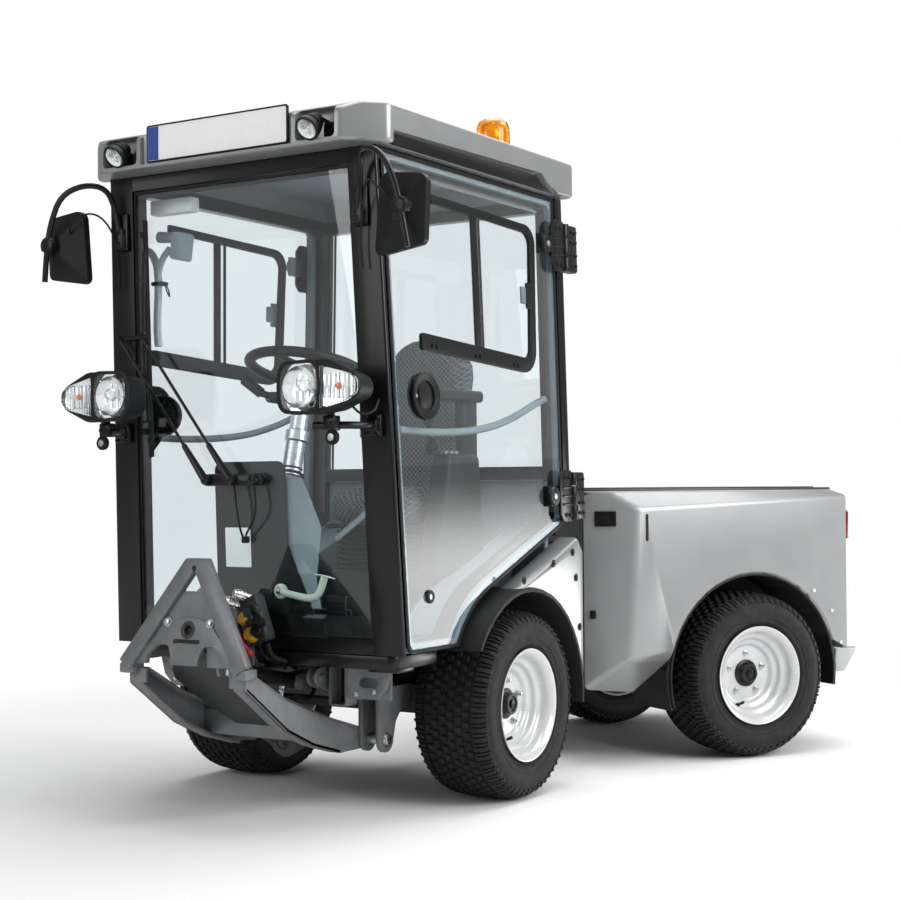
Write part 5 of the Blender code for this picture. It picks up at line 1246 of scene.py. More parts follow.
    def hinge(self, band: tuple[float, float], name: str) -> None:
        """Builds one hinge: bolted castings either side of the knuckle, and the clamp on the glass.

        Args:
            band: Its foot and top.
            name: Which hinge.
        """
        x, low, high = CAB.side_x + 0.0142, band[0], band[1]
        middle = (low + high) / 2
        clamp_y = 0.272 if name == "upper" else 0.262
        leaf = side_plate("leaf", rounded([(0.292, low + 0.018, 0.01), (0.312, low - 0.006, 0.01),
                                           (0.372, low - 0.006, 0.006), (0.372, high + 0.006, 0.006),
                                           (0.312, high + 0.006, 0.01), (0.292, high - 0.018, 0.01)]), x, x + 0.009)
        ribs = [ease(block("rib", (x + 0.006, 0.306, z - 0.004), (x + 0.013, 0.368, z + 0.004)), 0.002)
                for z in (low + 0.050, middle, high - 0.050)]
        screws = [socket_screw((x + 0.009, y, z), (1, 0, 0), 0.0065)
                  for z in (low + 0.016, high - 0.016) for y in (0.328, 0.355)]
        disc = lathe("disc", [(0, 0), (0.030, 0), (0.031, 0.004), (0.028, 0.009), (0.014, 0.0095), (0.012, 0.006),
                              (0, 0.006)], (x - 0.0002, clamp_y, middle), (1, 0, 0), 36)
        self.fit(gather("leaf", [ease(leaf, 0.0025), disc, *ribs, *screws]), "hinge_leaf_" + name, BLACK_COAT,
                 34)
        stud = lathe("stud", [(0, 0.006), (0.0105, 0.006), (0.0095, 0.010), (0, 0.0105)],
                     (x - 0.0002, clamp_y, middle), (1, 0, 0), 20)
        self.fit(stud, "hinge_stud_" + name, ZINC_PLATE)
        far = CAB.side_x + 0.0203
        plate = side_plate("plate", rounded([(0.402, low + 0.002, 0.006), (0.452, low + 0.002, 0.006),
                                             (0.452, high - 0.002, 0.006), (0.402, high - 0.002, 0.006)]),
                           far, far + 0.006)
        bolts = [socket_screw((far + 0.006, y, z), (1, 0, 0), 0.0065)
                 for y in (0.415, 0.440) for z in (low + 0.022, middle - 0.022, middle + 0.022, high - 0.022)]
        self.fit(gather("plate", [ease(plate, 0.002), *bolts]), "hinge_plate_" + name, BLACK_COAT, 34,
                 body="front")

    def rail(self) -> bpy.types.Object:
        """Makes the grab rail that crosses the inside of the door."""
        x = CAB.side_x - 0.050
        return pipe("rail", [(x + 0.022, 0.300, 1.238), (x, 0.280, 1.226), (x, 0.120, 1.168), (x, -0.060, 1.128),
                             (x, -0.300, 1.112), (x, -0.500, 1.116), (x + 0.022, -0.545, 1.118)], 0.0115, 2, 5)

    def build(self) -> None:
        """Builds the door."""
        ring = recast("door_frame_" + self.side, 0.002)
        hollow = CAB.lean(side_plate("hollow", [(self.front + 0.022, 1.108), (-0.370, 1.108), (-0.370, 1.302),
                                                (self.front + 0.022, 1.302)], CAB.side_x - 0.0400, CAB.side_x - 0.0020))
        if self.side == "right":
            whole, hollow = hollow, twin(hollow, MIRROR)
            bpy.data.objects.remove(whole)
        hollow.data.transform(DATUM.front)
        inner = install(carve(ring, hollow), "door_ring_" + self.side, BLACK_COAT, "door_" + self.side,
                        None, 34, ["door_frame_" + self.side])
        sign = 1 if self.side == "left" else -1
        origin = DATUM.front.translation

        def trim(middle: Vector, normal: Vector) -> bool:
            """Says whether a face of the ring is trim seen through the glass."""
            place = middle - origin
            return sign * place.x < CAB.point(CAB.side_x, 0, place.z).x - 0.004

        paint_where(inner, CAB_TRIM, trim)
        self.fit(self.pane(), "door_pane", CAB_GLASS, 30, stands_for="door_glass")
        self.fit(self.seal(), "door_seal", SEAL_RUBBER)
        self.fit(self.border(), "door_border", PLATE_SHEET)
        self.slider()
        self.handle()
        self.fit(self.rail(), "door_rail", CAB_TRIM)
        for band, name in zip(self.hinge_bands, ("lower", "upper")):
            self.hinge(band, name)


# ------------------------------------------------------------------ lamps, mirrors and wiper
@dataclass
class Headlamp:
    """Twin headlamp with main lens and indicator, hung on a tube arm from the corner post."""

    front: float = -0.845
    back: float = -0.738
    arm_z: float = 1.125

    def shell(self) -> bpy.types.Object:
        """Moulds the housing: wide front narrowing to its rear, with two lens wells."""
        outline = rounded([(0.274, 1.152, 0.050), (0.440, 1.150, 0.080), (0.545, 1.196, 0.045), (0.545, 1.256, 0.045),
                           (0.440, 1.303, 0.080), (0.274, 1.303, 0.050)], 7)
        shell = front_plate("shell", outline, self.front + 0.004, self.back)
        taper(shell, lambda middle, normal: normal.y > 0.9, (0.86, 1, 0.80), (0.398, self.back, 1.225))
        ease(shell, 0.014, 4, 45)
        main = front_plate("main", self.main_outline(0.003), self.front - 0.02, self.front + 0.024)
        signal = front_plate("signal", self.signal_outline(0.003), self.front - 0.02, self.front + 0.018)
        return carve(shell, main, signal)

    def main_outline(self, grow: float = 0.0) -> list[tuple[float, float]]:
        """Returns the main lens's outline, grown by a margin."""
        return rounded([(0.286 - grow, 1.166 - grow, 0.036), (0.402 + grow, 1.160 - grow, 0.030),
                        (0.410 + grow, 1.228, 0.09), (0.402 + grow, 1.294 + grow, 0.030),
                        (0.286 - grow, 1.290 + grow, 0.036), (0.280 - grow, 1.228, 0.09)], 7)

    def signal_outline(self, grow: float = 0.0) -> list[tuple[float, float]]:
        """Returns the indicator lens's outline, grown by a margin."""
        return rounded([(0.417 - grow, 1.170 - grow, 0.006), (0.505, 1.190 - grow, 0.060),
                        (0.536 + grow, 1.208, 0.022), (0.536 + grow, 1.246, 0.022), (0.505, 1.262 + grow, 0.060),
                        (0.417 - grow, 1.284 + grow, 0.006)], 6)

    def arm(self) -> bpy.types.Object:
        """Makes the tube arm with its clamp on the post and its clamp under the lamp."""
        clamp = CAB.point(0.480, CAB.front_y - 0.012, self.arm_z)
        tube = pipe("tube", [(clamp.x, clamp.y - 0.016, self.arm_z), (0.474, -0.705, self.arm_z),
                             (0.452, -0.757, self.arm_z), (0.415, -0.778, self.arm_z), (0.352, -0.782, self.arm_z)],
                    0.0105, 3, 5)
        pads = [block("pad", (clamp.x - 0.030, clamp.y - 0.020, self.arm_z - 0.029),
                      (clamp.x + 0.026, clamp.y - 0.003, self.arm_z + 0.031), 0.003),
                block("cap", (clamp.x - 0.022, clamp.y - 0.030, self.arm_z - 0.016),
                      (clamp.x + 0.018, clamp.y - 0.018, self.arm_z + 0.016), 0.004),
                block("grip", (0.392, -0.797, self.arm_z - 0.015), (0.430, -0.765, self.arm_z + 0.026), 0.004)]
        stalk = bar("stalk", (0.411, -0.781, self.arm_z + 0.010), (0.411, -0.784, self.arm_z + 0.048), 0.010)
        screws = [socket_screw((clamp.x + x, clamp.y - 0.0195, self.arm_z + z), (0, -1, 0), 0.0065)
                  for x, z in ((-0.020, -0.021), (0.016, -0.021), (-0.020, 0.023), (0.016, 0.023))]
        screws += [socket_screw((x, -0.7965, self.arm_z + 0.005), (0, -1, 0), 0.006) for x in (0.400, 0.422)]
        return gather("arm", [tube, stalk, *pads, *screws])

    def build(self) -> None:
        """Builds both headlamps."""
        name, body, place = "headlamp_", "front", DATUM.front
        pair(self.shell(), name + "shell", GRAINED_BLACK, body, place, 30, "headlamp")
        pair(self.arm(), name + "arm", BLACK_COAT, body, place)
        y = self.front
        well = front_plate("well", self.main_outline(0.0), y + 0.0235, y + 0.0225)
        bowl = lathe("bowl", [(0.012, -0.016), (0.030, -0.012), (0.048, -0.002), (0.056, 0.004), (0.057, 0.003),
                              (0.048, -0.004), (0.030, -0.014), (0.012, -0.018)], (0.345, y + 0.010, 1.228),
                     (0, -1, 0), 40)
        cup = lathe("cup", [(0.0, 0.0), (0.016, 0.0), (0.018, 0.010), (0.015, 0.012), (0.012, 0.004), (0.0, 0.003)],
                    (0.352, y + 0.0225, 1.234), (0, -1, 0), 28)
        facets = [block("facet", (0.292 + 0.019 * i, y + 0.0195, 1.176 + 0.052 * k),
                        (0.308 + 0.019 * i, y + 0.0228, 1.222 + 0.052 * k), 0.0015) for i in range(6) for k in range(2)]
        signal = front_plate("signal", self.signal_outline(0.0), y + 0.0175, y + 0.0165)
        ribs = [block("rib", (0.424 + 0.014 * i, y + 0.0130, 1.196), (0.432 + 0.014 * i, y + 0.0170, 1.260), 0.0015)
                for i in range(7)]
        pair(gather("bowl", [well, bowl, cup, signal, *facets, *ribs]), name + "reflector", REFLECTOR, body,
             place, 50)
        bulb = lathe("bulb", [(0, 0), (0.007, 0), (0.009, 0.004), (0.007, 0.008), (0, 0.009)],
                     (0.473, y + 0.016, 1.228), (0, -1, 0), 20)
        pair(bulb, name + "signal_bulb", AMBER_BULB, body, place)
        lens = ease(front_plate("lens", self.main_outline(0.002), y + 0.0068, y + 0.0005), 0.003, 3, 50)
        pair(lens, name + "main_lens", CLEAR_LENS, body, place)
        lens = ease(front_plate("lens", self.signal_outline(0.002), y + 0.0068, y + 0.0005), 0.003, 3, 50)
        pair(lens, name + "signal_lens", FLUTED_LENS, body, place)
        edge = carve(front_plate("edge", self.main_outline(0.009), y + 0.0055, y + 0.0002),
                     front_plate("inside", self.main_outline(-0.001), y - 0.01, y + 0.01))
        pair(ease(edge, 0.0015), name + "bezel", SEAL_RUBBER, body, place)
        side_lamp = lathe("side_lamp", [(0, 0), (0.020, 0), (0.021, 0.010), (0.018, 0.014), (0.012, 0.012), (0, 0.012)],
                          (0.420, -0.785, 1.092), (0, -1, 0), 28)
        pair(side_lamp, name + "horn", GRAINED_BLACK, body, place)
        core = lathe("core", [(0, 0.011), (0.011, 0.011), (0.010, 0.015), (0, 0.0155)], (0.420, -0.785, 1.092),
                     (0, -1, 0), 20)
        pair(core, name + "horn_core", ZINC_PLATE, body, place)
        cable = pipe("cable", [(0.452, -0.748, 1.180), (0.480, -0.735, 1.150), (0.500, -0.700, 1.165),
                               (0.492, -0.672, 1.200), (0.480, -0.655, 1.190)], 0.0035, 3, 3)
        pair(cable, name + "cable", SEAL_RUBBER, body, place)


@dataclass
class Mirror:
    """Rear-view mirror: a pyramid-backed shell on a bent tube from a bracket on the corner post."""

    post_z: float = 1.735

    def shell(self) -> bpy.types.Object:
        """Moulds the shell: a rounded rim that rises in flat facets to a small ridge."""
        outline = rounded([(0.527, 1.577, 0.020), (0.688, 1.602, 0.020), (0.698, 1.790, 0.030),
                           (0.547, 1.808, 0.030)], 5)
        rim = ease(front_plate("rim", outline, -0.742, -0.7165), 0.004, 3)
        back = front_plate("back", outline, -0.7405, -0.7735)
        taper(back, lambda middle, normal: normal.y < -0.9, (0.30, 1, 0.30), (0.640, -0.7735, 1.700))
        return gather("shell", [rim, ease(back, 0.003, 2, 20)])

    def arm(self) -> bpy.types.Object:
        """Makes the bent tube with its post bracket and its clamp on the shell."""
        clamp = CAB.point(0.470, CAB.front_y - 0.012, self.post_z)
        tube = pipe("tube", [(clamp.x, clamp.y - 0.014, self.post_z - 0.050), (clamp.x, clamp.y - 0.018, self.post_z),
                             (0.452, -0.698, 1.800), (0.468, -0.722, 1.868), (0.520, -0.765, 1.878),
                             (0.590, -0.794, 1.846), (0.632, -0.794, 1.760), (0.648, -0.792, 1.690),
                             (0.664, -0.785, 1.590)], 0.0088, 2, 5)
        pads = [block("pad", (clamp.x - 0.025, clamp.y - 0.013, self.post_z - 0.055),
                      (clamp.x + 0.025, clamp.y - 0.0035, self.post_z + 0.055), 0.003),
                block("cap", (clamp.x - 0.017, clamp.y - 0.024, self.post_z - 0.050),
                      (clamp.x + 0.017, clamp.y - 0.012, self.post_z + 0.012), 0.006, 3)]
        saddle = lathe("saddle", [(0, 0), (0.026, 0), (0.027, 0.012), (0.024, 0.030), (0.018, 0.033), (0, 0.033)],
                       (0.644, -0.769, 1.700), (0, -1, 0), 32)
        screws = [socket_screw((clamp.x, clamp.y - 0.0235, self.post_z + z), (0, -1, 0), 0.006)
                  for z in (-0.036, -0.004)]
        screws += [socket_screw((0.644 + x, -0.8015, 1.700 + z), (0, -1, 0), 0.0045)
                   for x, z in ((-0.010, 0.014), (0.012, -0.014))]
        return gather("arm", [tube, saddle, *pads, *screws])

    def build(self) -> None:
        """Builds both mirrors."""
        pair(self.shell(), "mirror_shell", GRAINED_BLACK, "front", DATUM.front, 14, "mirror")
        pair(self.arm(), "mirror_arm", BLACK_COAT, "front", DATUM.front)
        glass = front_plate("glass", rounded([(0.533, 1.583, 0.018), (0.683, 1.607, 0.018), (0.692, 1.785, 0.026),
                                              (0.552, 1.802, 0.026)], 5), -0.7172, -0.7152)
        pair(glass, "mirror_glass", REFLECTOR, "front", DATUM.front)
        cable = pipe("cable", [(0.590, -0.752, 1.720), (0.560, -0.785, 1.770), (0.500, -0.740, 1.800),
                               (0.462, -0.698, 1.740), (0.447, -0.692, 1.640), (0.452, -0.686, 1.560)], 0.003, 3, 3)
        pair(cable, "mirror_cable", SEAL_RUBBER, "front", DATUM.front)


@dataclass
class Wiper:
    """Parallel-arm wiper parked upright on the windscreen's right half."""

    base_z: float = 0.980
    tip_z: float = 1.413
    glass: float = -0.604

    def spot(self, x: float, out: float, z: float) -> Vector:
        """Returns a point in front of the leaning glass; x is where the eye sees it."""
        spot = CAB.point(0.0, self.glass, z)
        return Vector((x, spot.y - out, z))

    def build(self) -> None:
        """Builds the wiper."""
        z = self.base_z
        base = front_plate("base", rounded([(-0.158, z - 0.018, 0.018), (0.066, z - 0.018, 0.018),
                                            (0.066, z + 0.018, 0.018), (-0.158, z + 0.018, 0.018)], 5),
                           self.spot(0, 0.010, z).y, self.spot(0, 0.022, z).y)
        pieces = [ease(base, 0.003)]
        for x in (-0.134, -0.039, 0.043):
            pieces.append(lathe("cap", [(0, 0.0015), (0.017, 0.0015), (0.017, 0.030), (0.014, 0.040), (0.006, 0.044),
                                        (0, 0.044)], self.spot(x, 0.0, z), (0, -1, 0), 24))
        for x, tip in ((-0.134, -0.452), (-0.039, -0.362)):
            foot, end = self.spot(x, 0.036, z), self.spot(tip, 0.034, self.tip_z)
            pieces.append(bar("head", foot, foot.lerp(end, 0.24), 0.0125, 0.0085, 12))
            pieces.append(bar("rod", foot.lerp(end, 0.22), end, 0.0048, None, 12))
            pieces.append(bar("pivot", end + Vector((0, 0.008, 0)), end + Vector((0, -0.008, 0)), 0.0075, None, 16))
        pieces.append(bar("link", self.spot(-0.465, 0.028, self.tip_z), self.spot(-0.348, 0.028, self.tip_z), 0.006))
        low, high = self.spot(-0.362, 0.013, 1.050), self.spot(-0.354, 0.013, 1.767)
        pieces.append(bar("spine", low, high, 0.0050, None, 8))
        pieces.append(pipe("bridge", [self.spot(-0.361, 0.016, 1.16), self.spot(-0.360, 0.026, 1.26),
                                      self.spot(-0.358, 0.029, self.tip_z), self.spot(-0.356, 0.026, 1.57),
                                      self.spot(-0.355, 0.016, 1.67)], 0.0065, 2, 3))
        pieces.append(bar("neck", self.spot(-0.358, 0.038, self.tip_z), self.spot(-0.358, 0.016, self.tip_z), 0.0095))
        for i, tall in enumerate((1.10, 1.20, 1.62, 1.72)):
            pieces.append(bar("claw", self.spot(-0.360, 0.018, tall - 0.01), self.spot(-0.360, 0.018, tall + 0.01),
                              0.0062, None, 8 + i % 2))
        install(gather("wiper", pieces), "wiper_arms", BLACK_COAT, "front", DATUM.front, 34, ["wiper"])
        lip = bar("lip", self.spot(-0.362, 0.006, 1.052), self.spot(-0.354, 0.006, 1.765), 0.0070, None, 4)
        install(lip, "wiper_lip", SEAL_RUBBER, "front", DATUM.front)
        hoses = [pipe("hose", [self.spot(x, 0.030, z - 0.012), self.spot(x + 0.012, 0.034, z - 0.10),
                               self.spot(-0.008 + lean, 0.022, z - 0.16), self.spot(-0.008, 0.012, z - 0.175)],
                      0.0032, 3, 3) for x, lean in ((-0.030, -0.008), (0.043, 0.008))]
        nozzle = block("nozzle", self.spot(-0.018, 0.022, 0.795), self.spot(0.002, 0.004, 0.815), 0.003)
        install(gather("washer", [*hoses, nozzle]), "washer_hoses", SEAL_RUBBER, "front", DATUM.front)


# ------------------------------------------------------------------ inside the cab
@dataclass
class Interior:
    """Console, steering wheel, controls, grab tubes and what stands about the driver."""

    seat_x: float = 0.05
    floor_top: float = 0.4862
    head_z: float = 1.030
    column_top: tuple[float, float, float] = (0.0, -0.345, 1.285)
    wheel_axis: tuple[float, float, float] = (0.0, 0.095, 0.355)
    rim_radius: float = 0.178
    cloth_pressure: float = 4.0
    cloth_steps: int = 20
    swell: float = 0.022

    def put(self, obj: bpy.types.Object, name: str, finish: Finish, smooth: float = 34.0,
            stands_for: Sequence[str] = ()) -> bpy.types.Object:
        """Installs a piece of the cab's inside."""
        return install(obj, name, finish, "front", DATUM.front, smooth, stands_for)

    def console(self) -> None:
        """Builds the faceted console with its black screen panel, blank plate and lever."""
        glass = CAB.front_y + 0.036
        high, low = CAB.point(0, glass, self.head_z).y, CAB.point(0, glass, 0.536).y
        profile = [(low, self.floor_top + GAP),
                   (high, self.head_z), (-0.500, self.head_z + 0.005), (-0.372, 0.870), (-0.408, 0.700),
                   (-0.335, self.floor_top + GAP)]
        body = side_plate("console", profile, -0.118, 0.122)
        taper(body, lambda middle, normal: normal.x > 0.9, (1, 0.72, 0.90), (0.122, low, 0.536))
        self.put(ease(body, 0.010, 3, 20), "console_body", CAB_TRIM, 30, ["steering_console"])
        outline = rounded([(-0.158, 0.540, 0.01), (0.112, 0.540, 0.01), (0.112, 1.034, 0.028),
                           (-0.158, 1.034, 0.028)], 5)
        panel = front_plate("panel", outline, CAB.front_y + 0.0310, CAB.front_y + 0.0355)
        self.put(CAB.lean(ease(panel, 0.001)), "console_panel", GRAINED_BLACK)
        wing = front_plate("wing", rounded([(0.098, 0.540, 0), (0.222, 0.540, 0.02), (0.108, 0.800, 0.02),
                                            (0.098, 0.800, 0)]), CAB.front_y + 0.0312, CAB.front_y + 0.0340)
        self.put(CAB.lean(wing), "console_panel_wing", GRAINED_BLACK)
        plate = front_plate("plate", rounded([(-0.122, 0.722, 0.004), (-0.026, 0.722, 0.004), (-0.026, 0.839, 0.004),
                                              (-0.122, 0.839, 0.004)], 3), CAB.front_y + 0.0308, CAB.front_y + 0.0296)
        self.put(CAB.lean(plate), "blank_notice", PLATE_SHEET)
        y = CAB.front_y + 0.019
        arm = pipe("lever", [(0.088, y, 0.655), (0.150, y, 0.642), (0.205, y, 0.636), (0.232, y, 0.655),
                             (0.250, y, 0.700)], 0.0105, 2, 4)
        boss = lathe("boss", [(0, 0), (0.022, 0), (0.022, 0.010), (0.019, 0.013), (0.012, 0.013), (0.010, 0.008),
                              (0, 0.008)], (0.088, y + 0.008, 0.655), (0, -1, 0), 28)
        self.put(CAB.lean(gather("lever", [arm, boss])), "parking_lever", LEVER_ENAMEL)
        pin = pipe("pin", [(0.215, y, 0.706), (0.250, y, 0.704), (0.286, y, 0.696)], 0.0030, 1, 3)
        core = bar("core", (0.088, y, 0.655), (0.088, y - 0.012, 0.655), 0.0090, None, 6, 0.001)
        self.put(CAB.lean(gather("pin", [pin, core])), "lever_pin", ZINC_PLATE)

    def column(self) -> None:
        """Builds the steering column with its bellows and the direction lever."""
        top = Vector(self.column_top)
        axis = Vector(self.wheel_axis).normalized()
        tube = lathe("tube", [(0, -0.34), (0.030, -0.34), (0.030, -0.20), (0.036, -0.195), (0.036, -0.165),
                              (0.027, -0.160), (0.027, -0.030), (0.040, -0.020), (0.040, 0.0), (0, 0.0)], top, axis)
        self.put(tube, "column_tube", ZINC_PLATE)
        folds = [(0.0, -0.355)]
        for i in range(6):
            folds += [(0.044 - 0.002 * i, -0.350 + 0.014 * i), (0.034 - 0.002 * i, -0.343 + 0.014 * i)]
        folds += [(0.026, -0.262), (0.0, -0.262)]
        gaiter = lathe("gaiter", folds, top, axis, 36)
        handle = [pipe("handle", [top - axis * 0.05 + Vector((-0.030, 0, 0)), top + Vector((-0.110, -0.02, -0.050)),
                                  top + Vector((-0.150, -0.03, -0.035))], 0.011, 2),
                  pipe("grip", [top + Vector((-0.150, -0.03, -0.035)), top + Vector((-0.205, -0.045, 0.008))],
                       0.017, 1)]
        rings = [lathe("ring", [(0.012, -0.004), (0.021 - 0.001 * i, 0), (0.012, 0.004)],
                       top + Vector((-0.085 - 0.012 * i, -0.015, -0.052 + 0.001 * i)), (1, 0, 0.05), 20)
                 for i in range(5)]
        self.put(gather("gaiter", [gaiter, *handle, *rings]), "column_gaiter", GRAINED_BLACK, 24)

    def wheel(self) -> None:
        """Builds the steering wheel: thick rim, three pressed spokes and the hub's cap."""
        axis = Vector(self.wheel_axis).normalized()
        top = Vector(self.column_top) + axis * 0.0285
        rim = [(self.rim_radius + 0.0175 * math.cos(a), 0.006 + 0.016 * math.sin(a))
               for a in (math.tau * i / 14 for i in range(14))]
        pieces = [lathe("rim", rim, top, axis, 72),
                  lathe("hub", [(0, -0.028), (0.036, -0.028), (0.046, -0.012), (0.048, 0.004), (0.042, 0.012),
                                (0.020, 0.016), (0, 0.016)], top, axis, 40)]
        across = axis.cross(Vector((1, 0, 0))).normalized()
        for angle in (90, 210, 330):
            way = Vector((1, 0, 0)) * math.cos(math.radians(angle)) - across * math.sin(math.radians(angle))
            side = axis.cross(way)
            corners = [top + way * r + side * w - axis * 0.003 for r, w in ((0.036, -0.026), (0.178, -0.013),
                                                                            (0.178, 0.013), (0.036, 0.026))]
            pieces.append(ease(push(trace("spoke", corners), axis * 0.010), 0.003))
        self.put(gather("wheel", pieces), "steering_rim", GRAINED_BLACK, 34, ["steering_wheel"])

    def pedals(self) -> None:
        """Builds the two pedals with their shaft and rubber pads."""
        shaft = [bar("shaft", (-0.255, -0.470, 0.590), (0.255, -0.470, 0.590), 0.009)]
        shaft += [block("stem", (x - 0.008, -0.490, 0.575), (x + 0.008, -0.462, 0.600), 0.003) for x in (-0.22, 0.22)]
        self.put(gather("shaft", shaft), "pedal_shaft", BLACK_COAT)
        pads = []
        for x in (-0.22, 0.22):
            pads.append(block("pad", (x - 0.035, -0.500, 0.560), (x + 0.035, -0.4885, 0.640), 0.004))
            pads += [block("rib", (x - 0.030, -0.504, z), (x + 0.030, -0.499, z + 0.006), 0.001)
                     for z in (0.572, 0.588, 0.604, 0.620)]
        self.put(gather("pads", pads), "pedal_pads", SEAL_RUBBER)

    def armrest(self) -> None:
        """Builds the control pod with its pad, joystick, screen and switches."""
        low_x, high_x = self.seat_x + 0.1903, self.seat_x + 0.265
        pod = block("pod", (low_x, -0.108, 0.672), (high_x, 0.198, 1.060), 0.022, 3)
        taper(pod, lambda middle, normal: normal.z > 0.9 or middle.z > 1.03, (1, 0.62, 1), (low_x, 0.110, 1.06))
        upright = block("upright", (low_x + 0.014, 0.100, 1.040), (high_x - 0.022, 0.186, 1.232), 0.010, 3)
        pad = block("pad", (low_x + 0.002, -0.119, 1.226), (high_x, 0.194, 1.264), 0.014, 4)
        self.put(gather("pod", [pod, upright, pad]), "armrest_pod", GRAINED_BLACK, 40, ["armrest"])
        stick = Vector((low_x + 0.035, -0.062, 1.060))
        folds = [(0.026 - 0.0025 * i + (0.006 if i % 2 else 0.0), 0.006 * i) for i in range(8)]
        gaiter = lathe("gaiter", [(0.0, 0.0), *folds, (0, 0.05)], stick, (0, -0.2, 1), 28)
        ball = lathe("ball", [(0, 0.085), (0.010, 0.086), (0.019, 0.098), (0.021, 0.112), (0.017, 0.128),
                              (0.008, 0.136), (0, 0.137)], stick, (0, -0.2, 1), 28)
        shank = lathe("shank", [(0, 0.04), (0.007, 0.04), (0.007, 0.088), (0, 0.088)], stick, (0, -0.2, 1), 16)
        self.put(gather("stick", [gaiter, ball, shank]), "joystick", SEAL_RUBBER, 30)
        keys = [block("key", (low_x + 0.014 + 0.018 * i, -0.030 + 0.03 * k, 1.058),
                      (low_x + 0.026 + 0.018 * i, -0.010 + 0.03 * k, 1.068), 0.002) for i in range(3) for k in range(3)]
        self.put(gather("keys", keys), "pod_keys", CAB_TRIM)
        screen = block("screen", (0.175, -0.300, 1.105), (0.290, -0.284, 1.205), 0.004)
        swing(screen, math.radians(-24), "Z", (0.23, -0.29, 1.155))
        stand = pipe("stand", [(0.232, -0.292, 1.120), (0.235, -0.275, 1.060), (0.225, -0.300, 0.900),
                               (0.140, -0.390, 0.800)], 0.009, 2)
        self.put(gather("screen", [screen, stand]), "screen_case", CAB_TRIM)

    def seat_pedestal(self) -> None:
        """Builds the suspension base with its bellows, and the step box in front of it."""
        x = self.seat_x
        folds = []
        for i in range(9):
            z = 0.690 + 0.0165 * i
            folds.append(block("fold", (x - 0.172, -0.020, z), (x + 0.172, 0.320, z + 0.0120), 0.0055, 3))
        folds += [block("core", (x - 0.160, -0.008, 0.680), (x + 0.160, 0.308, 0.836)),
                  block("foot", (x - 0.189, -0.038, self.floor_top + GAP), (x + 0.189, 0.338, 0.690), 0.020, 3)]
        self.put(gather("base", folds), "seat_suspension", GRAINED_BLACK, 40, ["seat_base"])
        for side in (1, -1):
            rail = block("rail", (x + side * 0.175, -0.060, 0.822), (x + side * 0.188, 0.250, 0.8395), 0.003)
            self.put(rail, "seat_rail_" + side_name(side), BLACK_COAT)

    def puff(self, pad: bpy.types.Object) -> bpy.types.Object:
        """Puffs up a padded form, drawn a little slimmer, by a short cloth run; returns the padded piece."""
        modify(pad, "REMESH", mode="VOXEL", voxel_size=0.006)
        rest = twin(pad)
        only(pad)
        cloth = pad.modifiers.new("cloth", "CLOTH")
        cloth.settings.use_pressure = True
        cloth.settings.uniform_pressure_force = self.cloth_pressure
        cloth.settings.effector_weights.gravity = 0.0
        for step in range(1, self.cloth_steps + 1):
            bpy.context.scene.frame_set(step)
        bpy.ops.object.modifier_apply(modifier=cloth.name)
        bpy.context.scene.frame_set(1)
        for vertex, still in zip(pad.data.vertices, rest.data.vertices):
            move = vertex.co - still.co
            if move.length > self.swell:
                vertex.co = still.co + move.normalized() * self.swell
        bpy.data.objects.remove(rest)
        return modify(pad, "SUBSURF", levels=1, render_levels=1)

    def seat(self) -> None:
        """Builds the padded seat: cushion with its front roll, and back with its rounded top."""
        x = self.seat_x
        base = rounded([(x - 0.172, -0.100, 0.05), (x + 0.172, -0.100, 0.05), (x + 0.164, 0.238, 0.03),
                        (x - 0.164, 0.238, 0.03)], 4)
        cushion = self.puff(ease(flat_plate("seat_cushion", base, 0.854, 0.934), 0.018, 3))
        shape = rounded([(x - 0.150, 0.896, 0.04), (x + 0.150, 0.896, 0.04), (x + 0.176, 1.120, 0.10),
                         (x + 0.166, 1.464, 0.14), (x - 0.166, 1.464, 0.14), (x - 0.176, 1.120, 0.10)], 6)
        back = self.puff(ease(front_plate("seat_back", shape, 0.254, 0.318), 0.018, 3))
        for piece, name, nodes in ((cushion, "seat_cushion", ["seat"]), (back, "seat_back", [])):
            install(piece, name, SEAT_CLOTH, "front", DATUM.front, 60, nodes)

    def grab_tubes(self) -> None:
        """Builds the forked grab tube by the right post, the boxes on it, the lamp box and the fan."""
        stem = pipe("stem", [(-0.440, -0.520, 1.400), (-0.446, -0.520, 1.460), (-0.440, -0.520, 1.560),
                             (-0.440, -0.520, 1.640), (-0.462, -0.520, 1.690), (-0.492, -0.520, 1.705)], 0.0125, 2)
        fork = pipe("fork", [(-0.440, -0.520, 1.630), (-0.424, -0.520, 1.672), (-0.392, -0.520, 1.702)], 0.0105, 1)
        self.put(gather("tube", [stem, fork]), "grab_tube", PALE_ENAMEL)
        box = ease(front_plate("box", rounded([(-0.378, 1.668, 0.01), (-0.322, 1.655, 0.01), (-0.310, 1.742, 0.012),
                                               (-0.366, 1.752, 0.012)]), -0.540, -0.498), 0.003)
        socket = bar("socket", (-0.440, -0.512, 1.742), (-0.370, -0.516, 1.734), 0.018, 0.016)
        self.put(gather("box", [box, socket]), "camera_box", HEADLINER)
        clip = block("clip", (-0.455, -0.538, 1.588), (-0.408, -0.508, 1.600), 0.003)
        loop = pipe("loop", [(-0.412, -0.520, 1.594), (-0.396, -0.522, 1.575), (-0.388, -0.524, 1.545),
                             (-0.404, -0.522, 1.570), (-0.412, -0.520, 1.590)], 0.0022, 2, 3)
        self.put(gather("clip", [clip, loop]), "tube_clip", GRAINED_BLACK)
        lamp = block("lamp", (-0.428, -0.572, 1.800), (-0.262, -0.530, 1.846), 0.006)
        self.put(lamp, "white_lamp_box", PLATE_SHEET)
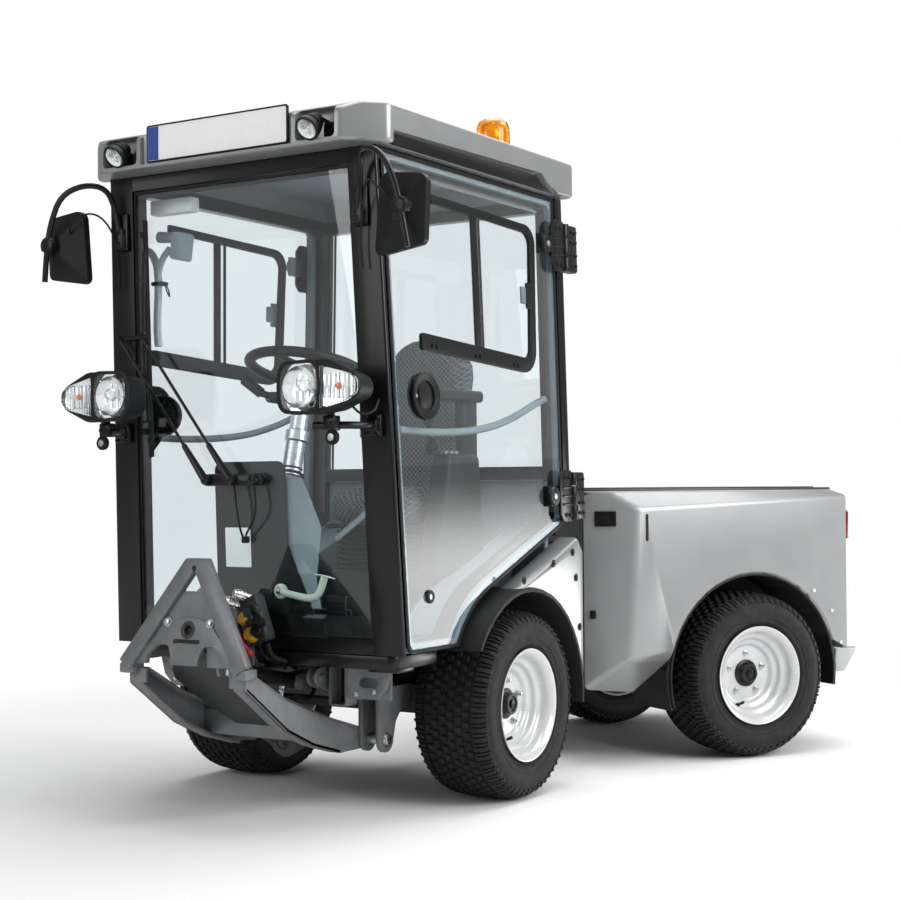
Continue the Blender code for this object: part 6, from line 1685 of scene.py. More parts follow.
        fan = lathe("fan", [(0, 0), (0.050, 0), (0.064, 0.008), (0.066, 0.026), (0.060, 0.032), (0.050, 0.022),
                            (0.014, 0.028), (0, 0.030)], (-0.415, -0.520, 1.180), (0.25, -1, 0.05), 40)
        blades = []
        for i in range(6):
            angle = math.radians(60 * i)
            centre = Vector((-0.415, -0.546, 1.180))
            way = Vector((math.cos(angle), 0, math.sin(angle)))
            blades.append(bar("blade", centre + way * 0.012, centre + way * 0.058, 0.004, 0.006, 8))
        stalk = pipe("stalk", [(-0.415, -0.512, 1.180), (-0.440, -0.500, 1.130), (-0.470, -0.520, 1.080)], 0.010, 2)
        self.put(gather("fan", [fan, stalk, *blades]), "small_fan", GRAINED_BLACK)

    def wheel_boxes(self) -> None:
        """Builds the inner covers of both wheel arches, up to the rear wall."""
        slope = math.tan(CAB.slope)
        crest = CAB.axle_z + 0.3705 / math.cos(CAB.slope)
        top = arc((0.0, CAB.axle_z), 0.3705, 152, 90 + math.degrees(CAB.slope), 18) + [(0.3715, crest + 0.3715 * slope)]
        low = [(y + 0.0015, z - 0.0065) for y, z in reversed(top)]
        shell = side_plate("shell", top + low, 0.3135, 0.4490)
        wall = side_plate("wall", top + [(0.3715, 0.470), (-0.320, 0.470)], 0.3015, 0.3130)
        pair(gather("box", [ease(shell, 0.002, 2, 60), ease(wall, 0.003, 2, 60)]), "wheel_box", CAB_TRIM, "front",
             DATUM.front, 30)

    def build(self) -> None:
        """Builds everything inside the cab."""
        self.console()
        self.column()
        self.wheel()
        self.pedals()
        self.armrest()
        self.seat_pedestal()
        self.seat()
        self.grab_tubes()
        self.wheel_boxes()
        install(recast("cab_rear_wall", 0.004, 2), "rear_wall_moulding", CAB_TRIM, "front", None, 34,
                ["cab_rear_wall"])
        install(recast("cab_floor", 0.004, 2), "floor_pan", BLACK_COAT, "front", None, 34, ["cab_floor"])
        mat = block("mat", (-0.430, -0.560, self.floor_top), (0.430, -0.385, self.floor_top + 0.004), 0.0015)
        ribs = [block("rib", (-0.420, y, self.floor_top + 0.0035), (0.420, y + 0.005, self.floor_top + 0.006))
                for y in (-0.55, -0.53, -0.51, -0.49, -0.47, -0.45, -0.43, -0.41)]
        self.put(gather("mat", [mat, *ribs]), "ribbed_mat", FLOOR_MAT)


# ------------------------------------------------------------------ wheel arches
@dataclass
class Arches:
    """Front mudguards with their beads, and the quarter panels behind them."""

    axle_z: float = 0.288
    outer: float = 0.356
    outer_x: float = 0.588

    def build(self) -> None:
        """Builds both sides."""
        for side in ("left", "right"):
            install(recast("fender_" + side, 0.0015, 2), "mudguard_" + side, MUDGUARD_BLACK, "front",
                    None, 30, ["fender_" + side])
            install(recast("quarter_panel_" + side, 0.0035, 3), "quarter_skin_" + side, SILVER_PANEL, "front",
                    None, 24, ["quarter_panel_" + side])
        path = [(self.outer_x - 0.0042, y, z) for y, z in arc((0, self.axle_z), self.outer - 0.0055, 146, -4, 40)]
        pair(pipe("bead", path, 0.0040, 0, 3), "mudguard_bead", MUDGUARD_BLACK, "front", DATUM.front)
        face = self.outer_x - 0.010
        for i, (y, z) in enumerate(((-0.020, 0.668), (0.170, 0.712), (0.300, 0.742), (0.322, 0.660), (0.345, 0.500))):
            well = lathe("well", [(0, 0.0004), (0.0125, 0.0004), (0.0125, 0.0016), (0.0105, 0.0022), (0.0092, 0.0010),
                                  (0, 0.0008)], (face, y, z), (1, 0, 0), 24)
            pair(well, f"quarter_well_{i}", SEAL_RUBBER, "front", DATUM.front)
            screw = socket_screw((face + 0.0008, y, z), (1, 0, 0), 0.0058)
            pair(screw, f"quarter_screw_{i}", BLACK_COAT, "front", DATUM.front)


# ------------------------------------------------------------------ front linkage
@dataclass
class QuickHitch:
    """Quick-hitch triangle on the nose of the lift: two bevelled bars about a recessed plate."""

    foot: tuple[float, float] = (0.231, 0.473)
    head: tuple[float, float] = (0.038, 0.760)
    bar_width: float = 0.050
    face_y: float = -0.9338
    low_z: float = 0.448
    lean: float = 0.221
    bore_z: float = 0.563
    facing: tuple[float, float, float] = (0, -1, 0.22)

    def tip(self, obj: bpy.types.Object) -> bpy.types.Object:
        """Leans a piece drawn upright back with the triangle, and returns it."""
        for vertex in obj.data.vertices:
            vertex.co.y += self.lean * (vertex.co.z - self.low_z)
        return obj

    def at(self, x: float, z: float, out: float = 0.0) -> Vector:
        """Returns a point on the leaning front face, moved forwards by out."""
        return Vector((x, self.face_y + self.lean * (z - self.low_z) - out, z))

    def bars(self) -> bpy.types.Object:
        """Makes the two flat bars, which meet in a flat top."""
        run = (Vector(self.head) - Vector(self.foot)).normalized()
        inwards = Vector((-run.y, run.x))
        if inwards.x > 0:
            inwards = -inwards
        foot, head = Vector(self.foot), Vector(self.head)
        inner_foot = foot + inwards * self.bar_width
        meet = inner_foot + run * (-inner_foot.x / run.x)
        pieces = []
        for side in (1, -1):
            outline = [(0.0, head.y), (side * head.x, head.y), (side * foot.x, foot.y),
                       (side * inner_foot.x, inner_foot.y), (side * meet.x, meet.y)]
            pieces.append(front_plate("bar", outline, self.face_y + 0.028, self.face_y))
        joined = pieces[0]
        modify(joined, "BOOLEAN", operation="UNION", solver="EXACT", object=pieces[1])
        bpy.data.objects.remove(pieces[1])
        with editing(joined, everything=True):
            bpy.ops.mesh.dissolve_limited(angle_limit=math.radians(1))
        hole = bar("hole", (0, self.face_y - 0.01, meet.y + 0.006), (0, self.face_y + 0.05, meet.y + 0.006), 0.008)
        return self.tip(carve(ease(joined, 0.0055, 2, 40), hole))

    def plates(self) -> bpy.types.Object:
        """Makes the recessed plate and the lower plate laid on it, with bore, slot and openings."""
        y = self.face_y
        upper = front_plate("upper", [(-0.192, 0.466), (0.192, 0.466), (0.041, 0.668), (-0.041, 0.668)], y + 0.026,
                            y + 0.014)
        brow = arc((0.0, 0.410), 0.188, 66, 114, 14)
        lower = front_plate("lower", [(-0.196, 0.466), (0.196, 0.466)] + brow, y + 0.015, y + 0.010)
        lower = ease(lower, 0.0015, 2, 60)
        tools = []
        for side in (1, -1):
            eye = rounded([(side * 0.140, 0.440, 0.0), (side * 0.135, 0.492, 0.018), (side * 0.100, 0.520, 0.022),
                           (side * 0.062, 0.520, 0.018), (side * 0.050, 0.486, 0.012), (side * 0.050, 0.440, 0.0)], 6)
            tools.append(front_plate("eye", eye, y - 0.02, y + 0.05))
        tools.append(front_plate("slot", rounded([(-0.048, 0.524, 0.003), (0.048, 0.524, 0.003), (0.048, 0.537, 0.003),
                                                  (-0.048, 0.537, 0.003)], 2), y - 0.02, y + 0.05))
        tools.append(bar("bore", (0, y - 0.02, self.bore_z), (0, y + 0.05, self.bore_z), 0.0155, None, 32))
        plate = gather("plates", [carve(upper, *[twin(tool) for tool in tools]), carve(lower, *tools)])
        return self.tip(plate)

    def build(self) -> None:
        """Builds the triangle with its bore, bolts and the cylinder's ears."""
        body, place = "lift", DATUM.front
        install(self.bars(), "hitch_bars", STEEL_ENAMEL, body, place, 30, ["hitch_frame"])
        install(self.plates(), "hitch_plates", STEEL_ENAMEL, body, place, 30)
        ring = lathe("ring", [(0.0155, -0.012), (0.027, -0.012), (0.027, -0.002), (0.024, 0.001), (0.0175, 0.001),
                              (0.0155, -0.001)], self.at(0, self.bore_z, -0.0095), self.facing, 36)
        install(ring, "hitch_ring", CAST_ENAMEL, body, place)
        bush = lathe("bush", [(0.0105, -0.016), (0.0153, -0.016), (0.0153, -0.0015), (0.0105, -0.0015)],
                     self.at(0, self.bore_z, -0.0095), self.facing, 32)
        install(bush, "hitch_bush", SEAL_RUBBER, body, place)
        bolts = [hex_bolt(self.at(side * 0.076, 0.582, -0.0102), self.facing, 0.0185, 0.0095) for side in (1, -1)]
        install(gather("bolts", bolts), "hitch_bolts", ZINC_PLATE, body, place, 25)
        ears = [side_plate("ear", [(-0.872, 0.470), (-0.872, 0.520), (-0.852, 0.520)]
                           + arc((-0.830, 0.452), 0.0215, 70, -90, 8) + [(-0.862, 0.434)], x, x + 0.009)
                for x in (0.100 - 0.0255, 0.100 + 0.0165)]
        pin = bar("pin", (0.068, -0.830, 0.452), (0.132, -0.830, 0.452), 0.0088, None, 20, 0.001)
        back = block("back", (0.070, -0.902, 0.462), (0.130, -0.868, 0.524), 0.002)
        install(gather("ears", [ease(ears[0], 0.001), ease(ears[1], 0.001), pin, back]), "hitch_ears", STEEL_ENAMEL,
                body, place)


@dataclass
class LiftArms:
    """Lift arms with their flanges, sloping belly plate, bearing boss and pivot shaft."""

    pin_y: float = -0.341
    pin_z: float = 0.206
    arm_x: float = 0.204

    def slope(self, y: float) -> float:
        """Returns the height of the belly plate's upper face at a distance along the machine."""
        return 0.520 - 0.80 * (y + 0.900)

    def belly(self) -> bpy.types.Object:
        """Makes the wide plate that runs down and back from the nose to the boss."""
        outline = [(-0.060, -0.894), (0.060, -0.894), (0.070, -0.840), (0.070, -0.640), (0.060, -0.500),
                   (-0.012, -0.500), (-0.120, -0.660), (-0.150, -0.780)]
        plate = trace("belly", [(x, y, self.slope(y)) for x, y in outline])
        return ease(push(plate, (0, -0.006, -0.012)), 0.003, 2)

    def arm(self, side: int) -> list[bpy.types.Object]:
        """Makes one arm: its web, the flange along its top and the gusset at its nose.

        Args:
            side: 1 for the left arm, -1 for the right one.

        Returns:
            Its pieces.
        """
        top = [(-0.372, 0.2390), (-0.52, 0.2895), (-0.735, 0.371), (-0.880, 0.4515)]
        low = [(-0.9045, 0.406), (-0.72, 0.271), (-0.60, 0.216), (-0.47, 0.1785)]
        outline = arc((self.pin_y, self.pin_z), 0.030, -70, 90, 12) + top[1:] + [(-0.9045, 0.4515)] + low
        web = ease(side_plate("web", outline, side * (self.arm_x - 0.007), side * (self.arm_x + 0.007)), 0.002)
        flange = side_plate("flange", top + [(y + 0.003, z - 0.011) for y, z in reversed(top)],
                            side * (self.arm_x - 0.046), side * (self.arm_x + 0.007))
        sole = side_plate("sole", low + [(y + 0.003, z + 0.010) for y, z in reversed(low)],
                          side * (self.arm_x - 0.040), side * (self.arm_x + 0.007))
        shoe = block("shoe", (side * self.arm_x - 0.026, -0.926, 0.436), (side * self.arm_x + 0.022, -0.874, 0.464),
                     0.004)
        return [web, ease(flange, 0.0025), ease(sole, 0.002), shoe]

    def build(self) -> None:
        """Builds the lift's arms."""
        body, place = "lift", DATUM.front
        pieces = [*self.arm(1), *self.arm(-1)]
        pieces.append(bar("cross", (-0.197, self.pin_y, self.pin_z), (0.197, self.pin_y, self.pin_z), 0.026, None, 40,
                          0.002))
        pieces += [block("nose", (side * 0.150, -0.9040, 0.409), (side * 0.199, -0.8935, 0.4488), 0.002)
                   for side in (1, -1)]
        pieces.append(block("tie", (-0.199, -0.600, 0.226), (0.199, -0.588, 0.300), 0.002))
        install(gather("arms", pieces), "lift_arm_pair", STEEL_ENAMEL, body, place, 30, ["lift_arms"])
        boss = lathe("boss", [(0, -0.060), (0.046, -0.060), (0.046, 0.0), (0.042, 0.005), (0.022, 0.006),
                              (0.020, 0.002), (0, 0.002)], (0.040, -0.520, 0.205), (0, -0.93, -0.20), 44)
        install(gather("belly", [self.belly(), boss]), "lift_belly", CAST_ENAMEL, body, place, 30)
        bolt = hex_bolt((0.040, -0.5225, 0.2045), (0, -0.93, -0.20), 0.020, 0.010)
        install(bolt, "lift_boss_bolt", CAST_ENAMEL, body, place, 25)
        shaft = [bar("shaft", (-0.297, self.pin_y, self.pin_z), (0.297, self.pin_y, self.pin_z), 0.0107, None, 28,
                     0.0008)]
        for side in (1, -1):
            shaft.append(bar("washer", (side * 0.2868, self.pin_y, self.pin_z), (side * 0.2893, self.pin_y, self.pin_z),
                             0.021, None, 32))
            shaft.append(bar("nut", (side * 0.2890, self.pin_y, self.pin_z), (side * 0.2975, self.pin_y, self.pin_z),
                             0.0175, None, 6, 0.001))
            shaft.append(bar("sleeve", (side * 0.2250, self.pin_y, self.pin_z), (side * 0.2735, self.pin_y, self.pin_z),
                             0.0150, None, 28))
        install(gather("shaft", shaft), "lift_shaft", ZINC_PLATE, body, place, 25)
        screw = [socket_screw((x, y, self.slope(y) + 0.0003), (0, -0.51, 0.86), 0.006)
                 for x, y in ((-0.040, -0.870), (-0.030, -0.740), (0.045, -0.800))]
        install(gather("screws", screw), "lift_belly_screws", ZINC_PLATE, body, place)


@dataclass
class Carrier:
    """What carries the front lift: cross member, square receivers, lug plates and fittings."""

    face_y: float = -0.4753
    top_z: float = 0.4447

    def fittings(self, side: int) -> list[bpy.types.Object]:
        """Makes the bolts on one receiver's shelf and flange.

        Args:
            side: 1 for the left receiver, -1 for the right one.

        Returns:
            The bolts.
        """
        middle = side * 0.249
        spots = [(middle + side * (0.030 + d), self.face_y - y)
                 for d, y in ((0.040, 0.028), (0.105, 0.026), (0.165, 0.022))]
        bolts = [hex_bolt((x, y, self.top_z - 0.0008), (0, 0, 1), 0.0135, 0.0075) for x, y in spots]
        bolts.append(hex_bolt((middle + side * 0.058, self.face_y - 0.0522, 0.362), (0, -1, 0), 0.0125, 0.006))
        bolts.append(hex_bolt((middle + side * 0.122, self.face_y - 0.0522, 0.372), (0, -1, 0), 0.0100, 0.005))
        return bolts

    def build(self) -> None:
        """Builds bracket, ears, bolts and the cab's mounts above them."""
        body, place = "front", DATUM.front
        install(recast("linkage_bracket", 0.0016, 2), "linkage_weldment", STEEL_ENAMEL, body, None, 30,
                ["linkage_bracket"])
        bolts = self.fittings(1) + self.fittings(-1)
        install(gather("bolts", bolts), "linkage_bolts", ZINC_PLATE, body, place, 25)
        ears = [side_plate("ear", [(self.face_y - 0.003, 0.352), (self.face_y - 0.003, 0.441)]
                           + arc((self.face_y - 0.076, 0.408), 0.029, 100, 262, 12), x, x + 0.008)
                for x in (0.170, 0.196)]
        pin = bar("pin", (0.160, self.face_y - 0.076, 0.408), (0.210, self.face_y - 0.076, 0.408), 0.010, None,
                  20, 0.001)
        ears = [ease(ear, 0.0012) for ear in ears]
        pair(gather("ears", [*ears, pin]), "linkage_ears", STEEL_ENAMEL, body, place)
        lining = [front_plate("lining", [(0.2265, 0.3335), (0.2715, 0.3335), (0.2715, 0.4355), (0.2265, 0.4355)],
                              self.face_y - 0.012, self.face_y - 0.010)]
        pair(gather("lining", lining), "receiver_floor", BLACK_COAT, body, place)
        mount = lathe("mount", [(0, 0), (0.034, 0), (0.036, 0.004), (0.036, 0.012), (0.028, 0.015), (0.028, 0.024),
                                (0.033, 0.027), (0.033, 0.034), (0, 0.034)], (0.452, -0.560, 0.4500), (0, 0, 1), 36)
        pair(mount, "cab_mount", SEAL_RUBBER, body, place)
        collar = lathe("collar", [(0.020, 0.0), (0.0385, 0.0), (0.0385, 0.006), (0.020, 0.006)],
                       (0.452, -0.560, 0.4790), (0, 0, 1), 36)
        pair(collar, "cab_mount_washer", ZINC_PLATE, body, place)
        stay = block("stay", (0.400, -0.600, 0.4380), (0.500, -0.515, 0.4505), 0.003)
        pair(stay, "cab_mount_stay", BLACK_COAT, body, place)


@dataclass
class LiftCylinder:
    """Double-acting lift cylinder: black barrel with gland and ports, chromed rod with its eye."""

    x: float = 0.100
    base: tuple[float, float] = (-0.545, 0.390)
    tip: tuple[float, float] = (-0.830, 0.452)
    eye_radius: float = 0.0205
    eye_reach: float = 0.0148

    def eye(self, middle: Vector) -> bpy.types.Object:
        """Makes the eye about one of the cylinder's pins."""
        half = Vector((self.eye_reach, 0, 0))
        return bar("eye", middle - half, middle + half, self.eye_radius, None, 36, 0.001)

    def build(self) -> None:
        """Builds barrel and rod on their own bodies."""
        place = DATUM.front
        foot, head = Vector((self.x, *self.base)), Vector((self.x, *self.tip))
        way = (head - foot).normalized()
        barrel_low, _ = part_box("lift_cylinder_barrel")
        reach = abs((DATUM.front.inverted() @ barrel_low).y - foot.y) - 0.004
        end = reach / abs(way.y)
        tube = lathe("tube", [(0, 0.012), (0.0205, 0.012), (0.0215, 0.016), (0.0215, end - 0.030),
                              (0.0218, end - 0.029), (0.0218, end - 0.004), (0.019, end), (0.0132, end),
                              (0.0132, end - 0.02), (0, end - 0.02)], foot, way, 40)
        install(gather("barrel", [tube, self.eye(foot)]), "lift_barrel_tube", BLACK_COAT, "lift_barrel",
                place, 34, ["lift_cylinder_barrel"])
        ports = []
        for share in (0.26, 0.86):
            root = foot + way * end * share + Vector((0, 0, -0.0205))
            ports += [bar("boss", root + Vector((0, 0, 0.003)), root - Vector((0, 0, 0.006)), 0.0085, None, 20),
                      bar("nut", root - Vector((0, 0, 0.005)), root - Vector((0, 0, 0.018)), 0.0095, None, 6, 0.0008),
                      bar("stub", root - Vector((0, 0, 0.017)), root - Vector((0, 0.004, 0.028)), 0.0055, None, 16)]
        install(gather("ports", ports), "lift_barrel_ports", ZINC_PLATE, "lift_barrel", place, 25)
        rod_piece = bar("rod", foot + way * (end * 0.45), head - way * 0.015, 0.0118, None, 36)
        install(gather("rod", [rod_piece, self.eye(head)]), "lift_rod_bar", HARD_CHROME, "lift_rod",
                place, 30, ["lift_cylinder_rod"])


@dataclass
class SteerCylinder:
    """Steering cylinder between the two halves."""

    def build(self) -> None:
        """Builds barrel and rod, each on its own body."""
        install(recast("steer_cylinder_barrel", 0.001, 2), "steer_barrel_tube", BLACK_COAT, "steer_barrel",
                None, 34, ["steer_cylinder_barrel"])
        install(recast("steer_cylinder_rod", 0.0006, 1), "steer_rod_bar", HARD_CHROME, "steer_rod", None,
                34, ["steer_cylinder_rod"])


@dataclass
class Coupler:
    """Bank of hydraulic quick couplings on its stand beside the hitch."""

    def coupling(self, foot: Point, way: Point, length: float) -> bpy.types.Object:
        """Turns one flat-face coupling: hexagon, knurled sleeve and nose.

        Args:
            foot: Where it leaves the block.
            way: Its direction.
            length: How far it stands out.

        Returns:
            The coupling.
        """
        profile = [(0, 0), (0.0125, 0), (0.0125, length * 0.25), (0.0155, length * 0.30), (0.0155, length * 0.42),
                   (0.0140, length * 0.45), (0.0140, length * 0.50), (0.0160, length * 0.53), (0.0160, length * 0.86),
                   (0.0135, length * 0.90), (0.0135, length), (0.0095, length), (0.0095, length * 0.93),
                   (0, length * 0.93)]
        return lathe("coupling", profile, foot, way, 36)

    def tilt(self, obj: bpy.types.Object) -> bpy.types.Object:
        """Tips a piece of the bank over to the right, and returns it."""
        return swing(obj, math.radians(20), "Y", (0.058, -0.67, 0.56))

    def build(self) -> None:
        """Builds stand, block, couplings, caps and hoses."""
        body, place = "front", DATUM.front
        stand = [block("foot", (0.005, -0.665, 0.4252), (0.045, -0.486, 0.4332), 0.001),
                 block("upright", (0.006, -0.6645, 0.426), (0.044, -0.6565, 0.520), 0.001),
                 side_plate("gusset", [(-0.657, 0.433), (-0.657, 0.500), (-0.610, 0.433)], 0.0205, 0.0275)]
        cheek = side_plate("cheek", rounded([(-0.690, 0.470, 0.006), (-0.632, 0.470, 0.006), (-0.640, 0.655, 0.02),
                                             (-0.676, 0.655, 0.02)]), -0.004, 0.004)
        bolts = [hex_bolt((-0.0045, y, z), (-1, 0, 0), 0.012, 0.006) for y, z in ((-0.648, 0.492), (-0.672, 0.530),
                                                                               (-0.655, 0.628))]
        install(gather("stand", [*stand, ease(cheek, 0.0015)]), "coupler_stand", STEEL_ENAMEL, body,
                place, 34, ["coupler_block"])
        bolts += [hex_bolt((x, -0.672, z), (0, -1, 0), 0.011, 0.006) for x, z in ((0.018, 0.470), (0.036, 0.490))]
        install(gather("bolts", bolts), "coupler_bolts", ZINC_PLATE, body, place, 25)
        valve = [block("valve", (0.018, -0.688, 0.508), (0.098, -0.640, 0.645), 0.010, 3)]
        valve += [lathe("button", [(0, 0), (0.012, 0), (0.012, 0.010), (0.009, 0.013), (0, 0.013)], (x, -0.690, z),
                        (0, -1, 0), 20) for x, z in ((0.030, 0.520), (0.098, 0.600), (0.098, 0.520))]
        valve += [block("latch", (0.052, -0.706, 0.560), (0.078, -0.688, 0.612), 0.004),
                  pipe("hook", [(0.080, -0.700, 0.612), (0.100, -0.716, 0.622), (0.112, -0.712, 0.600),
                                (0.104, -0.704, 0.584)], 0.004, 2, 3)]
        install(self.tilt(gather("valve", valve)), "coupler_valve", CAST_ENAMEL, body, place)
        chrome = [self.coupling((x, -0.672, z), (-0.42, -0.70, 0.45), length)
                  for x, z, length in ((0.034, 0.628, 0.056), (0.068, 0.640, 0.050))]
        install(self.tilt(gather("chrome", chrome)), "coupler_noses", HARD_CHROME, body, place, 25)
        dark = [self.coupling((x, -0.680, z), (0.25, -0.80, 0.35), 0.045) for x, z in ((0.088, 0.566), (0.080, 0.535))]
        dark += [pipe("hose", [(x, -0.660, 0.510), (x + 0.006, -0.650, 0.470), (x + 0.030, -0.600, 0.452),
                               (x + 0.045, -0.540, 0.440)], 0.0085, 3, 4) for x in (0.062, 0.092)]
        install(gather("dark", dark), "coupler_sleeves", SEAL_RUBBER, body, place, 25)
        lever = pipe("lever", [(0.010, -0.706, 0.618), (0.014, -0.714, 0.590), (0.026, -0.716, 0.550),
                               (0.030, -0.712, 0.515), (0.034, -0.706, 0.498)], 0.0062, 3, 4)
        knob = lathe("knob", [(0, -0.010), (0.008, -0.010), (0.012, -0.004), (0.012, 0.004), (0.008, 0.010),
                              (0, 0.010)], (0.036, -0.706, 0.488), (0, -0.3, 1), 24)
        install(self.tilt(gather("lever", [lever, knob])), "coupler_lever", RED_CAP, body, place)
        drum = [(0, 0.0), (0.019, 0.0), (0.021, 0.003), (0.017, 0.006), (0.017, 0.010), (0.021, 0.013), (0.017, 0.016),
                (0.017, 0.020), (0.021, 0.023), (0.019, 0.027), (0, 0.027)]
        caps = [lathe("cap", drum, (0.056, -0.688, 0.528), (0.1, -0.85, 0.5), 32),
                lathe("cap", drum[:7] + [(0, 0.016)], (0.046, -0.690, 0.585), (0.1, -0.85, 0.5), 32)]
        install(self.tilt(gather("caps", caps)), "coupler_caps", YELLOW_CAP, body, place, 30)


@dataclass
class FrontChassis:
    """Frame rails, axle, hoses and small hardware under the cab."""

    def build(self) -> None:
        """Builds the frame of the front half."""
        install(recast("front_chassis", 0.003, 2), "front_rails", BLACK_COAT, "front", None, 34,
                ["front_chassis"])
        install(recast("front_axle", 0.003, 2), "front_axle_casting", CAST_ENAMEL, "front", None, 40,
                ["front_axle"])
        hoses = [pipe("hose", [(x, -0.475, 0.415), (x - 0.01, -0.520, 0.452), (x - 0.05, -0.560, 0.456),
                               (x - 0.09, -0.530, 0.440), (x - 0.10, -0.478, 0.425)], 0.008, 3, 4)
                 for x in (0.060, 0.020, -0.040)]
        hoses += [pipe("hose", [(0.135, -0.487, 0.372), (0.150, -0.540, 0.335), (0.145, -0.560, 0.345),
                                (0.120, -0.566, 0.352)], 0.006, 3, 4)]
        install(gather("hoses", hoses), "front_hoses", SEAL_RUBBER, "front", DATUM.front)
        couplings = []
        for x, y, z in ((0.020, -0.500, 0.438), (-0.060, -0.500, 0.438), (0.165, -0.500, 0.440)):
            couplings += [bar("nut", (x, y, z), (x, y - 0.024, z + 0.006), 0.012, None, 6, 0.001),
                          bar("neck", (x, y - 0.022, z + 0.005), (x, y - 0.036, z + 0.008), 0.008, None, 20, 0.001)]
        install(gather("nuts", couplings), "hose_nuts", ZINC_PLATE, "front", DATUM.front, 25)


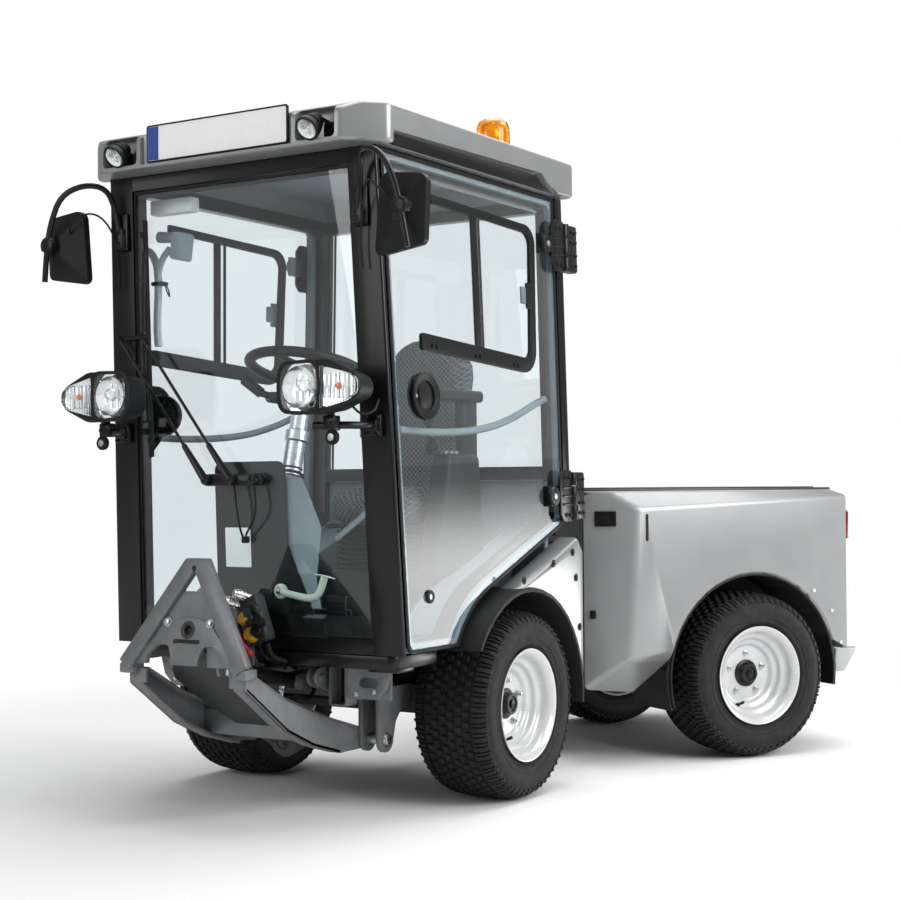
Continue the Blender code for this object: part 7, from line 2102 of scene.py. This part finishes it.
# ------------------------------------------------------------------ rear half
@dataclass
class RearBody:
    """Load body: moulded side panels with their arch liners, deck, walls, lamps and bumper."""

    face_x: float = 0.560
    corner: tuple[float, float] = (0.450, 0.150)
    seam_z: float = 0.932
    axle: tuple[float, float] = (0.784, 0.288)
    arch: float = 0.362

    def side(self, side: str) -> None:
        """Builds one side panel, silver outside, with its black wheel-arch liner."""
        panel = install(recast("body_side_" + side), "side_moulding_" + side, SILVER_PANEL, "rear", None,
                        24, ["body_side_" + side])
        inverse = DATUM.rear.inverted()
        centre = Vector(self.axle)

        def liner(middle: Vector, normal: Vector) -> bool:
            """Says whether a face belongs to the arch liner or its wall."""
            place = inverse @ middle
            away = (Vector((place.y, place.z)) - centre).length
            return away < self.arch + 0.0040 and abs(place.x) < self.face_x - 0.0131

        paint_where(panel, MUDGUARD_BLACK, liner)

    def trims(self) -> None:
        """Builds grip (black: painted shade), latch, slot, arch bead, pale edge strip (painted highlight) and screws of
        both sides.
        """
        body, place = "rear", DATUM.rear
        run = Vector((self.face_x - self.corner[0], 0.275 - self.corner[1], 0)).normalized()
        out = Vector((run.y, -run.x, 0))
        middle = Vector((0.500, 0, 0.842))
        middle.y = self.corner[1] + (middle.x - self.corner[0]) * run.y / run.x
        upright = Vector((0, 0, 1))

        def slab(name: str, across: float, tall: float, start: float, end: float, shift: Point) -> bpy.types.Object:
            """Makes a small block that lies in the slanted corner's face."""
            centre = middle + run * shift[0] + upright * shift[1]
            corners = [centre + run * a * across / 2 + upright * b * tall / 2 + out * start
                       for a, b in ((-1, -1), (1, -1), (1, 1), (-1, 1))]
            return push(trace(name, corners), out * (end - start))

        # The grip is a recess in the silver moulding; it is drawn as a black cup, and its black is painted shade for
        # that recess.
        frame_piece = carve(ease(slab("grip", 0.074, 0.052, -0.004, 0.0035, (0, 0)), 0.002),
                            slab("hollow", 0.062, 0.040, -0.001, 0.010, (0, 0)))
        pair(frame_piece, "body_grip", GRAINED_BLACK, body, place)
        latch = ease(slab("latch", 0.020, 0.028, -0.001, 0.010, (-0.044, -0.325)), 0.003)
        pair(latch, "body_latch", GRAINED_BLACK, body, place)
        slot = side_plate("slot", rounded([(0.330, 0.765, 0.0055), (0.341, 0.765, 0.0055), (0.341, 0.858, 0.0055),
                                           (0.330, 0.858, 0.0055)], 4), self.face_x - 0.001, self.face_x + 0.0006)
        pair(slot, "body_slot", SEAL_RUBBER, body, place)
        cy, cz = self.axle
        path = [(self.face_x - 0.0105, cy + (self.arch - 0.0110) * math.cos(a), cz + (self.arch - 0.0110) * math.sin(a))
                for a in (math.radians(196 - 204 * i / 56) for i in range(57))]
        pair(pipe("bead", path, 0.0050, 0, 3), "rear_arch_bead", MUDGUARD_BLACK, body, place)
        # Pale strip along the top edge at the deck's seam: a painted highlight of that edge.
        seam = pipe("seam", [(0.4975, 1.174, self.seam_z + 0.0012), (0.4975, 0.232, self.seam_z + 0.0012),
                             (0.4480, 0.156, self.seam_z + 0.0012)], 0.0022, 0, 3)
        pair(seam, "deck_seam", PALE_PAINT_AND_EDGE_HIGHLIGHT, body, place)
        for i, (y, z, size) in enumerate(((1.040, 0.575, 0.0075), (1.120, 0.500, 0.0075), (1.160, 0.385, 0.0065))):
            screw = lathe("screw", [(0, 0.0002), (size, 0.0002), (size * 0.9, size * 0.4), (size * 0.35, size * 0.55),
                                    (0, size * 0.45)], (self.face_x, y, z), (1, 0, 0), 20)
            pair(screw, f"body_screw_{i}", ZINC_PLATE, body, place)

    def deck(self) -> None:
        """Builds the deck, its rails and boards, and the front wall."""
        install(recast("load_deck", 0.003, 2), "deck_plate", ANTHRACITE_PANEL, "rear", None, 34,
                ["load_deck"])
        install(recast("body_front", 0.003, 2), "front_wall", ANTHRACITE_PANEL, "rear", None, 34,
                ["body_front"])
        boards = [block("board", (x, 0.260, 0.9442), (x + 0.086, 1.160, 0.9472), 0.0012)
                  for x in (-0.436, -0.340, -0.244, -0.148, -0.052, 0.044, 0.140, 0.236, 0.332)]
        install(gather("boards", boards), "deck_ribs", ANTHRACITE_PANEL, "rear", DATUM.rear)
        vents = [block("vent", (-0.26, 0.1484, z), (0.26, 0.1502, z + 0.010), 0.0006)
                 for z in (0.60, 0.63, 0.66, 0.69, 0.72, 0.75, 0.78)]
        install(gather("vents", vents), "wall_vents", GRAINED_BLACK, "rear", DATUM.rear)

    def tail(self) -> None:
        """Builds the tail panel with its grille, lamps and bare plate holder."""
        install(recast("tail_panel", 0.003, 2), "tail_moulding", SILVER_PANEL, "rear", None, 34,
                ["tail_panel"])
        place = DATUM.rear
        lens = front_plate("lens", rounded([(0.503, 0.756, 0.006), (0.548, 0.756, 0.006), (0.548, 0.856, 0.006),
                                            (0.503, 0.856, 0.006)]), 1.2062, 1.2112)
        cheek = block("cheek", (0.5496, 1.186, 0.757), (0.5525, 1.2080, 0.855), 0.001)
        pair(gather("lens", [ease(lens, 0.0015), cheek]), "tail_lamp_lens", RED_LENS, "rear", place)
        back = block("back", (0.5015, 1.2055, 0.754), (0.5498, 1.2066, 0.858))
        pair(back, "tail_lamp_reflector", RED_BACK, "rear", place)
        slats = [block("slat", (-0.36, 1.1896, z), (0.36, 1.1960, z + 0.011), 0.002)
                 for z in (0.60, 0.63, 0.66, 0.69, 0.72, 0.75, 0.78, 0.81)]
        border = carve(ease(block("border", (-0.40, 1.1896, 0.570), (0.40, 1.1950, 0.850)), 0.004),
                       block("inside", (-0.375, 1.18, 0.592), (0.375, 1.21, 0.828)))
        install(gather("grille", [*slats, border]), "tail_grille", GRAINED_BLACK, "rear", place)
        holder = carve(ease(block("holder", (-0.265, 1.1898, 0.420), (0.265, 1.1940, 0.535)), 0.0015),
                       block("pocket", (-0.259, 1.1925, 0.426), (0.259, 1.21, 0.529)))
        install(holder, "rear_plate_holder", GRAINED_BLACK, "rear", place)

    def bumper(self) -> None:
        """Builds the step bumper with its slanted face, the tow jaw and its pin."""
        tray = block("tray", (-0.499, 1.1905, 0.2685), (0.499, 1.2915, 0.3555))
        taper(tray, lambda middle, normal: normal.z < -0.9, (0.97, 0.50, 1), (0, 1.190, 0.2685))
        ease(tray, 0.006, 3)
        hollow = block("hollow", (-0.46, 1.17, 0.240), (0.46, 1.232, 0.335))
        install(carve(tray, hollow), "step_bumper", PALE_PAINT_AND_EDGE_HIGHLIGHT, "rear", DATUM.rear, 34, ["rear_bumper"])
        tread = [block("tread", (-0.46, y, 0.3553), (0.46, y + 0.006, 0.3560))
                 for y in (1.21, 1.225, 1.24, 1.255, 1.27)]
        install(gather("tread", tread), "bumper_tread", GRAINED_BLACK, "rear", DATUM.rear)
        stay = ease(block("stay", (-0.050, 1.1905, 0.3565), (0.050, 1.2020, 0.520)), 0.003)
        jaws = [ease(flat_plate("jaw", [(-0.035, 1.195), (0.035, 1.195)] + arc((0, 1.300), 0.030, 0, 180, 14), z,
                                z + 0.012), 0.002) for z in (0.425, 0.475)]
        pin = bar("pin", (0, 1.300, 0.410), (0, 1.300, 0.496), 0.0095, None, 28, 0.001)
        ring = pipe("ring", [(0, 1.300, 0.497), (0.012, 1.306, 0.506), (0, 1.316, 0.512), (-0.012, 1.306, 0.506),
                             (0, 1.300, 0.497)], 0.0025, 2, 3)
        bolts = [hex_bolt((x, 1.2020, z), (0, 1, 0), 0.014, 0.007) for x in (-0.038, 0.038) for z in (0.385, 0.505)]
        install(gather("jaw", [stay, *jaws, pin, ring, *bolts]), "tow_jaw", BLACK_COAT, "rear",
                DATUM.rear, 30)

    def build(self) -> None:
        """Builds the rear body."""
        for side in ("left", "right"):
            self.side(side)
        self.trims()
        self.deck()
        self.tail()
        self.bumper()


@dataclass
class RearChassis:
    """Frame, axle and engine of the rear half."""

    def build(self) -> None:
        """Builds the running gear of the rear half."""
        install(recast("rear_chassis", 0.003, 2), "rear_rails", BLACK_COAT, "rear", None, 34,
                ["rear_chassis"])
        install(recast("rear_axle", 0.003, 2), "rear_axle_casting", CAST_ENAMEL, "rear", None, 40,
                ["rear_axle"])
        install(recast("engine", 0.012, 3), "engine_block", CAST_ENAMEL, "rear", None, 40, ["engine"])
        ribs = [block("rib", (-0.236, 0.2920, z), (0.236, 0.2998, z + 0.012), 0.002)
                for z in (0.50, 0.53, 0.56, 0.59, 0.62, 0.65, 0.68, 0.71, 0.74, 0.77)]
        pan = block("pan", (-0.160, 0.34, 0.3995), (0.160, 0.68, 0.4300), 0.010, 3)
        install(gather("ribs", [*ribs, pan]), "engine_ribs", CAST_ENAMEL, "rear", DATUM.rear)


# ------------------------------------------------------------------ studio
@dataclass
class Studio:
    """Plain pale floor, white surroundings, soft lamps, a bounce card and the camera."""

    floor_size: float = 40.0
    shadow_reach: float = 1.75
    shadow_fade: float = 1.9
    fill: float = 0.34
    card_place: tuple[float, float, float] = (1.83, 1.86, 0.585)
    card_size: tuple[float, float] = (1.4, 1.13)
    card_glow: float = 7.0
    camera_place: tuple[float, float, float] = (3.0475, -4.4245, 0.9583)
    yaw: float = 31.8022
    rise: float = -1.2386
    roll: float = -0.398
    lens_mm: float = 66.151
    sensor_mm: float = 36.0

    def floor(self) -> None:
        """Lays a pale floor that keeps the machine's shadow and fades to white around it."""
        floor = add("studio_floor", bpy.ops.mesh.primitive_plane_add, size=self.floor_size)
        material = bpy.data.materials.new("pale studio floor")
        material.use_nodes = True
        tree = material.node_tree
        shader = tree.nodes["Principled BSDF"]
        shader.inputs["Base Color"].default_value = srgb("f4f4f4")
        shader.inputs["Roughness"].default_value = 0.9
        place = add_node(tree, "TexCoord").outputs["Object"]
        far = add_node(tree, "VectorMath", {"operation": "LENGTH"}, {0: place})
        fade = add_node(tree, "MapRange", {"interpolation_type": "SMOOTHSTEP", "From Min": self.shadow_reach,
                                           "From Max": self.shadow_reach * self.shadow_fade},
                        {"Value": far.outputs["Value"]})
        path = add_node(tree, "LightPath")
        seen = add_node(tree, "Math", {"operation": "MAXIMUM"}, {0: path.outputs["Is Camera Ray"],
                                                                 1: path.outputs["Is Transmission Ray"]})
        share = add_node(tree, "Math", {"operation": "MULTIPLY"}, {0: fade.outputs["Result"], 1: seen.outputs[0]})
        white = add_node(tree, "Emission", {"Color": (1, 1, 1, 1), "Strength": 1.0})
        mixed = add_node(tree, "MixShader", {}, {0: share.outputs[0], 1: shader.outputs["BSDF"],
                                                 2: white.outputs["Emission"]})
        tree.links.new(mixed.outputs["Shader"], tree.nodes["Material Output"].inputs["Surface"])
        floor.data.materials.append(material)

    def surroundings(self) -> None:
        """Gives a white backdrop to what the camera sees, straight or through glass, and a dimmer fill light."""
        world = bpy.data.worlds.new("studio")
        bpy.context.scene.world = world
        world.use_nodes = True
        tree = world.node_tree
        fill = tree.nodes["Background"]
        fill.inputs["Color"].default_value = (1, 1, 1, 1)
        fill.inputs["Strength"].default_value = self.fill
        white = add_node(tree, "Background", {"Color": (1, 1, 1, 1), "Strength": 1.0})
        path = add_node(tree, "LightPath")
        seen = add_node(tree, "Math", {"operation": "MAXIMUM"}, {0: path.outputs["Is Camera Ray"],
                                                                 1: path.outputs["Is Transmission Ray"]})
        mixed = add_node(tree, "MixShader", {}, {0: seen.outputs[0], 1: fill.outputs["Background"],
                                                 2: white.outputs["Background"]})
        tree.links.new(mixed.outputs["Shader"], tree.nodes["World Output"].inputs["Surface"])

    def bounce_card(self) -> None:
        """Stands a glowing card low beside the machine, seen only as a soft image in the foot of the door's glass."""
        card = add("bounce_card", bpy.ops.mesh.primitive_plane_add, size=1.0)
        toward = Vector((-0.51, -0.86, 0.0))
        across = Vector((0.0, 0.0, 1.0)).cross(toward)
        wide, tall = self.card_size
        centre = Vector(self.card_place)
        for vertex, (u, v) in zip(card.data.vertices, ((-1, -1), (1, -1), (-1, 1), (1, 1))):
            vertex.co = centre + across * u * wide / 2 + Vector((0.0, 0.0, v * tall / 2))
        material = bpy.data.materials.new("glowing card")
        material.use_nodes = True
        tree = material.node_tree
        tree.nodes.remove(tree.nodes["Principled BSDF"])
        place = add_node(tree, "TexCoord").outputs["Object"]
        height = add_node(tree, "SeparateXYZ", {}, {0: place})
        glow = add_node(tree, "MapRange", {"interpolation_type": "SMOOTHERSTEP", "From Min": centre.z,
                                           "From Max": centre.z + tall / 2, "To Min": self.card_glow,
                                           "To Max": 0.0}, {"Value": height.outputs["Z"]})
        light = add_node(tree, "Emission", {"Color": (1, 1, 1, 1)}, {"Strength": glow.outputs["Result"]})
        tree.links.new(light.outputs["Emission"], tree.nodes["Material Output"].inputs["Surface"])
        card.data.materials.append(material)
        card.visible_camera = card.visible_diffuse = card.visible_shadow = card.visible_transmission = False

    def lamp(self, name: str, place: Point, aim: Point, size: tuple[float, float], power: float) -> None:
        """Hangs one softbox.

        Args:
            name: The lamp's name.
            place: Where it hangs.
            aim: The point that it faces.
            size: Width and height of its face.
            power: Watts.
        """
        bpy.ops.object.light_add(type="AREA", location=place)
        lamp = bpy.context.object
        lamp.name = name
        lamp.data.shape = "RECTANGLE"
        lamp.data.size, lamp.data.size_y = size
        lamp.data.energy = power
        lamp.rotation_euler = (Vector(place) - Vector(aim)).to_track_quat("Z", "Y").to_euler()

    def camera(self) -> None:
        """Sets the camera at the machine's three-quarter view."""
        turn_z, tilt, roll = (math.radians(a) for a in (self.yaw, self.rise, self.roll))
        back = Vector((math.sin(turn_z) * math.cos(tilt), -math.cos(turn_z) * math.cos(tilt), math.sin(tilt)))
        level = Vector((math.cos(turn_z), math.sin(turn_z), 0.0))
        above = back.cross(level)
        right = level * math.cos(roll) + above * math.sin(roll)
        up = above * math.cos(roll) - level * math.sin(roll)
        data = bpy.data.cameras.new("camera")
        data.lens = self.lens_mm
        data.sensor_width = self.sensor_mm
        camera = bpy.data.objects.new("camera", data)
        bpy.context.scene.collection.objects.link(camera)
        turned = Matrix((right, up, back)).transposed().to_4x4()
        camera.matrix_world = DATUM.front @ Matrix.Translation(self.camera_place) @ turned
        bpy.context.scene.camera = camera

    def build(self) -> None:
        """Sets up floor, surroundings, lamps and camera."""
        self.camera()
        self.floor()
        self.surroundings()
        self.bounce_card()
        self.lamp("key_softbox", (5.2, -0.6, 3.2), (0.2, 0.0, 0.9), (3.5, 3.0), 225)
        self.lamp("top_softbox", (0.4, 0.6, 5.0), (0.0, 0.0, 0.5), (5.0, 5.0), 250)
        self.lamp("front_softbox", (-1.5, -5.5, 2.6), (0.0, 0.0, 0.9), (2.5, 2.5), 52)
        bpy.context.scene.view_settings.view_transform = "Standard"


# ------------------------------------------------------------------ whole machine
def main() -> None:
    """Builds the studio and the machine's sub-assemblies in order."""
    logging.basicConfig(level=logging.INFO, format="%(name)s %(message)s")
    Studio().build()
    wheels = [Wheel(corner) for corner in ("front_left", "front_right", "rear_left", "rear_right")]
    front = [Roof(), Screen(), Door("left"), Door("right"), Headlamp(), Mirror(), Wiper(), Interior(), Arches()]
    linkage = [QuickHitch(), LiftArms(), Carrier(), LiftCylinder(), SteerCylinder(), Coupler(), FrontChassis()]
    for assembly in [*wheels, *front, *linkage, RearBody(), RearChassis()]:
        LOG.info("building %s", assembly)
        assembly.build()
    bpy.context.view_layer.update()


if __name__ == "__main__":
    main()
